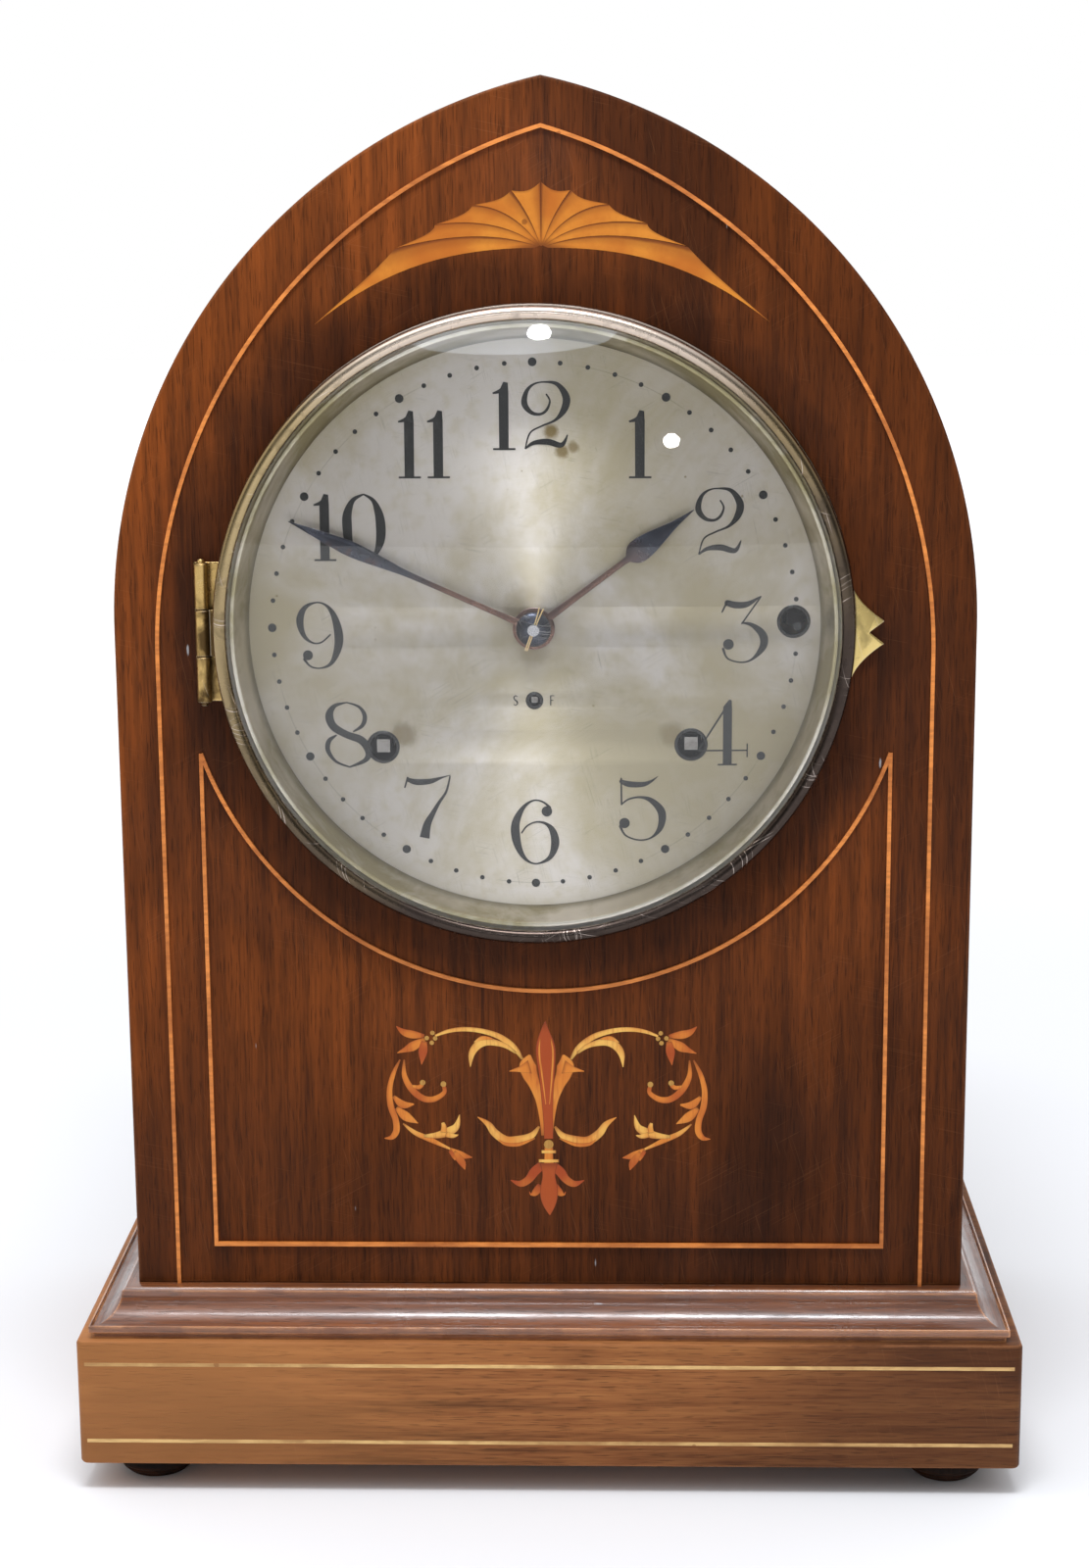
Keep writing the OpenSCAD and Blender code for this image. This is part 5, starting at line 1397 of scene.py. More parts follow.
class Grower:
    """A geometry tree with named inputs, run once to a plain mesh."""

    def __init__(self, name: str, inputs: dict[str, str]) -> None:
        """Start a tree that takes geometry, the given inputs and a material.

        Args:
            name: Name of the tree.
            inputs: Socket type of each input by its name.
        """
        self.tree = bpy.data.node_groups.new(name, "GeometryNodeTree")
        made = self.tree.interface.new_socket
        made(name="Geometry", in_out="INPUT", socket_type="NodeSocketGeometry")
        for label, kind in {**inputs, "Material": "NodeSocketMaterial"}.items():
            made(name=label, in_out="INPUT", socket_type=kind)
        made(name="Geometry", in_out="OUTPUT", socket_type="NodeSocketGeometry")
        self.nodes = Nodes(self.tree)
        self.enter = self.nodes.add("NodeGroupInput").outputs
        self.leave = self.nodes.add("NodeGroupOutput")

    def end(self, geometry: object) -> "Grower":
        """Realize the instances, set the material and close the tree.

        Args:
            geometry: Node or socket that gives the geometry.

        Returns:
            The tree.
        """
        real = self.nodes.add("GeometryNodeRealizeInstances", {0: geometry})
        given = {"Geometry": real, "Material": self.enter["Material"]}
        self.nodes.feed(self.leave.inputs[0], self.nodes.add("GeometryNodeSetMaterial", given))
        return self

    def grow(self, base: Mesh, **values: object) -> Mesh:
        """Run the tree on a mesh.

        Args:
            base: The mesh that it starts from.
            **values: Value of each input, with underscores for the blanks of its name.

        Returns:
            A plain mesh.
        """
        carrier = link("carrier", base)
        modifier = carrier.modifiers.new("grow", "NODES")
        modifier.node_group = self.tree
        for item in self.tree.interface.items_tree:
            label = item.name.replace(" ", "_")
            if item.in_out == "INPUT" and label in values:
                modifier[item.identifier] = values[label]
        return plain_mesh(carrier)


def path_mesh(points: Sequence[Vector], radii: Sequence[float] = (), closed: bool = False) -> Mesh:
    """Mesh of one line of edges, with a width factor at each point.

    Args:
        points: Points of the line.
        radii: Factor at each point, or none.
        closed: Whether the line is a loop.

    Returns:
        The mesh.
    """
    mesh = bpy.data.meshes.new("path")
    edges = [(k, k + 1) for k in range(len(points) - 1)]
    mesh.from_pydata(points, edges + ([(len(points) - 1, 0)] if closed else []), [])
    widths = mesh.attributes.new("width", "FLOAT", "POINT")
    widths.data.foreach_set("value", list(radii) or [1.0] * len(points))
    return mesh


def mitres(points: Sequence[Vector]) -> list[float]:
    """Factor at each point by which a line has to widen to turn there without thinning.

    Args:
        points: Points of the line.

    Returns:
        Factor at each point.
    """
    made = [1.0]
    for a, b, c in zip(points, points[1:], points[2:], strict=False):
        turn = (b - a).angle(c - b, 0)
        made.append(1 / math.cos(min(turn, 2.4) / 2))
    return [*made, 1.0]


def stringing_tree() -> Grower:
    """Tree that lays a strip along a line drawn flat, with its face at the line's own level.

    Returns:
        The tree.
    """
    g = Grower("stringing", {"Width": FLOAT, "Depth": FLOAT})
    n = g.nodes
    line = n.add("GeometryNodeMeshToCurve", {0: g.enter["Geometry"]})
    upward = n.add("GeometryNodeSetCurveNormal", {0: line}, mode="Z_UP")
    factor = n.add("GeometryNodeInputNamedAttribute", {"Name": "width"}, data_type="FLOAT")
    sized = n.add("GeometryNodeSetCurveRadius", {"Curve": upward, "Radius": factor.outputs["Attribute"]})
    shape = n.add(
        "GeometryNodeCurvePrimitiveQuadrilateral", {"Width": g.enter["Width"], "Height": g.enter["Depth"]}
    )
    low = n.add("ShaderNodeCombineXYZ", {1: n.times(g.enter["Depth"], -0.5)})
    lowered = n.add("GeometryNodeTransform", {"Geometry": shape, "Translation": low})
    strip = {"Curve": sized, "Profile Curve": lowered, "Fill Caps": True}
    made = n.add("GeometryNodeCurveToMesh", strip)
    if "Scale" in made.inputs:
        n.feed(made.inputs["Scale"], factor.outputs["Attribute"])
    return g.end(made)


def dots_tree() -> Grower:
    """Tree that sets a ring of dots, with a larger one at every fifth place.

    Returns:
        The tree.
    """
    g = Grower("dots", {"Ring Radius": FLOAT, "Dot Radius": FLOAT, "Large Factor": FLOAT, "Height": FLOAT})
    n = g.nodes
    ring = n.add("GeometryNodeMeshCircle", {"Vertices": 60, "Radius": g.enter["Ring Radius"]})
    dot = n.add(
        "GeometryNodeMeshCylinder",
        {"Vertices": 18, "Radius": g.enter["Dot Radius"], "Depth": g.enter["Height"]},
    )
    index = n.add("GeometryNodeInputIndex")
    fifth = n.maths("LESS_THAN", n.maths("MODULO", index, 5), 0.5)
    size = n.plus(1, n.times(fifth, n.minus(g.enter["Large Factor"], 1)))
    scale = n.add("ShaderNodeCombineXYZ", {0: size, 1: size, 2: 1.0})
    given = {"Points": ring, "Instance": dot, "Scale": scale}
    return g.end(n.add("GeometryNodeInstanceOnPoints", given))


def corners_tree() -> Grower:
    """Tree that sets a copy of its geometry at the corners of a rectangle.

    Returns:
        The tree.
    """
    g = Grower("corners", {"Across": FLOAT, "Deep": FLOAT})
    n = g.nodes
    given = {"Size X": g.enter["Across"], "Size Y": g.enter["Deep"], "Vertices X": 2, "Vertices Y": 2}
    grid = n.add("GeometryNodeMeshGrid", given)
    return g.end(n.add("GeometryNodeInstanceOnPoints", {"Points": grid, "Instance": g.enter["Geometry"]}))


def row_tree() -> Grower:
    """Tree that sets copies of its geometry one above another, each turned a little by chance.

    Returns:
        The tree.
    """
    g = Grower("row", {"Count": "NodeSocketInt", "Step": FLOAT, "Seed": "NodeSocketInt"})
    n = g.nodes
    step = n.add("ShaderNodeCombineXYZ", {2: g.enter["Step"]})
    line = n.add("GeometryNodeMeshLine", {"Count": g.enter["Count"], "Offset": step})
    chance = n.add("FunctionNodeRandomValue", {2: -1.2, 3: 1.2, "Seed": g.enter["Seed"]}, data_type="FLOAT")
    turn = n.add("ShaderNodeCombineXYZ", {1: chance.outputs[1]})
    given = {"Points": line, "Instance": g.enter["Geometry"], "Rotation": turn}
    return g.end(n.add("GeometryNodeInstanceOnPoints", given))


class Trees:
    """The geometry trees, each made once."""

    def __init__(self) -> None:
        """Build every tree."""
        self.stringing, self.dots = stringing_tree(), dots_tree()
        self.corners, self.row = corners_tree(), row_tree()


def stand_up(mesh: Mesh, v: float, x: float = 0.0, z: float = 0.0) -> Mesh:
    """Turn a mesh drawn flat, in metres, up into the front view.

    Args:
        mesh: Mesh with its face at height zero.
        v: Distance behind the front that its face goes to.
        x: Sideways shift.
        z: Upward shift.

    Returns:
        The same mesh.
    """
    mesh.transform(Matrix.Translation(LAYOUT.place(x, v, z)) @ Matrix.Rotation(math.pi / 2, 4, "X"))
    return mesh


@dataclass
class Plinth:
    """Block, cove moulding, feet and the two lines round the block."""

    finishes: Finishes
    trees: Trees
    half: float = 125.7
    deep: float = 85.0
    low: float = 8.2
    top: float = 43.3
    corner: float = 2.0
    line_heights: tuple[float, float] = (35.8, 14.05)
    line_width: float = 1.0
    line_depth: float = 0.7
    line_proud: float = 0.02
    line_end: float = 7.0
    foot_radius: float = 11.0
    foot_inset: float = 7.0
    moulding_back: float = 78.3
    cove: float = 7.8
    ledge: float = 3.5

    def plan(self, inset: float, corner: float, steps: int = 6) -> list[Flat]:
        """Plan of the block, drawn in, with rounded corners.

        Args:
            inset: How far it is drawn in.
            corner: Radius of its corners.
            steps: Steps of each corner.

        Returns:
            Points of x and y.
        """
        x, y = self.half - inset, self.deep - inset
        made = []
        for sx, sy, start in ((1, -1, -90), (1, 1, 0), (-1, 1, 90), (-1, -1, 180)):
            for k in range(steps + 1):
                a = math.radians(start + 90 * k / steps)
                middle = (sx * (x - corner), sy * (y - corner))
                made.append((middle[0] + corner * math.cos(a), middle[1] + corner * math.sin(a)))
        return made

    def block(self) -> None:
        """The solid block, with eased arrises."""
        levels = [(0.8, self.low), (0.3, self.low + 0.25), (0.0, self.low + 0.9), (0.0, self.top - 0.9)]
        levels += [(0.3, self.top - 0.25), (0.9, self.top)]
        rows = []
        for inset, z in levels:
            rows.append([Vector((x * MM, y * MM, z * MM)) for x, y in self.plan(inset, self.corner)])
        part = Part().skin(rows).boxed()
        part.finish("plinth_block", self.finishes.block, "case", "base_block", "mahogany_base")

    def section(self) -> list[Flat]:
        """Half section of the moulding: distance out from the case against height over the block.

        Returns:
            Points of the half section.
        """
        out = self.ledge + self.cove
        corners = [(-3.0, 0.0, 0.0), (out - 0.4, 0.0, 0.0), (out - 0.4, 1.5, 0.5), (out + 0.5, 1.7, 0.5)]
        corners += [(out + 0.5, 3.6, 0.7), (out + 0.1, 3.75, 0.2)]
        made = filleted(corners, 3)[0:-1]
        for k in range(13):
            a = math.radians(268 - 88 * k / 12)
            made.append((out + 0.4 + self.cove * math.cos(a), 10.6 + self.cove * math.sin(a)))
        made += [
            (self.ledge - 0.1, 10.9), (self.ledge - 0.45, 11.35), (self.ledge - 1.0, 11.5), (-3.0, 11.5)
        ]
        return made

    def moulding(self) -> None:
        """The cove moulding round the front and both sides."""
        section = self.section()
        girth = [0.0]
        for a, b in zip(section, section[1:], strict=False):
            girth.append(girth[-1] + math.dist(a, b))
        half, front = LAYOUT.half, LAYOUT.front
        rows = []
        for sx, back in ((-1, True), (-1, False), (1, False), (1, True)):
            row = []
            for out, z in section:
                y = self.moulding_back if back else front - out
                row.append(Vector((sx * (half + out) * MM, y * MM, (self.top + z) * MM)))
            rows.append(row)
        long = [0.0, 0.15, 0.37, 0.52]

        def grain(i: int, j: int) -> Flat:
            """Place in the grain of point j of row i."""
            return (long[i], girth[j % len(girth)] * MM + (0.2 if j >= len(girth) else 0))

        part = Part().skin(rows, grain=grain)
        part.finish(
            "plinth_moulding", self.finishes.moulding, "case", "base_moulding", "mahogany_moulding", 28
        )

    def feet(self) -> None:
        """Four turned feet."""
        r, h = self.foot_radius, self.low
        profile = [(0, 0), (r - 2.9, 0), (r - 2.45, 0.35), (r - 2.4, 1.1), (r - 1.5, 1.25), (r - 1.2, 1.6)]
        profile += [
            (r - 1.2, 2.3), (r - 0.5, 2.65), (r, 3.2), (r, 5.4), (r - 0.5, 6.0), (r - 1.3, 6.2),
            (r - 1.6, h), (0, h)
        ]
        foot = Part().turned(profile, 0, -LAYOUT.front, Axis.UPRIGHT, 64, closed=False)
        mesh = foot.close("foot")
        across = 2 * (self.half - self.foot_inset - r) * MM
        deep = 2 * (self.deep - self.foot_inset - r) * MM
        made = self.trees.corners.grow(mesh, Across=across, Deep=deep, Material=self.finishes.feet)
        part = Part().absorb(made)
        part.finish("turned_feet", self.finishes.feet, "case", "base_feet", "ebonised_wood", 40)

    def lines(self) -> None:
        """The two pale lines, round the front and both sides of the block."""
        sunk = self.line_depth / 2 - self.line_proud
        loop = self.plan(sunk, self.corner)
        back = self.deep - self.line_end
        half_way = len(loop) // 2
        whole = [p for p in loop[half_way:] + loop[:half_way] if p[1] < back]
        right = [p for p in whole if p[0] > 0]
        left = [p for p in whole if p[0] < 0]
        x = self.half - sunk
        path = [(-x, back), *left, *right, (x, back)]
        part = Part()
        for z in self.line_heights:
            points = [Vector((px * MM, py * MM, (z + self.line_width / 2) * MM)) for px, py in path]
            made = self.trees.stringing.grow(
                path_mesh(points), Width=self.line_depth * MM, Depth=self.line_width * MM,
                Material=self.finishes.straw
            )
            part.absorb(made)
        part.finish("plinth_lines", self.finishes.straw, "case", "base_stringing", "straw_stringing")

    def build(self) -> None:
        """Make every piece."""
        self.block()
        self.moulding()
        self.feet()
        self.lines()


@dataclass
class Case:
    """Front board with its inlays, and the bent wrap behind it."""

    finishes: Finishes
    trees: Trees
    board: float = 9.0
    wrap: float = 8.0
    back: float = 143.0
    hole: float = 76.6
    ledge: float = 74.5
    seat: float = 6.9
    line_width: float = 1.0
    line_depth: float = 0.7
    line_inset: float = 10.6
    line_radius: float = 139.0
    line_drop: float = 7.5
    lower_half: float = 89.5
    lower_z: float = 65.6
    lower_radius: float = 93.6
    lower_drop: float = 2.1

    def panel(self) -> None:
        """The front board, with the ledge that the dial sits on."""
        centre = (LAYOUT.dial_x, LAYOUT.dial_z)
        outline = pointed_arch(LAYOUT.half, LAYOUT.arch_radius, LAYOUT.case_z, LAYOUT.spring, 64)
        hole = circle(*centre, self.hole, 180)[::-1]
        part = Part().plate([outline, hole], 0, self.board, 0.7, 3)
        inner = [(self.hole + 0.5, -self.seat), (self.hole + 0.5, -self.board), (self.ledge, -self.board)]
        part.turned([*inner, (self.ledge, -self.seat)], *centre)
        part.finish("front_board", self.finishes.front, "case", "front_panel", "mahogany_front", 30)

    def shell(self) -> None:
        """The bent wrap, from the front board to the back frame."""
        loops = []
        places = [(0.15, self.board), (0.0, self.board + 0.2), (0.0, self.back)]
        places += [(self.wrap, self.back), (self.wrap, self.board)]
        for inset, v in places:
            outline = pointed_arch(
                LAYOUT.half - inset, LAYOUT.arch_radius - inset, LAYOUT.case_z, LAYOUT.spring, 64
            )
            loops.append([LAYOUT.place(x, v, z) for x, z in outline])
        rows = [list(row) for row in zip(*loops, strict=True)]
        run = [0.0]
        for a, b in zip(loops[1], loops[1][1:], strict=False):
            run.append(run[-1] + (b - a).length)
        # Place across the grain: outer face, rear edge, inner face
        depths = [0.0, 0.0002, 0.134, 0.142, 0.276, 0.277]
        part = Part().skin(rows, grain=lambda i, j: (run[i], depths[j]))
        part.finish("bent_wrap", self.finishes.side, "case", "case_shell", "mahogany_side", 30)

    def line(self, path: Sequence[Flat], part: Part) -> None:
        """Lay one line of stringing into the front board.

        Args:
            path: Points of the line in the front view.
            part: The part that it is added to.
        """
        points = [Vector((x * MM, z * MM, 0)) for x, z in path]
        made = self.trees.stringing.grow(
            path_mesh(points, mitres(points)),
            Width=self.line_width * MM, Depth=self.line_depth * MM, Material=self.finishes.orange
        )
        part.absorb(stand_up(made, -PROUD))

    def stringing(self) -> None:
        """The outer line, and the line round the lower panel with its hollow top."""
        part = Part()
        half = LAYOUT.half - self.line_inset
        mid = self.line_width / 2
        reach = self.line_radius - half
        spring = LAYOUT.spring - self.line_drop
        self.line(pointed_arch(half - mid, half - mid + reach, LAYOUT.case_z, spring, 64), part)
        x = self.lower_half - mid
        middle = LAYOUT.dial_z - self.lower_drop
        radius = self.lower_radius + mid
        tip = middle - math.sqrt(radius**2 - x**2)
        low = self.lower_z + mid
        self.line([(-x, tip), (-x, low), (x, low), (x, tip)], part)
        start = math.atan2(tip - middle, x)
        end = -math.pi - start
        arc = [start + (end - start) * k / 72 for k in range(73)]
        self.line([(radius * math.cos(a), middle + radius * math.sin(a)) for a in arc], part)
        part.finish("panel_lines", self.finishes.orange, "case", "case_stringing", "orange_stringing")

    def build(self) -> None:
        """Make every piece."""
        self.panel()
        self.shell()
        self.stringing()


@dataclass
class Fan:
    """Ten scorched blades let in above the dial."""

    finishes: Finishes
    rise: float = 111.5
    tips: tuple[Flat, ...] = ((0, 0), (7.4, -2.1), (16.8, -5.6), (26.4, -10.3), (36.4, -16), (57.5, -35.1))
    hollows: tuple[float, ...] = (0.07, 0.07, 0.07, 0.07, 0.03)
    hub: float = -16.1
    bows: tuple[Flat, ...] = ((0, 8), (2.5, 8), (6.8, 10), (10, 8), (14, 5.7))
    gap: float = 0.012
    root: float = 0.03
    steps: int = 16
    across: int = 8

    def under(self, x: float) -> float:
        """Height of the under edge."""
        return self.hub - 3.9 * (abs(x) / 30) ** 2.434

    def seam(self, i: int, t: float) -> Flat:
        """Point on the line between blades, from the hub to a tip, or on the under edge.

        Args:
            i: Number of the seam, from the middle.
            t: Share of its length.

        Returns:
            The point from the fan's own middle.
        """
        if i == len(self.tips) - 1:
            last_x, last_z = self.tips[-1]
            x = last_x * t
            return (x, self.under(x) + (last_z - self.under(last_x)) * t**3)
        tip, bow = self.tips[i], self.bows[i]
        x = 2 * t * (1 - t) * bow[0] + t * t * tip[0]
        z = (1 - t) ** 2 * self.hub + 2 * t * (1 - t) * (self.hub + bow[1]) + t * t * tip[1]
        return (x, z)

    def edge(self, i: int, s: float) -> float:
        """How far the end of a blade is drawn in, as a share of its length."""
        return 1 - 4 * s * (1 - s) * (self.hollows[i] * 1.1)

    def blade(self, part: Part, i: int, side: int) -> None:
        """One blade, as a net from the hub to its hollowed end.

        Args:
            part: The part that it is added to.
            i: Number of the blade, from the middle.
            side: 1 for right, -1 for left.
        """
        rows = []
        for k in range(self.steps + 1):
            row = []
            along = k / self.steps
            for j in range(self.across + 1):
                s = self.gap + (1 - 2 * self.gap) * j / self.across
                t = (self.root + (1 - self.root) * along) * (1 - (1 - self.edge(i, s)) * along)
                a, b = self.seam(i, t), self.seam(i + 1, t)
                x, z = a[0] + (b[0] - a[0]) * s, a[1] + (b[1] - a[1]) * s
                row.append((side * x, LAYOUT.dial_z + self.rise + z))
            rows.append(row)
        part.veneer(rows, -PROUD, INLAY)

    def build(self) -> None:
        """Make the blades."""
        part = Part()
        for i in range(len(self.tips) - 1):
            for side in (-1, 1):
                self.blade(part, i, side)
        part.finish("fan_blades", self.finishes.fan, "case", "fan_inlay", "satinwood")


@dataclass
class Scroll:
    """Scrollwork of several woods let in below the dial."""

    finishes: Finishes
    drop: float = 131.45
    step: float = 0.002

    def leaves(self) -> list[tuple[float, Stroke]]:
        """Strokes of the right half from the scrollwork's middle, each with its tint.

        Returns:
            Tint and stroke of each.
        """
        return [
            (0.5, [(1.1, -4.7, 0.5), (1.3, -0.9, 0.6), (2.0, 4.8, 0.95), (3.2, 9.2, 1.5), (4.5, 12.4, 2.1),
                   (5.0, 15.0, 2.2), (4.4, 17.6, 0.3)]),
            (0.5, [(4.4, 14.3, 1.9), (6.6, 13.7, 0.95), (8.4, 13.4, 0.45), (9.9, 13.1, 0.1)]),
            (0.1, [(6.4, 16.4, 0.3), (8.2, 19.2, 0.75), (10.8, 21.6, 0.8), (14, 23.3, 0.75),
                   (18.4, 24.4, 0.65), (22.6, 24.6, 0.6), (26.2, 24, 0.5), (29.4, 22.8, 0.3)]),
            (0.05, [(8.1, 18.1, 0.3), (10.5, 19.9, 0.6), (13, 20.8, 0.8), (16, 21.2, 1.1),
                    (18.3, 20.1, 1.1), (19.8, 17.8, 0.85), (20.2, 14.3, 0.1)]),
            (0.3, [(14.2, 22, 0.2), (16.9, 22.2, 0.6), (19.1, 21.1, 0.1)]),
            (0.75, [(32.2, 22.8, 0.4), (35.2, 23.1, 1.1), (37.7, 23.8, 0.9), (39.6, 25.4, 0.1)]),
            (0.65, [(32.2, 21.9, 0.5), (35.2, 20, 1.3), (37.5, 18.9, 0.7), (39.5, 18.1, 0.1)]),
            (0.8, [(32.3, 21.3, 0.7), (32.7, 18.4, 1.2), (33.1, 14.9, 0.1)]),
            (0.6, [(38.8, 16.2, 0.2), (40.6, 12.4, 0.6), (41.7, 8, 0.75), (41.5, 3.5, 0.85),
                   (40.3, -0.3, 0.85), (40.1, -3.4, 0.9), (41.3, -5.3, 0.7), (43.3, -5.6, 0.1)]),
            (0.7, [(37.7, 16.2, 0.2), (37.7, 11.8, 0.7), (35.8, 8, 0.9), (32.8, 5.5, 0.9), (29.8, 5.4, 0.8),
                   (27.2, 7.2, 0.6), (27.4, 9.2, 0.5)]),
            (0.5, [(35.8, 9, 0.3), (34, 8.6, 0.6), (32.9, 9.4, 0.5)]),
            (0.55, [(40.7, 6.1, 0.4), (38.3, 3.8, 1.1), (35.3, 3.9, 0.2)]),
            (0.5, [(40, 2.9, 0.5), (37.5, 0.5, 1.3), (34.3, -1.4, 0.1)]),
            (0.35, [(38.3, -1.5, 0.2), (35.2, -4, 0.65), (31.6, -5.7, 0.75), (28.6, -7.2, 0.55),
                    (25.9, -8.5, 0.3)]),
            (0.1, [(32.8, -5, 0.4), (29.2, -4.7, 0.9), (26.2, -3.7, 1.2), (24.1, -2.2, 0.9),
                   (23.2, 1, 0.1)]),
            (0.2, [(27.6, -4, 0.8), (27.4, -2.4, 0.7), (27.7, -1.2, 0.4)]),
            (0.2, [(27, -4.4, 0.8), (25, -4.9, 0.6), (23.6, -4.6, 0.1)]),
            (0.7, [(25.9, -8.6, 0.5), (23.2, -10.2, 1.1), (20, -10.9, 0.1)]),
            (0.7, [(25, -9.4, 0.7), (22.8, -12.2, 1.0), (22, -14.3, 0.1)]),
            (0.75, [(25.9, -9, 0.5), (25, -10.6, 0.5), (24.6, -11.7, 0.1)]),
            (0.25, [(2.1, -2.2, 0.3), (4.2, -4.8, 0.9), (8.1, -6.1, 1.25), (11.1, -6, 1.2), (13.9, -4, 1.1),
                    (15.7, -1.5, 0.8), (18.4, 0.4, 0.1)]),
            (0.6, [(3.3, -5.5, 0.2), (7.5, -7.2, 0.5), (11.1, -7.1, 0.45), (13, -5.8, 0.1)]),
            (0.9, [(1.4, -13, 1.2), (3.4, -14.8, 1.3), (5, -17, 1.1), (7.2, -18.2, 0.9),
                   (9.8, -17.2, 0.1)]),
            (0.8, [(1.8, -18.6, 0.9), (3.2, -20.6, 1.0), (4.4, -21.2, 0.3), (4.8, -20.4, 0.1)]),
        ]

    def middles(self) -> list[tuple[float, Stroke]]:
        """Strokes on the centre line, each with its tint.

        Returns:
            Tint and stroke of each.
        """
        return [
            (0.95, [(-0.3, 26.9, 0.1), (-0.4, 23.8, 1.3), (-0.3, 20.6, 2.4), (-0.2, 17.4, 2.6),
                    (0, 12.4, 2.1), (0.1, 6, 1.6), (0.3, 0.4, 1.3), (0.4, -5.6, 1.2)]),
            (0.4, [(-1.7, 22, 0.1), (-1.9, 18, 0.25), (-1.2, 12, 0.25), (-0.3, 4, 0.1)]),
            (0.4, [(1.2, 22, 0.1), (1.7, 18, 0.25), (1.4, 12, 0.25), (0.7, 4, 0.1)]),
            (0.45, [(0.4, -8, 1.15), (0.4, -10.4, 1.15), (0.4, -12.4, 1.3)]),
            (0.9, [(0.4, -12.4, 2.4), (0.4, -15.6, 1.7), (0.4, -19.3, 2.3), (0.4, -22, 2.3),
                   (0.5, -24.6, 1.5), (0.6, -27, 0.1)]),
        ]

    def spots(self) -> list[tuple[float, float, float, float]]:
        """Round slips: tint, x, z and radius.

        Returns:
            The slips.
        """
        return [
            (0.1, 0.4, -7.2, 1.25),
            (0.1, 30.1, 23.6, 0.6),
            (0.1, 31.6, 22.2, 0.6),
            (0.1, 29.4, 22.1, 0.6),
            (0.1, 30.3, 20.9, 0.6),
            (0.3, 32.9, 9.9, 0.75),
            (0.3, 27.4, 9.5, 0.75),
        ]

    def build(self) -> None:
        """Make the slips of wood."""
        part = Part()
        middle = LAYOUT.dial_z - self.drop
        for side in (-1, 1):
            for number, (tint, stroke) in enumerate(self.leaves()):
                rows = ribbon(smooth(stroke, 5), 6)
                tints = [tint + 0.12 * math.sin(1.7 * number + 0.4 * k) for k in range(len(rows))]
                placed = [[(side * x, middle + z) for x, z in row] for row in rows]
                part.veneer(placed, -PROUD - self.step * number, INLAY, tints)
            for number, (tint, x, z, radius) in enumerate(self.spots()):
                profile = [(0, 0.1), (radius, 0.1), (radius, -0.6), (0, -0.6)]
                if x > 1 or side > 0:
                    part.turned(profile, side * x, middle + z, steps=24, closed=False)
        for number, (tint, stroke) in enumerate(self.middles()):
            rows = [[(x, middle + z) for x, z in row] for row in ribbon(smooth(stroke, 5), 6)]
            part.veneer(rows, -3 * PROUD - self.step * number, INLAY, tint)
        for z, half, tint in ((-9.25, 1.95, 0.05), (-11.8, 2.7, 0.05)):
            slip = [[(0.4 - half, middle + z + h), (0.4 + half, middle + z + h)] for h in (-0.4, 0.4)]
            part.veneer(slip, -0.11, 0.6, tint)
        part.finish("scroll_leaves", self.finishes.marquetry, "case", "scroll_inlay", "marquetry")


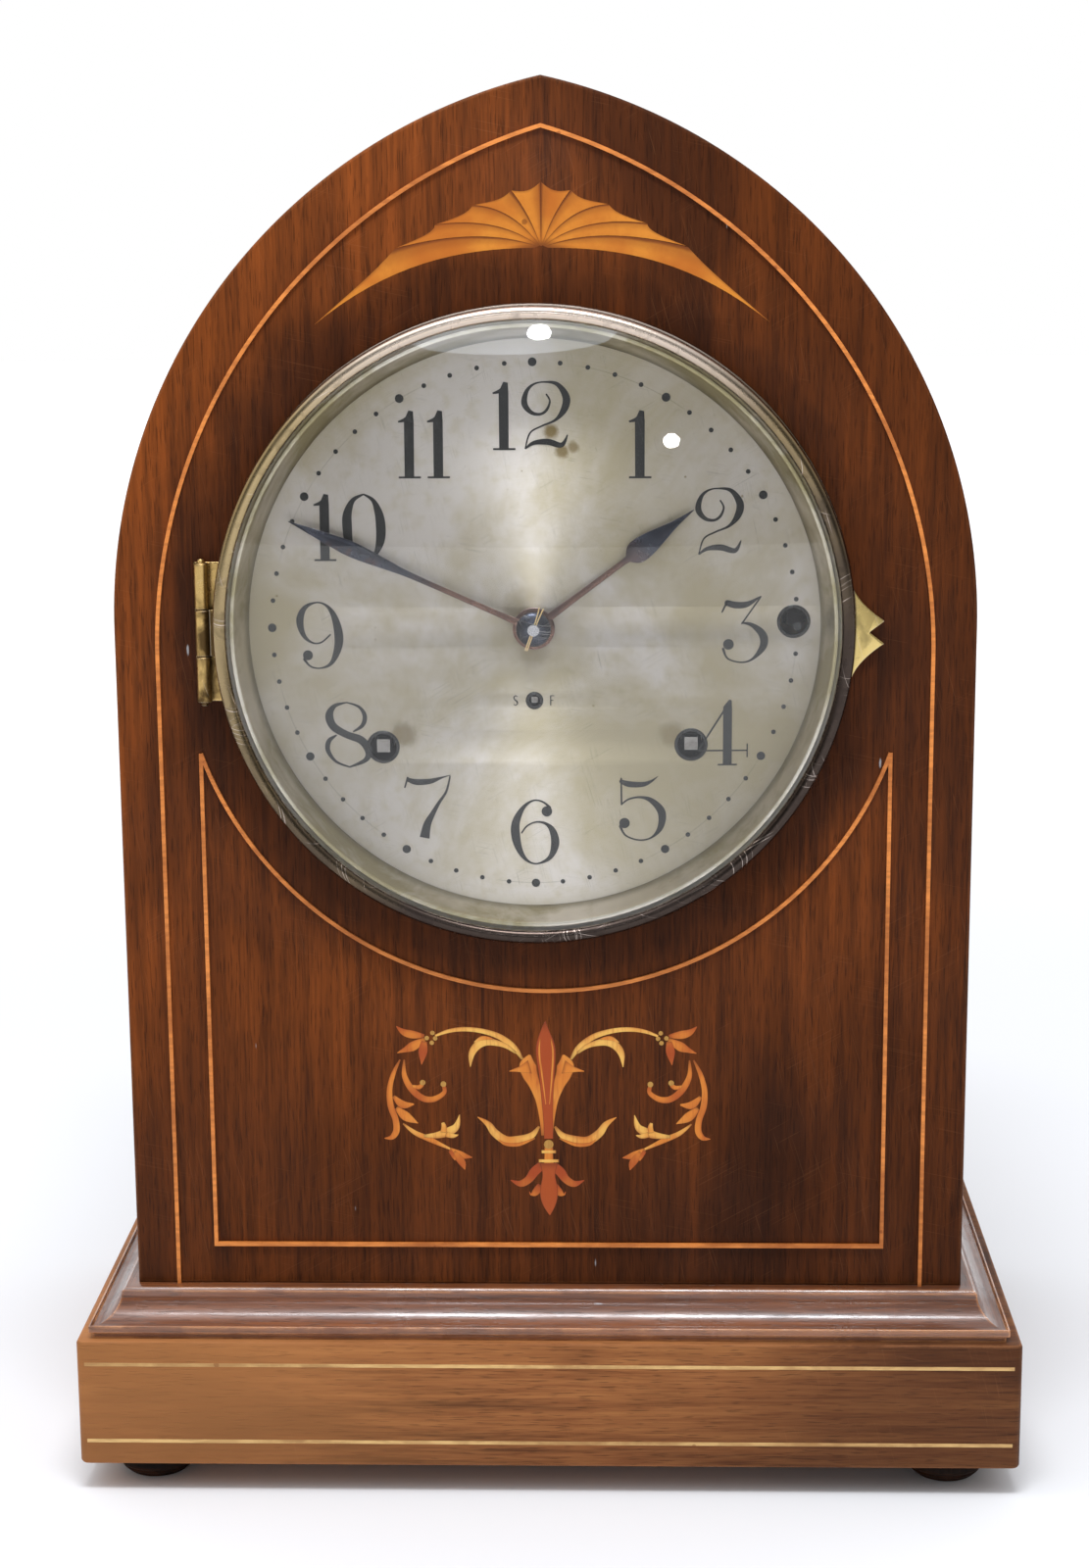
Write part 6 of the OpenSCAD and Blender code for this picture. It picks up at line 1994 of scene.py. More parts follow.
STROKES: dict[str, tuple[float, list[Stroke]]] = {
    "0": (0.64, [[(0.32, 0.99, 0.012), (0.16, 0.9, 0.035), (0.075, 0.7, 0.065), (0.07, 0.5, 0.072),
                  (0.09, 0.28, 0.06), (0.17, 0.08, 0.03), (0.32, 0.01, 0.012), (0.48, 0.1, 0.03),
                  (0.56, 0.3, 0.065), (0.57, 0.52, 0.072), (0.54, 0.72, 0.06), (0.46, 0.9, 0.03),
                  (0.32, 0.99, 0.012)]]),
    "1": (0.33, [[(0.16, 0.0, 0.07), (0.16, 0.86, 0.072)], [(0.16, 0.84, 0.072), (0.19, 0.99, 0.035)],
                 [(0.0, 0.83, 0.012), (0.12, 0.87, 0.03), (0.2, 0.98, 0.02)],
                 [(0, 0.012, 0.014), (0.33, 0.012, 0.014)]]),
    "2": (0.68, [[(0.36, 0.81, 0.012), (0.41, 0.71, 0.014), (0.36, 0.58, 0.02), (0.26, 0.52, 0.02),
                  (0.13, 0.55, 0.03), (0.035, 0.68, 0.045), (0.07, 0.855, 0.03), (0.17, 0.957, 0.016),
                  (0.32, 0.99, 0.012), (0.52, 0.957, 0.03), (0.65, 0.77, 0.055), (0.62, 0.59, 0.05),
                  (0.49, 0.435, 0.02), (0.29, 0.348, 0.013), (0.116, 0.246, 0.012), (0.043, 0.014, 0.01)],
                 [(0.043, 0.014, 0.01), (0.17, 0.1, 0.03), (0.377, 0.116, 0.045), (0.58, 0.07, 0.035),
                  (0.67, 0.22, 0.008)]]),
    "3": (0.69, [[(0.01, 0.766, 0.012), (0.09, 0.927, 0.015)],
                 [(0.09, 0.9, 0.045), (0.22, 0.868, 0.05), (0.39, 0.883, 0.04), (0.585, 1.0, 0.005)],
                 [(0.585, 0.99, 0.012), (0.307, 0.59, 0.012)],
                 [(0.307, 0.6, 0.012), (0.453, 0.57, 0.03), (0.614, 0.43, 0.058), (0.63, 0.254, 0.055),
                  (0.48, 0.064, 0.02), (0.307, 0.006, 0.012), (0.1, 0.064, 0.013), (0.03, 0.21, 0.02)]]),
    "4": (0.8, [[(0.488, 0.0, 0.067), (0.488, 0.9, 0.067)], [(0.488, 0.88, 0.067), (0.53, 1.0, 0.02)],
                [(0.533, 1.0, 0.015), (0.06, 0.245, 0.012)], [(0.03, 0.229, 0.011), (0.787, 0.229, 0.011)],
                [(0.787, 0.125, 0.01), (0.787, 0.335, 0.01)],
                [(0.345, 0.012, 0.012), (0.634, 0.012, 0.012)]]),
    "5": (0.7, [[(0.03, 0.965, 0.013), (0.035, 0.564, 0.013)],
                [(0.03, 0.92, 0.03), (0.145, 0.878, 0.045), (0.35, 0.872, 0.038), (0.48, 0.92, 0.02),
                 (0.587, 1.0, 0.003)],
                [(0.035, 0.564, 0.01), (0.145, 0.645, 0.013), (0.32, 0.674, 0.018), (0.494, 0.616, 0.04),
                 (0.64, 0.44, 0.06), (0.625, 0.21, 0.045), (0.494, 0.05, 0.015), (0.305, 0.006, 0.012),
                 (0.1, 0.078, 0.013), (0.015, 0.224, 0.02)]]),
    "6": (0.72, [[(0.577, 0.886, 0.02), (0.477, 0.97, 0.013), (0.335, 0.994, 0.012), (0.18, 0.886, 0.03),
                  (0.065, 0.66, 0.06), (0.06, 0.43, 0.067), (0.122, 0.205, 0.045), (0.236, 0.05, 0.02),
                  (0.39, 0.006, 0.012), (0.577, 0.105, 0.035), (0.656, 0.318, 0.062), (0.62, 0.517, 0.05),
                  (0.52, 0.63, 0.022), (0.378, 0.66, 0.012), (0.236, 0.6, 0.012), (0.15, 0.489, 0.012)]]),
    "7": (0.71, [[(0.01, 0.798, 0.012), (0.06, 0.966, 0.015)],
                 [(0.057, 0.927, 0.03), (0.187, 0.889, 0.045), (0.394, 0.9, 0.04), (0.575, 0.959, 0.015),
                  (0.71, 0.997, 0.004)],
                 [(0.7, 0.98, 0.012), (0.64, 0.746, 0.018), (0.523, 0.565, 0.025), (0.42, 0.383, 0.04),
                  (0.342, 0.228, 0.058), (0.298, 0.02, 0.075)]]),
    "8": (0.71, [[(0.334, 0.998, 0.01), (0.151, 0.944, 0.03), (0.066, 0.8, 0.06), (0.127, 0.627, 0.06),
                  (0.322, 0.505, 0.055), (0.54, 0.42, 0.06), (0.65, 0.26, 0.058), (0.6, 0.115, 0.035),
                  (0.358, 0.005, 0.012)],
                 [(0.358, 0.005, 0.012), (0.151, 0.09, 0.02), (0.034, 0.26, 0.035), (0.054, 0.407, 0.035),
                  (0.163, 0.493, 0.012)],
                 [(0.334, 0.998, 0.01), (0.517, 0.932, 0.02), (0.602, 0.798, 0.033), (0.566, 0.65, 0.03),
                  (0.43, 0.554, 0.012)]]),
    "9": (0.7, [[(0.11, 0.14, 0.02), (0.21, 0.03, 0.013), (0.37, 0.01, 0.012), (0.525, 0.094, 0.03),
                 (0.625, 0.328, 0.06), (0.634, 0.547, 0.065), (0.572, 0.797, 0.045),
                 (0.4625, 0.953, 0.02), (0.306, 1.0, 0.012), (0.134, 0.92, 0.035), (0.056, 0.734, 0.055),
                 (0.103, 0.516, 0.035), (0.228, 0.397, 0.015), (0.37, 0.397, 0.012),
                 (0.51, 0.516, 0.012)]]),
    "S": (0.5, [[(0.42, 0.86, 0.04), (0.26, 0.98, 0.04), (0.08, 0.82, 0.06), (0.16, 0.58, 0.06),
                 (0.36, 0.42, 0.07), (0.42, 0.2, 0.06), (0.24, 0.02, 0.04), (0.06, 0.14, 0.04)]]),
    "F": (0.5, [[(0.1, 0, 0.055), (0.1, 1, 0.055)], [(0.1, 0.97, 0.04), (0.46, 0.97, 0.04)],
                [(0.1, 0.52, 0.035), (0.36, 0.52, 0.035)]]),
}
# Characters whose strokes end square or in themselves, and so have no round ends
SQUARE_ENDS = "0147F"
# Ball of a numeral: place and radius as shares of its height
BALLS: dict[str, Triple] = {
    "3": (0.108, 0.278, 0.08),
    "5": (0.08, 0.273, 0.08),
    "6": (0.534, 0.824, 0.08),
    "9": (0.166, 0.203, 0.075),
}


@dataclass
class Dial:
    """Silvered plate with its numerals, dots and holes."""

    finishes: Finishes
    trees: Trees
    thickness: float = 1.0
    hub_hole: float = 4.5
    holes: tuple[Flat, ...] = ((39.9, -30.3), (-38.9, -30.8), (65.8, 1.3))
    hole_radius: float = 3.9
    regulator: Flat = (0.0, -18.7)
    regulator_radius: float = 1.9
    numeral_height: float = 17.0
    numeral_spacing: float = 0.1
    dot_ring: float = 66.75
    dot: float = 0.6
    large_dot: float = 1.1
    mark_height: float = 2.6
    marks: tuple[tuple[str, float], ...] = (("S", -4.8), ("F", 4.5))
    centres: tuple[Flat, ...] = (
        (26.9, 46.2), (46.7, 26.7), (53.3, -0.7), (47.7, -27.3), (27.5, -47.0), (0.0, -53.2),
        (-27.7, -46.6), (-47.7, -27.7), (-54.6, -2.0), (-46.4, 25.6), (-27.3, 46.4), (-0.5, 53.4),
    )

    def plate(self) -> None:
        """The dial plate."""
        outer = circle(LAYOUT.dial_x, LAYOUT.dial_z, LAYOUT.dial_r, 180)
        holes = [(0.0, 0.0, self.hub_hole), (*self.regulator, self.regulator_radius)]
        holes += [(x, z, self.hole_radius) for x, z in self.holes]
        loops = [outer] + [circle(*LAYOUT.on_dial(x, z), r, 64)[::-1] for x, z, r in holes]
        part = Part().plate(loops, LAYOUT.dial_v, LAYOUT.dial_v + self.thickness, 0.1)
        part.finish("silvered_dial", self.finishes.dial, "case", "dial_plate", "silvered_brass")

    def glyph(self, part: Part, mark: str, x: float, z: float, height: float) -> None:
        """Paint one character with its lower left corner at a point from the dial's centre.

        Args:
            part: The part that it is added to.
            mark: The character.
            x: Its left edge.
            z: Its foot.
            height: Its height.
        """
        v = LAYOUT.dial_v
        for number, stroke in enumerate(STROKES[mark][1]):
            fine = smooth(stroke, 7)
            placed = [(*LAYOUT.on_dial(x + a * height, z + b * height), w * height) for a, b, w in fine]
            part.veneer(ribbon(placed, 2), v - 0.09 - 0.002 * number, v + 0.02)
            for cx, cz, half in (placed[0], placed[-1]):
                if 0.2 < half < 1.0 and mark not in SQUARE_ENDS:
                    profile = [(0, -v + 0.09), (half, -v + 0.09), (half, -v), (0, -v)]
                    part.turned(profile, cx, cz, steps=20, closed=False)
        if mark in BALLS:
            a, b, radius = BALLS[mark]
            cx, cz = LAYOUT.on_dial(x + a * height, z + b * height)
            profile = [(0, -v + 0.1), (radius * height, -v + 0.1), (radius * height, -v), (0, -v)]
            part.turned(profile, cx, cz, steps=32, closed=False)

    def word(self, part: Part, marks: str, x: float, z: float, height: float) -> None:
        """Paint characters side by side with their middle at a point from the dial's centre.

        Args:
            part: The part that it is added to.
            marks: The characters.
            x: Their middle from side to side.
            z: Their middle in height.
            height: Their height.
        """
        widths = [STROKES[m][0] for m in marks]
        total = sum(widths) + self.numeral_spacing * (len(marks) - 1)
        start = x - total * height / 2
        for mark, width in zip(marks, widths, strict=True):
            self.glyph(part, mark, start, z - height / 2, height)
            start += (width + self.numeral_spacing) * height

    def figures(self) -> None:
        """Twelve numerals, the ring of dots, and the two marks by the regulator."""
        part = Part()
        for hour, (x, z) in enumerate(self.centres, 1):
            self.word(part, str(hour), x, z, self.numeral_height)
        for mark, x in self.marks:
            self.word(part, mark, x, self.regulator[1], self.mark_height)
        dots = self.trees.dots.grow(
            bpy.data.meshes.new("none"),
            Ring_Radius=self.dot_ring * MM,
            Dot_Radius=self.dot * MM,
            Large_Factor=self.large_dot / self.dot,
            Height=0.12 * MM,
            Material=self.finishes.figures,
        )
        dots.transform(Matrix.Rotation(math.pi / 2, 4, "Z"))
        part.absorb(stand_up(dots, LAYOUT.dial_v - PROUD, LAYOUT.dial_x, LAYOUT.dial_z))
        part.finish("dial_figures_inlaid", self.finishes.figures, "case", "dial_figures", "black_wax")

    def eyelets(self) -> None:
        """Black bushings of the holes."""
        part = Part()
        v = LAYOUT.dial_v
        places = [(*p, self.hole_radius) for p in self.holes]
        for x, z, radius in [*places, (*self.regulator, self.regulator_radius)]:
            bore, rim = radius - 0.5, radius + 0.35
            profile = [
                (bore, -v - 1.5), (bore, -v + 0.1), (bore + 0.12, -v + 0.25), (bore + 0.35, -v + 0.3)
            ]
            profile += [
                (rim - 0.25, -v + 0.25), (rim - 0.05, -v + 0.12), (rim, -v), (radius, -v),
                (radius, -v - 1.5)
            ]
            part.turned(profile, *LAYOUT.on_dial(x, z), steps=72)
        part.finish("hole_bushings", self.finishes.enamel, "case", "winding_eyelets", "black_enamel")

    def build(self) -> None:
        """Make every piece."""
        self.plate()
        self.figures()
        self.eyelets()


@dataclass
class Bezel:
    """Ring with its bead and pull tab, the silvered slope, the glass and the hinge."""

    finishes: Finishes
    trees: Trees
    lip: float = 81.9
    neck: float = 79.6
    bead: Triple = (79.7, 7.0, 1.8)
    bore: float = 78.5
    sight: float = 72.7
    glass: float = 78.4
    glass_front: float = 7.5
    glass_rise: float = 5.2
    glass_wall: float = 1.6
    tab_tip: Flat = (89.3, 2.9)
    tab_base: float = 80.6
    tab_long: float = 14.5
    tab_drop: float = 1.2
    tab_notch: float = 85.5
    tab_face: float = 1.65
    hinge: Flat = (-87.2, 2.2)
    hinge_z: float = -0.8
    leaf_long: float = 36.0
    moving_long: float = 12.0
    knuckle: float = 1.9
    pin: float = 0.9
    screw_step: float = 13.0
    moving_edge: float = -82.2

    def turn(self, profile: Sequence[Flat], closed: bool = True) -> Part:
        """Turn a profile about the dial's centre."""
        return Part().turned(profile, LAYOUT.dial_x, LAYOUT.dial_z, steps=256, closed=closed)

    def ring(self) -> None:
        """Lip, neck and bead."""
        r, d, bead = self.bead
        profile = [
            (self.bore, 0.3), (self.lip - 0.3, 0.3), (self.lip, 0.55), (self.lip, 1.25),
            (self.lip - 0.15, 1.55)
        ]
        profile += [
            (self.lip - 0.5, 1.7), (80.6, 1.7), (80.0, 1.8), (79.72, 2.1), (self.neck, 2.6),
            (self.neck, 4.9)
        ]
        for k in range(19):
            a = math.radians(-84 + 244 * k / 18)
            profile.append((r + bead * math.cos(a), d + bead * math.sin(a)))
        profile += [(78.05, 7.62), (self.bore, 7.6)]
        part = self.turn(profile)
        flank = []
        tip_x, tip_z = self.tab_tip
        for k in range(13):
            s = k / 12
            share = 1 - (1 - s) ** 2
            x = tip_x + (self.tab_base - tip_x) * share
            flank.append((x, tip_z + (self.tab_long - tip_z) * s))
        upper = [(x, z, 0.5 if 0 < k < 12 else 0.35) for k, (x, z) in enumerate(flank)]
        outline = [(self.tab_notch, 0.0, 0.3), *upper, (79.8, self.tab_long, 0), (79.8, -self.tab_long, 0)]
        outline += [(x, -z, q) for x, z, q in reversed(upper)]
        shaped = [LAYOUT.on_dial(x, z - self.tab_drop) for x, z in filleted(outline, 3)]
        part.plate([shaped], -self.tab_face, -0.5, 0.3, 3)
        part.finish(
            "bezel_with_tab", self.finishes.bezel, "bezel", "bezel_ring", "tarnished_bezel", 40
        )

    def reflector(self) -> None:
        """Silvered slope, with a narrow rim against the glass."""
        profile = [
            (78.3, 5.3), (78.3, 5.5), (77.6, 5.5), (77.3, 5.6), (77.15, 5.85), (76.7, 5.95), (76.2, 5.85)
        ]
        profile += [
            (75.9, 5.35), (75.5, 4.0), (73.4, -3.6), (self.sight, -5.35), (self.sight, -5.6), (73.2, -5.6),
            (77.8, 5.3)
        ]
        part = self.turn(profile)
        part.finish("silvered_slope", self.finishes.ring, "bezel", "reflector_ring", "silvered_ring", 30)

    def pane(self) -> None:
        """Convex glass."""
        big = (self.glass**2 + self.glass_rise**2) / (2 * self.glass_rise)
        front, inner = [], []
        for k in range(25):
            radius = self.glass * k / 24
            sag = big - math.sqrt(big * big - radius * radius)
            crown = self.glass_front + self.glass_rise - sag
            front.append((radius, crown))
            inner.append((radius, crown - self.glass_wall))
        part = self.turn(front + inner[::-1], closed=False)
        part.finish("convex_glass", self.finishes.glass, "bezel", "dial_glass", "dial_glass", 40)

    def knuckles(self, part: Part, low: float, high: float, radius: float) -> None:
        """Upright barrel of the hinge between two heights from its middle.

        Args:
            part: The part that it is added to.
            low: Lower end.
            high: Upper end.
            radius: Radius of the barrel.
        """
        base = LAYOUT.dial_z + self.hinge_z
        inner = radius - 0.25
        profile = [(0, low), (inner, low), (radius, low + 0.25)]
        profile += [(radius, high - 0.25), (inner, high), (0, high)]
        shifted = [(r, base + z) for r, z in profile]
        part.turned(shifted, self.hinge[0], -self.hinge[1], Axis.UPRIGHT, 48, closed=False)

    def box(self, part: Part, x: Flat, z: Flat, v: Flat, edge: float) -> None:
        """Flat bar with eased edges."""
        corners = [(x[0], z[0], 0.5), (x[1], z[0], 0.5), (x[1], z[1], 0.5), (x[0], z[1], 0.5)]
        part.plate([filleted(corners, 3)], v[0], v[1], edge)

    def screw(self) -> Mesh:
        """Slotted screw head, drawn lying on the front.

        Returns:
            The mesh.
        """
        part = Part()
        part.turned(
            [(0, 0.16), (0.9, 0.16), (1.35, 0.1), (1.5, -0.1), (0, -0.1)], 0, 0, steps=32, closed=False
        )
        slot = [(-1.2, -0.16), (1.2, -0.16), (1.2, 0.16), (-1.2, 0.16)]
        part.plate([slot], -0.175, 0.0)
        mesh = part.close("screw")
        mesh.transform(Matrix.Translation(-LAYOUT.place(0, 0, 0)))
        return mesh

    def leaves(self) -> None:
        """The hinge: a leaf on the front board and a leaf on the bezel."""
        x = self.hinge[0]
        z = LAYOUT.dial_z + self.hinge_z
        long, short = self.leaf_long / 2, self.moving_long / 2
        fixed = Part()
        self.box(fixed, (x - 2.2, x + 7.8), (z - long, z + long), (-0.12, 0.85), 0.12)
        for side in (-1, 1):
            ends = sorted((side * (short + 0.1), side * long))
            self.knuckles(fixed, ends[0], ends[1], self.knuckle)
            self.box(fixed, (x - 1.2, x + 1.2), (z + ends[0], z + ends[1]), (-self.hinge[1], 0.1), 0.05)
        self.knuckles(fixed, -long - 1, long + 1, self.pin)
        step = self.screw_step
        screws = self.trees.row.grow(
            self.screw(), Count=3, Step=step * MM, Seed=5, Material=self.finishes.fixing
        )
        screws.transform(Matrix.Translation(LAYOUT.place(x + 4.7, -0.12, z - step)))
        fixed.absorb(screws)
        fixed.finish(
            "hinge_leaf_on_board", self.finishes.hinge, "case", "bezel_hinge_fixed_leaf", "hinge_brass"
        )
        moving = Part()
        self.knuckles(moving, -short, short, self.knuckle)
        self.box(moving, (x, self.moving_edge), (z - short, z + short), (-2.6, -1.7), 0.2)
        moving.finish(
            "hinge_leaf_on_bezel", self.finishes.hinge, "bezel", "bezel_hinge_moving_leaf", "hinge_brass"
        )

    def build(self) -> None:
        """Make every piece."""
        self.ring()
        self.reflector()
        self.pane()
        self.leaves()


@dataclass
class Hands:
    """Two spade hands of blued steel, the washer and the split pin that hold them."""

    finishes: Finishes
    minute_turn: float = 294.0
    hour_turn: float = 53.5
    minute_v: float = 1.2
    hour_v: float = 3.1
    section: tuple[Flat, ...] = (
        (-1, 0.26), (-0.75, 0.1), (-0.35, 0.02), (0, 0), (0.35, 0.02), (0.75, 0.1), (1, 0.26),
        (1, 0.42), (0, 0.48), (-1, 0.42),
    )
    strip: tuple[Flat, ...] = (
        (-0.13, -0.3), (0.13, -0.3), (0.17, 0), (0.13, 0.3), (-0.13, 0.3), (-0.17, 0),
    )
    minute: tuple[Flat, ...] = (
        (3.0, 1.0), (10, 0.72), (24, 0.66), (34, 0.75), (40, 1.2), (46, 1.75), (51, 1.95), (56, 1.5),
        (61, 0.9), (65, 0.4), (67.7, 0.1),
    )
    hour: tuple[Flat, ...] = (
        (4.2, 1.05), (12, 0.85), (22, 0.75), (28.9, 0.8), (30.2, 1.6), (31.2, 2.5), (32.6, 2.95),
        (34.5, 2.95), (37, 2.6), (40, 1.9), (43.5, 1.1), (47, 0.5), (50.3, 0.1),
    )

    def blade(self, part: Part, widths: Sequence[Flat], turn: float, v: float) -> None:
        """A hand with a low ridge, from its hub to its tip.

        Args:
            part: The part that it is added to.
            widths: Half width at each distance from the middle.
            turn: Direction, clockwise from twelve.
            v: Distance of its face behind the front.
        """
        a = math.radians(turn)
        ahead, side = (math.sin(a), math.cos(a)), (math.cos(a), -math.sin(a))
        rows = []
        for along, half in smooth(widths, 5):
            half = max(half, 0.08)
            row = []
            for s, deep in self.section:
                x = ahead[0] * along + side[0] * half * s
                z = ahead[1] * along + side[1] * half * s
                row.append(LAYOUT.place(LAYOUT.dial_x + x, v + deep, LAYOUT.dial_z + z))
            rows.append(row)
        part.skin(rows)

    def hub(self, part: Part, radius: float, bore: float, v: float) -> None:
        """Round boss of a hand.

        Args:
            part: The part that it is added to.
            radius: Outer radius.
            bore: Radius of the hole.
            v: Distance of its face behind the front.
        """
        profile = [
            (bore, -v - 0.45), (bore, -v - 0.02), (radius - 1.0, -v - 0.02), (radius - 0.3, -v - 0.1)
        ]
        profile += [(radius, -v - 0.3), (radius - 0.1, -v - 0.48)]
        part.turned(profile, LAYOUT.dial_x, LAYOUT.dial_z, steps=96)

    def build(self) -> None:
        """Make every piece."""
        minute = Part()
        self.blade(minute, self.minute, self.minute_turn, self.minute_v)
        self.hub(minute, 4.15, 1.6, self.minute_v)
        minute.finish("long_hand", self.finishes.hands, "minute_body", "minute_hand", "blued_steel", 50)
        hour = Part()
        self.blade(hour, self.hour, self.hour_turn, self.hour_v)
        self.hub(hour, 5.35, 2.6, self.hour_v)
        hour.finish("short_hand", self.finishes.hands, "hour_body", "hour_hand", "blued_steel", 50)
        washer = [
            (1.45, -1.2), (1.45, 0.15), (1.9, 0.12), (2.9, -0.1), (3.8, -0.5), (4.3, -0.9), (4.4, -1.1),
            (4.3, -1.2)
        ]
        part = Part().turned(washer, LAYOUT.dial_x, LAYOUT.dial_z, steps=96)
        part.finish("domed_washer", self.finishes.washer, "minute_body", "hand_washer", "dark_brass")
        self.split_pin()

    def split_pin(self) -> None:
        """Two thin brass strips side by side through the post, a little apart at their ends."""
        part = Part()
        tilt = math.radians(20)
        for side in (-1, 1):
            rows = []
            for k in range(15):
                along = -5.6 + 11.5 * k / 14
                apart = side * (0.24 + (0.3 * ((along - 1) / 5) ** 2 if along > 1 else 0))
                row = []
                for dx, dv in self.strip:
                    off = apart + dx
                    x = math.sin(tilt) * along + math.cos(tilt) * off
                    z = math.cos(tilt) * along - math.sin(tilt) * off
                    row.append(LAYOUT.place(LAYOUT.dial_x + x, -0.25 + dv, LAYOUT.dial_z + z))
                rows.append(row)
            part.skin(rows)
        part.finish("split_pin", self.finishes.pin, "minute_body", "taper_pin", "pin_brass")


@dataclass
class Works:
    """Nodes that keep their own solids and only take a finish, and the turned knob of the back door."""

    finishes: Finishes
    knob: Triple = (-74.5, 143.0, -60.0)

    def groups(self) -> dict[str, Material]:
        """Finish of each kept node.

        Returns:
            Material by the node's name.
        """
        f = self.finishes
        named = {
            f.rear: "back_frame back_door",
            f.plates: "movement_front_plate chime_front_plate",
            f.movement: "hour_wheel minute_wheel movement_back_plate time_barrel time_second_wheel "
            "centre_wheel third_wheel escape_wheel suspension strike_barrel strike_lifting_wheel "
            "strike_fly chime_back_plate chime_barrel chime_pin_drum chime_fly",
            f.arbor: "cannon_pipe verge",
            f.winding: "regulator_arbor time_winding_arbor strike_winding_arbor chime_winding_arbor",
            f.fixing: "movement_fixings",
            f.pendulum: "pendulum",
            f.hammer: "strike_hammer chime_hammer_1 chime_hammer_2 chime_hammer_3 chime_hammer_4",
            f.softwood: "chime_shelf bell_stand",
            f.bronze: "bells",
            f.hinge: "door_hinge_fixed_leaves door_hinge_moving_leaves",
        }
        return {name: material for material, names in named.items() for name in names.split()}

    def build(self) -> None:
        """Dress the kept nodes and turn the knob."""
        for name, material in self.groups().items():
            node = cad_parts[name]
            if not node.material_slots:
                node.data.materials.append(material)
            for place in node.material_slots:
                place.material = material
            log.info("%s: dressed with %s", name, material.name)
        x, v, z = self.knob
        profile = [
            (0, 0), (2, 0), (2, 7), (4.3, 7), (4.5, 7.3), (4.5, 7.7), (4.0, 8.0), (2.9, 8.1), (2.6, 8.6),
            (2.6, 9.2)
        ]
        profile += [(3.4, 9.5), (4.6, 9.9), (5.0, 10.7), (5.0, 11.4), (4.5, 12.2), (3.0, 12.7), (0, 12.8)]
        part = Part().turned(
            [(r, -v - d) for r, d in profile], x, LAYOUT.dial_z + z, steps=72, closed=False
        )
        part.finish("turned_knob", self.finishes.knob, "rear_door", "door_knob", "knob_brass")


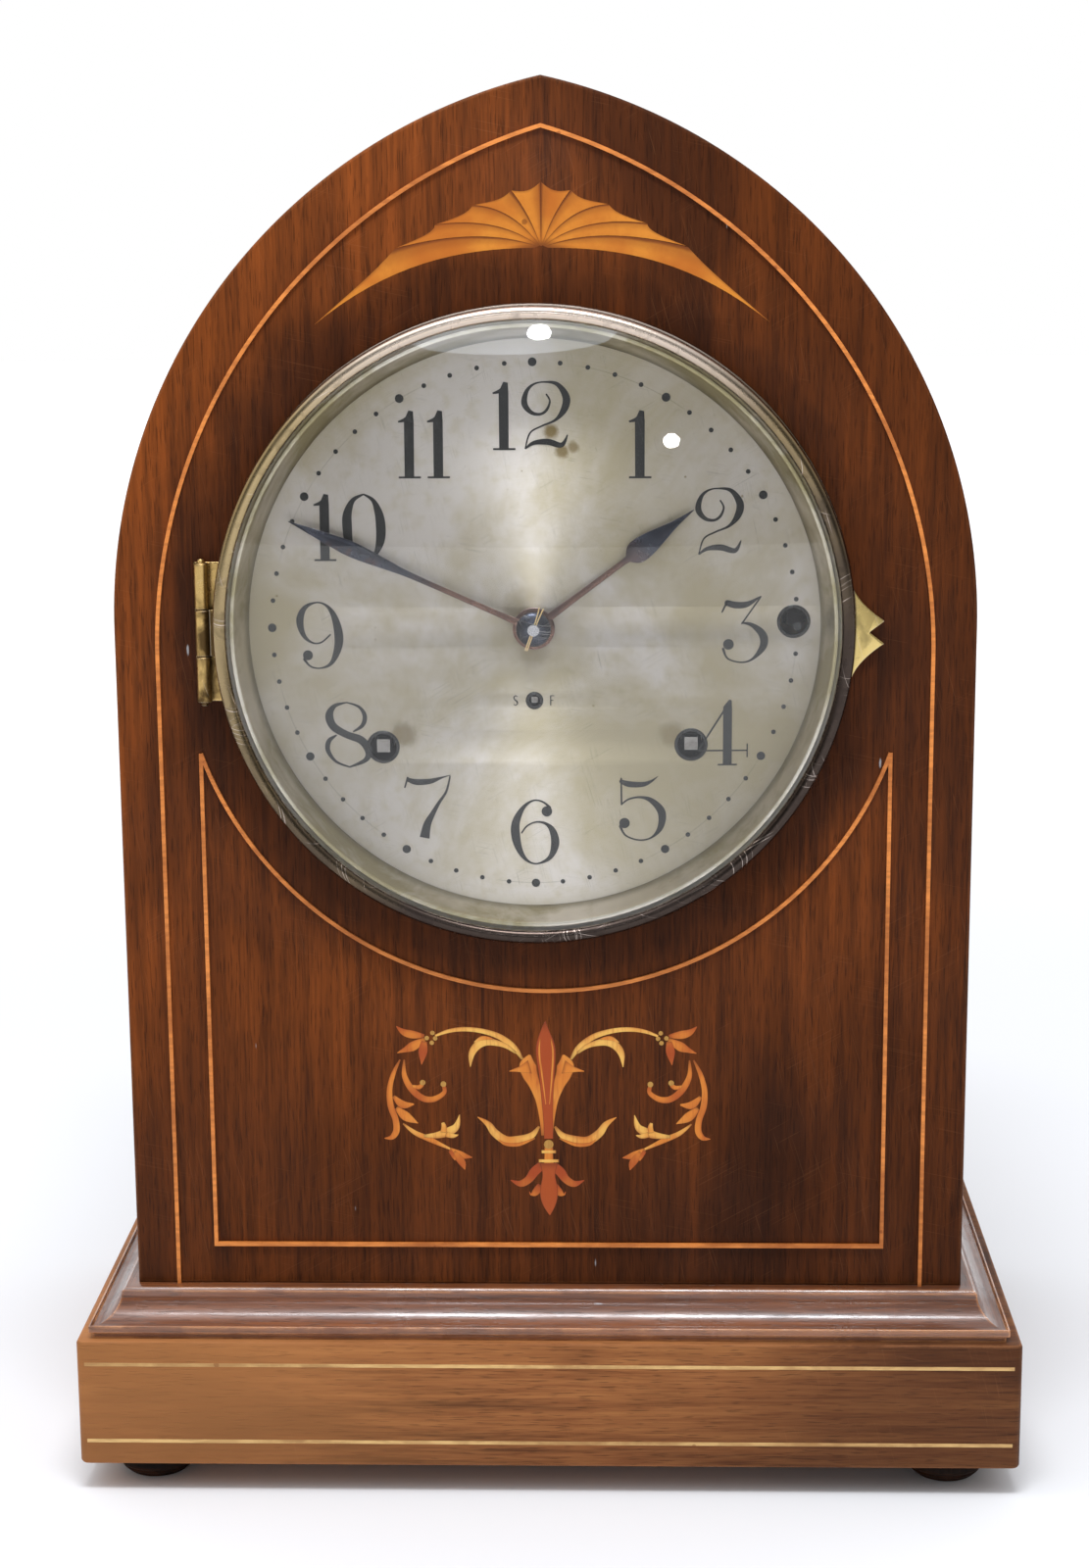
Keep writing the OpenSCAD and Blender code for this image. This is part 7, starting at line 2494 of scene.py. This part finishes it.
@dataclass
class Studio:
    """Camera, lights, sky and floor."""

    eye: Triple = (0.02017, -0.76825, 0.33535)
    yaw: float = -0.0290432
    pitch: float = 0.2028805
    roll: float = 0.00675087
    lens: float = 63.12

    def camera(self) -> None:
        """Camera at the photograph's place."""
        data = bpy.data.cameras.new("camera")
        data.lens, data.sensor_width, data.sensor_fit = self.lens, 36.0, "AUTO"
        data.clip_start, data.clip_end = 0.01, 100
        level = math.cos(self.pitch)
        x, y = math.sin(self.yaw) * level, math.cos(self.yaw) * level
        ahead = Vector((x, y, -math.sin(self.pitch)))
        right = Vector((math.cos(self.yaw), -math.sin(self.yaw), 0))
        down = ahead.cross(right)
        rolled = math.cos(self.roll) * right + math.sin(self.roll) * down
        below = -math.sin(self.roll) * right + math.cos(self.roll) * down
        camera = link("camera", data)
        turned = Matrix((rolled, -below, -ahead)).transposed().to_4x4()
        camera.matrix_world = Matrix.Translation(self.eye) @ turned
        bpy.context.scene.camera = camera

    def light(
        self,
        name: str,
        place: Triple,
        aim: Triple,
        size: Flat,
        power: float,
        colour: Triple = (1, 1, 1),
    ) -> None:
        """Soft oval light aimed at a point.

        Args:
            name: Name of the light.
            place: Where it stands, in metres.
            aim: Point that it looks at.
            size: Width and height.
            power: Watts.
            colour: Colour of its light.
        """
        data = bpy.data.lights.new(name, "AREA")
        data.color = colour
        data.shape, data.size, data.size_y, data.energy = "ELLIPSE", size[0], size[1], power
        lamp = link(name, data)
        lamp.location = place
        lamp.rotation_euler = (Vector(aim) - Vector(place)).to_track_quat("-Z", "Y").to_euler()

    def lights(self) -> None:
        """Large soft light above, small ones in front that show in the glass."""
        self.light("overhead", (-0.25, -0.5, 1.35), (0, 0, 0.15), (1.3, 0.9), 4, (0.93, 0.96, 1))
        self.light("strip", (0.0, -0.5, 1.25), (0, 0, 0.06), (0.6, 0.2), 9, (0.93, 0.96, 1))
        self.light("window", (-0.028, -1.252, 0.56), (0, -0.08, 0.26), (0.04, 0.022), 0.4, (0.9, 0.94, 1))
        self.light("haze", (-0.1, -1.252, 0.57), (0, -0.08, 0.26), (0.42, 0.09), 0.5, (0.8, 0.88, 1))
        self.light("lamp", (0.194, -1.266, 0.381), (0, -0.08, 0.26), (0.028, 0.024), 0.12)
        self.light("left_fill", (-1.1, -0.3, 0.7), (0, 0, 0.2), (0.8, 1.0), 1.3, (1, 0.93, 0.82))
        self.light("right_fill", (1.1, -0.2, 0.6), (0, 0, 0.2), (0.8, 1.0), 1.0, (1, 0.93, 0.82))

    def sky(self) -> None:
        """Near-white surroundings, dimmer where they only light the clock."""
        world = bpy.data.worlds.new("surroundings")
        world.use_nodes = True
        world.node_tree.nodes.clear()
        n = Nodes(world.node_tree)
        direction = n.add("ShaderNodeTexCoord").outputs["Generated"]
        apart = n.add("ShaderNodeSeparateXYZ", {0: direction}).outputs
        open_side = n.most(n.between(apart[2], 0.3, 0.8), n.between(apart[1], -0.2, 0.5))
        lit = n.mix(open_side, (0.11, 0.106, 0.095, 1), (0.95, 0.97, 1, 1))
        seen = n.add("ShaderNodeLightPath").outputs["Is Camera Ray"]
        colour = n.mix(seen, lit, (1, 1, 1, 1))
        shade = n.add("ShaderNodeBackground", {"Color": colour, "Strength": 1.0})
        n.add("ShaderNodeOutputWorld", {0: shade})
        bpy.context.scene.world = world

    def floor(self) -> None:
        """Plain pale floor."""
        part = Part()
        reach = 6.0
        spots = [(-reach, -reach), (reach, -reach), (reach, reach), (-reach, reach)]
        part.form.faces.new(part.points([Vector((x, y, 0)) for x, y in spots]))
        mesh = part.close("floor")
        paint = Paint("pale floor")
        n = paint.nodes
        pale = n.mix(n.noise(paint.place, 3, 2), (0.78, 0.78, 0.795, 1), (0.8, 0.8, 0.815, 1))
        away = n.length(paint.place)
        glow = n.mix(n.between(away, 0.3, 1.4), (0, 0, 0, 1), (1, 1, 1, 1))
        paint.set(Base_Color=pale, Roughness=0.8, Specular_IOR_Level=0.0)
        paint.set(Emission_Color=glow, Emission_Strength=0.55)
        mesh.materials.append(paint.material)
        link("floor", mesh)

    def build(self) -> None:
        """Set everything up."""
        self.camera()
        self.lights()
        self.sky()
        self.floor()
        bpy.context.scene.view_settings.view_transform = "Standard"


def main() -> None:
    """Build the clock's pieces in order, and the studio."""
    logging.basicConfig(level=logging.INFO, format="%(message)s")
    studio, finishes, trees = Studio(), Finishes(), Trees()
    studio.build()
    Plinth(finishes, trees).build()
    Case(finishes, trees).build()
    Fan(finishes).build()
    Scroll(finishes).build()
    Dial(finishes, trees).build()
    Bezel(finishes, trees).build()
    Hands(finishes).build()
    Works(finishes).build()


if __name__ == "__main__":
    main()
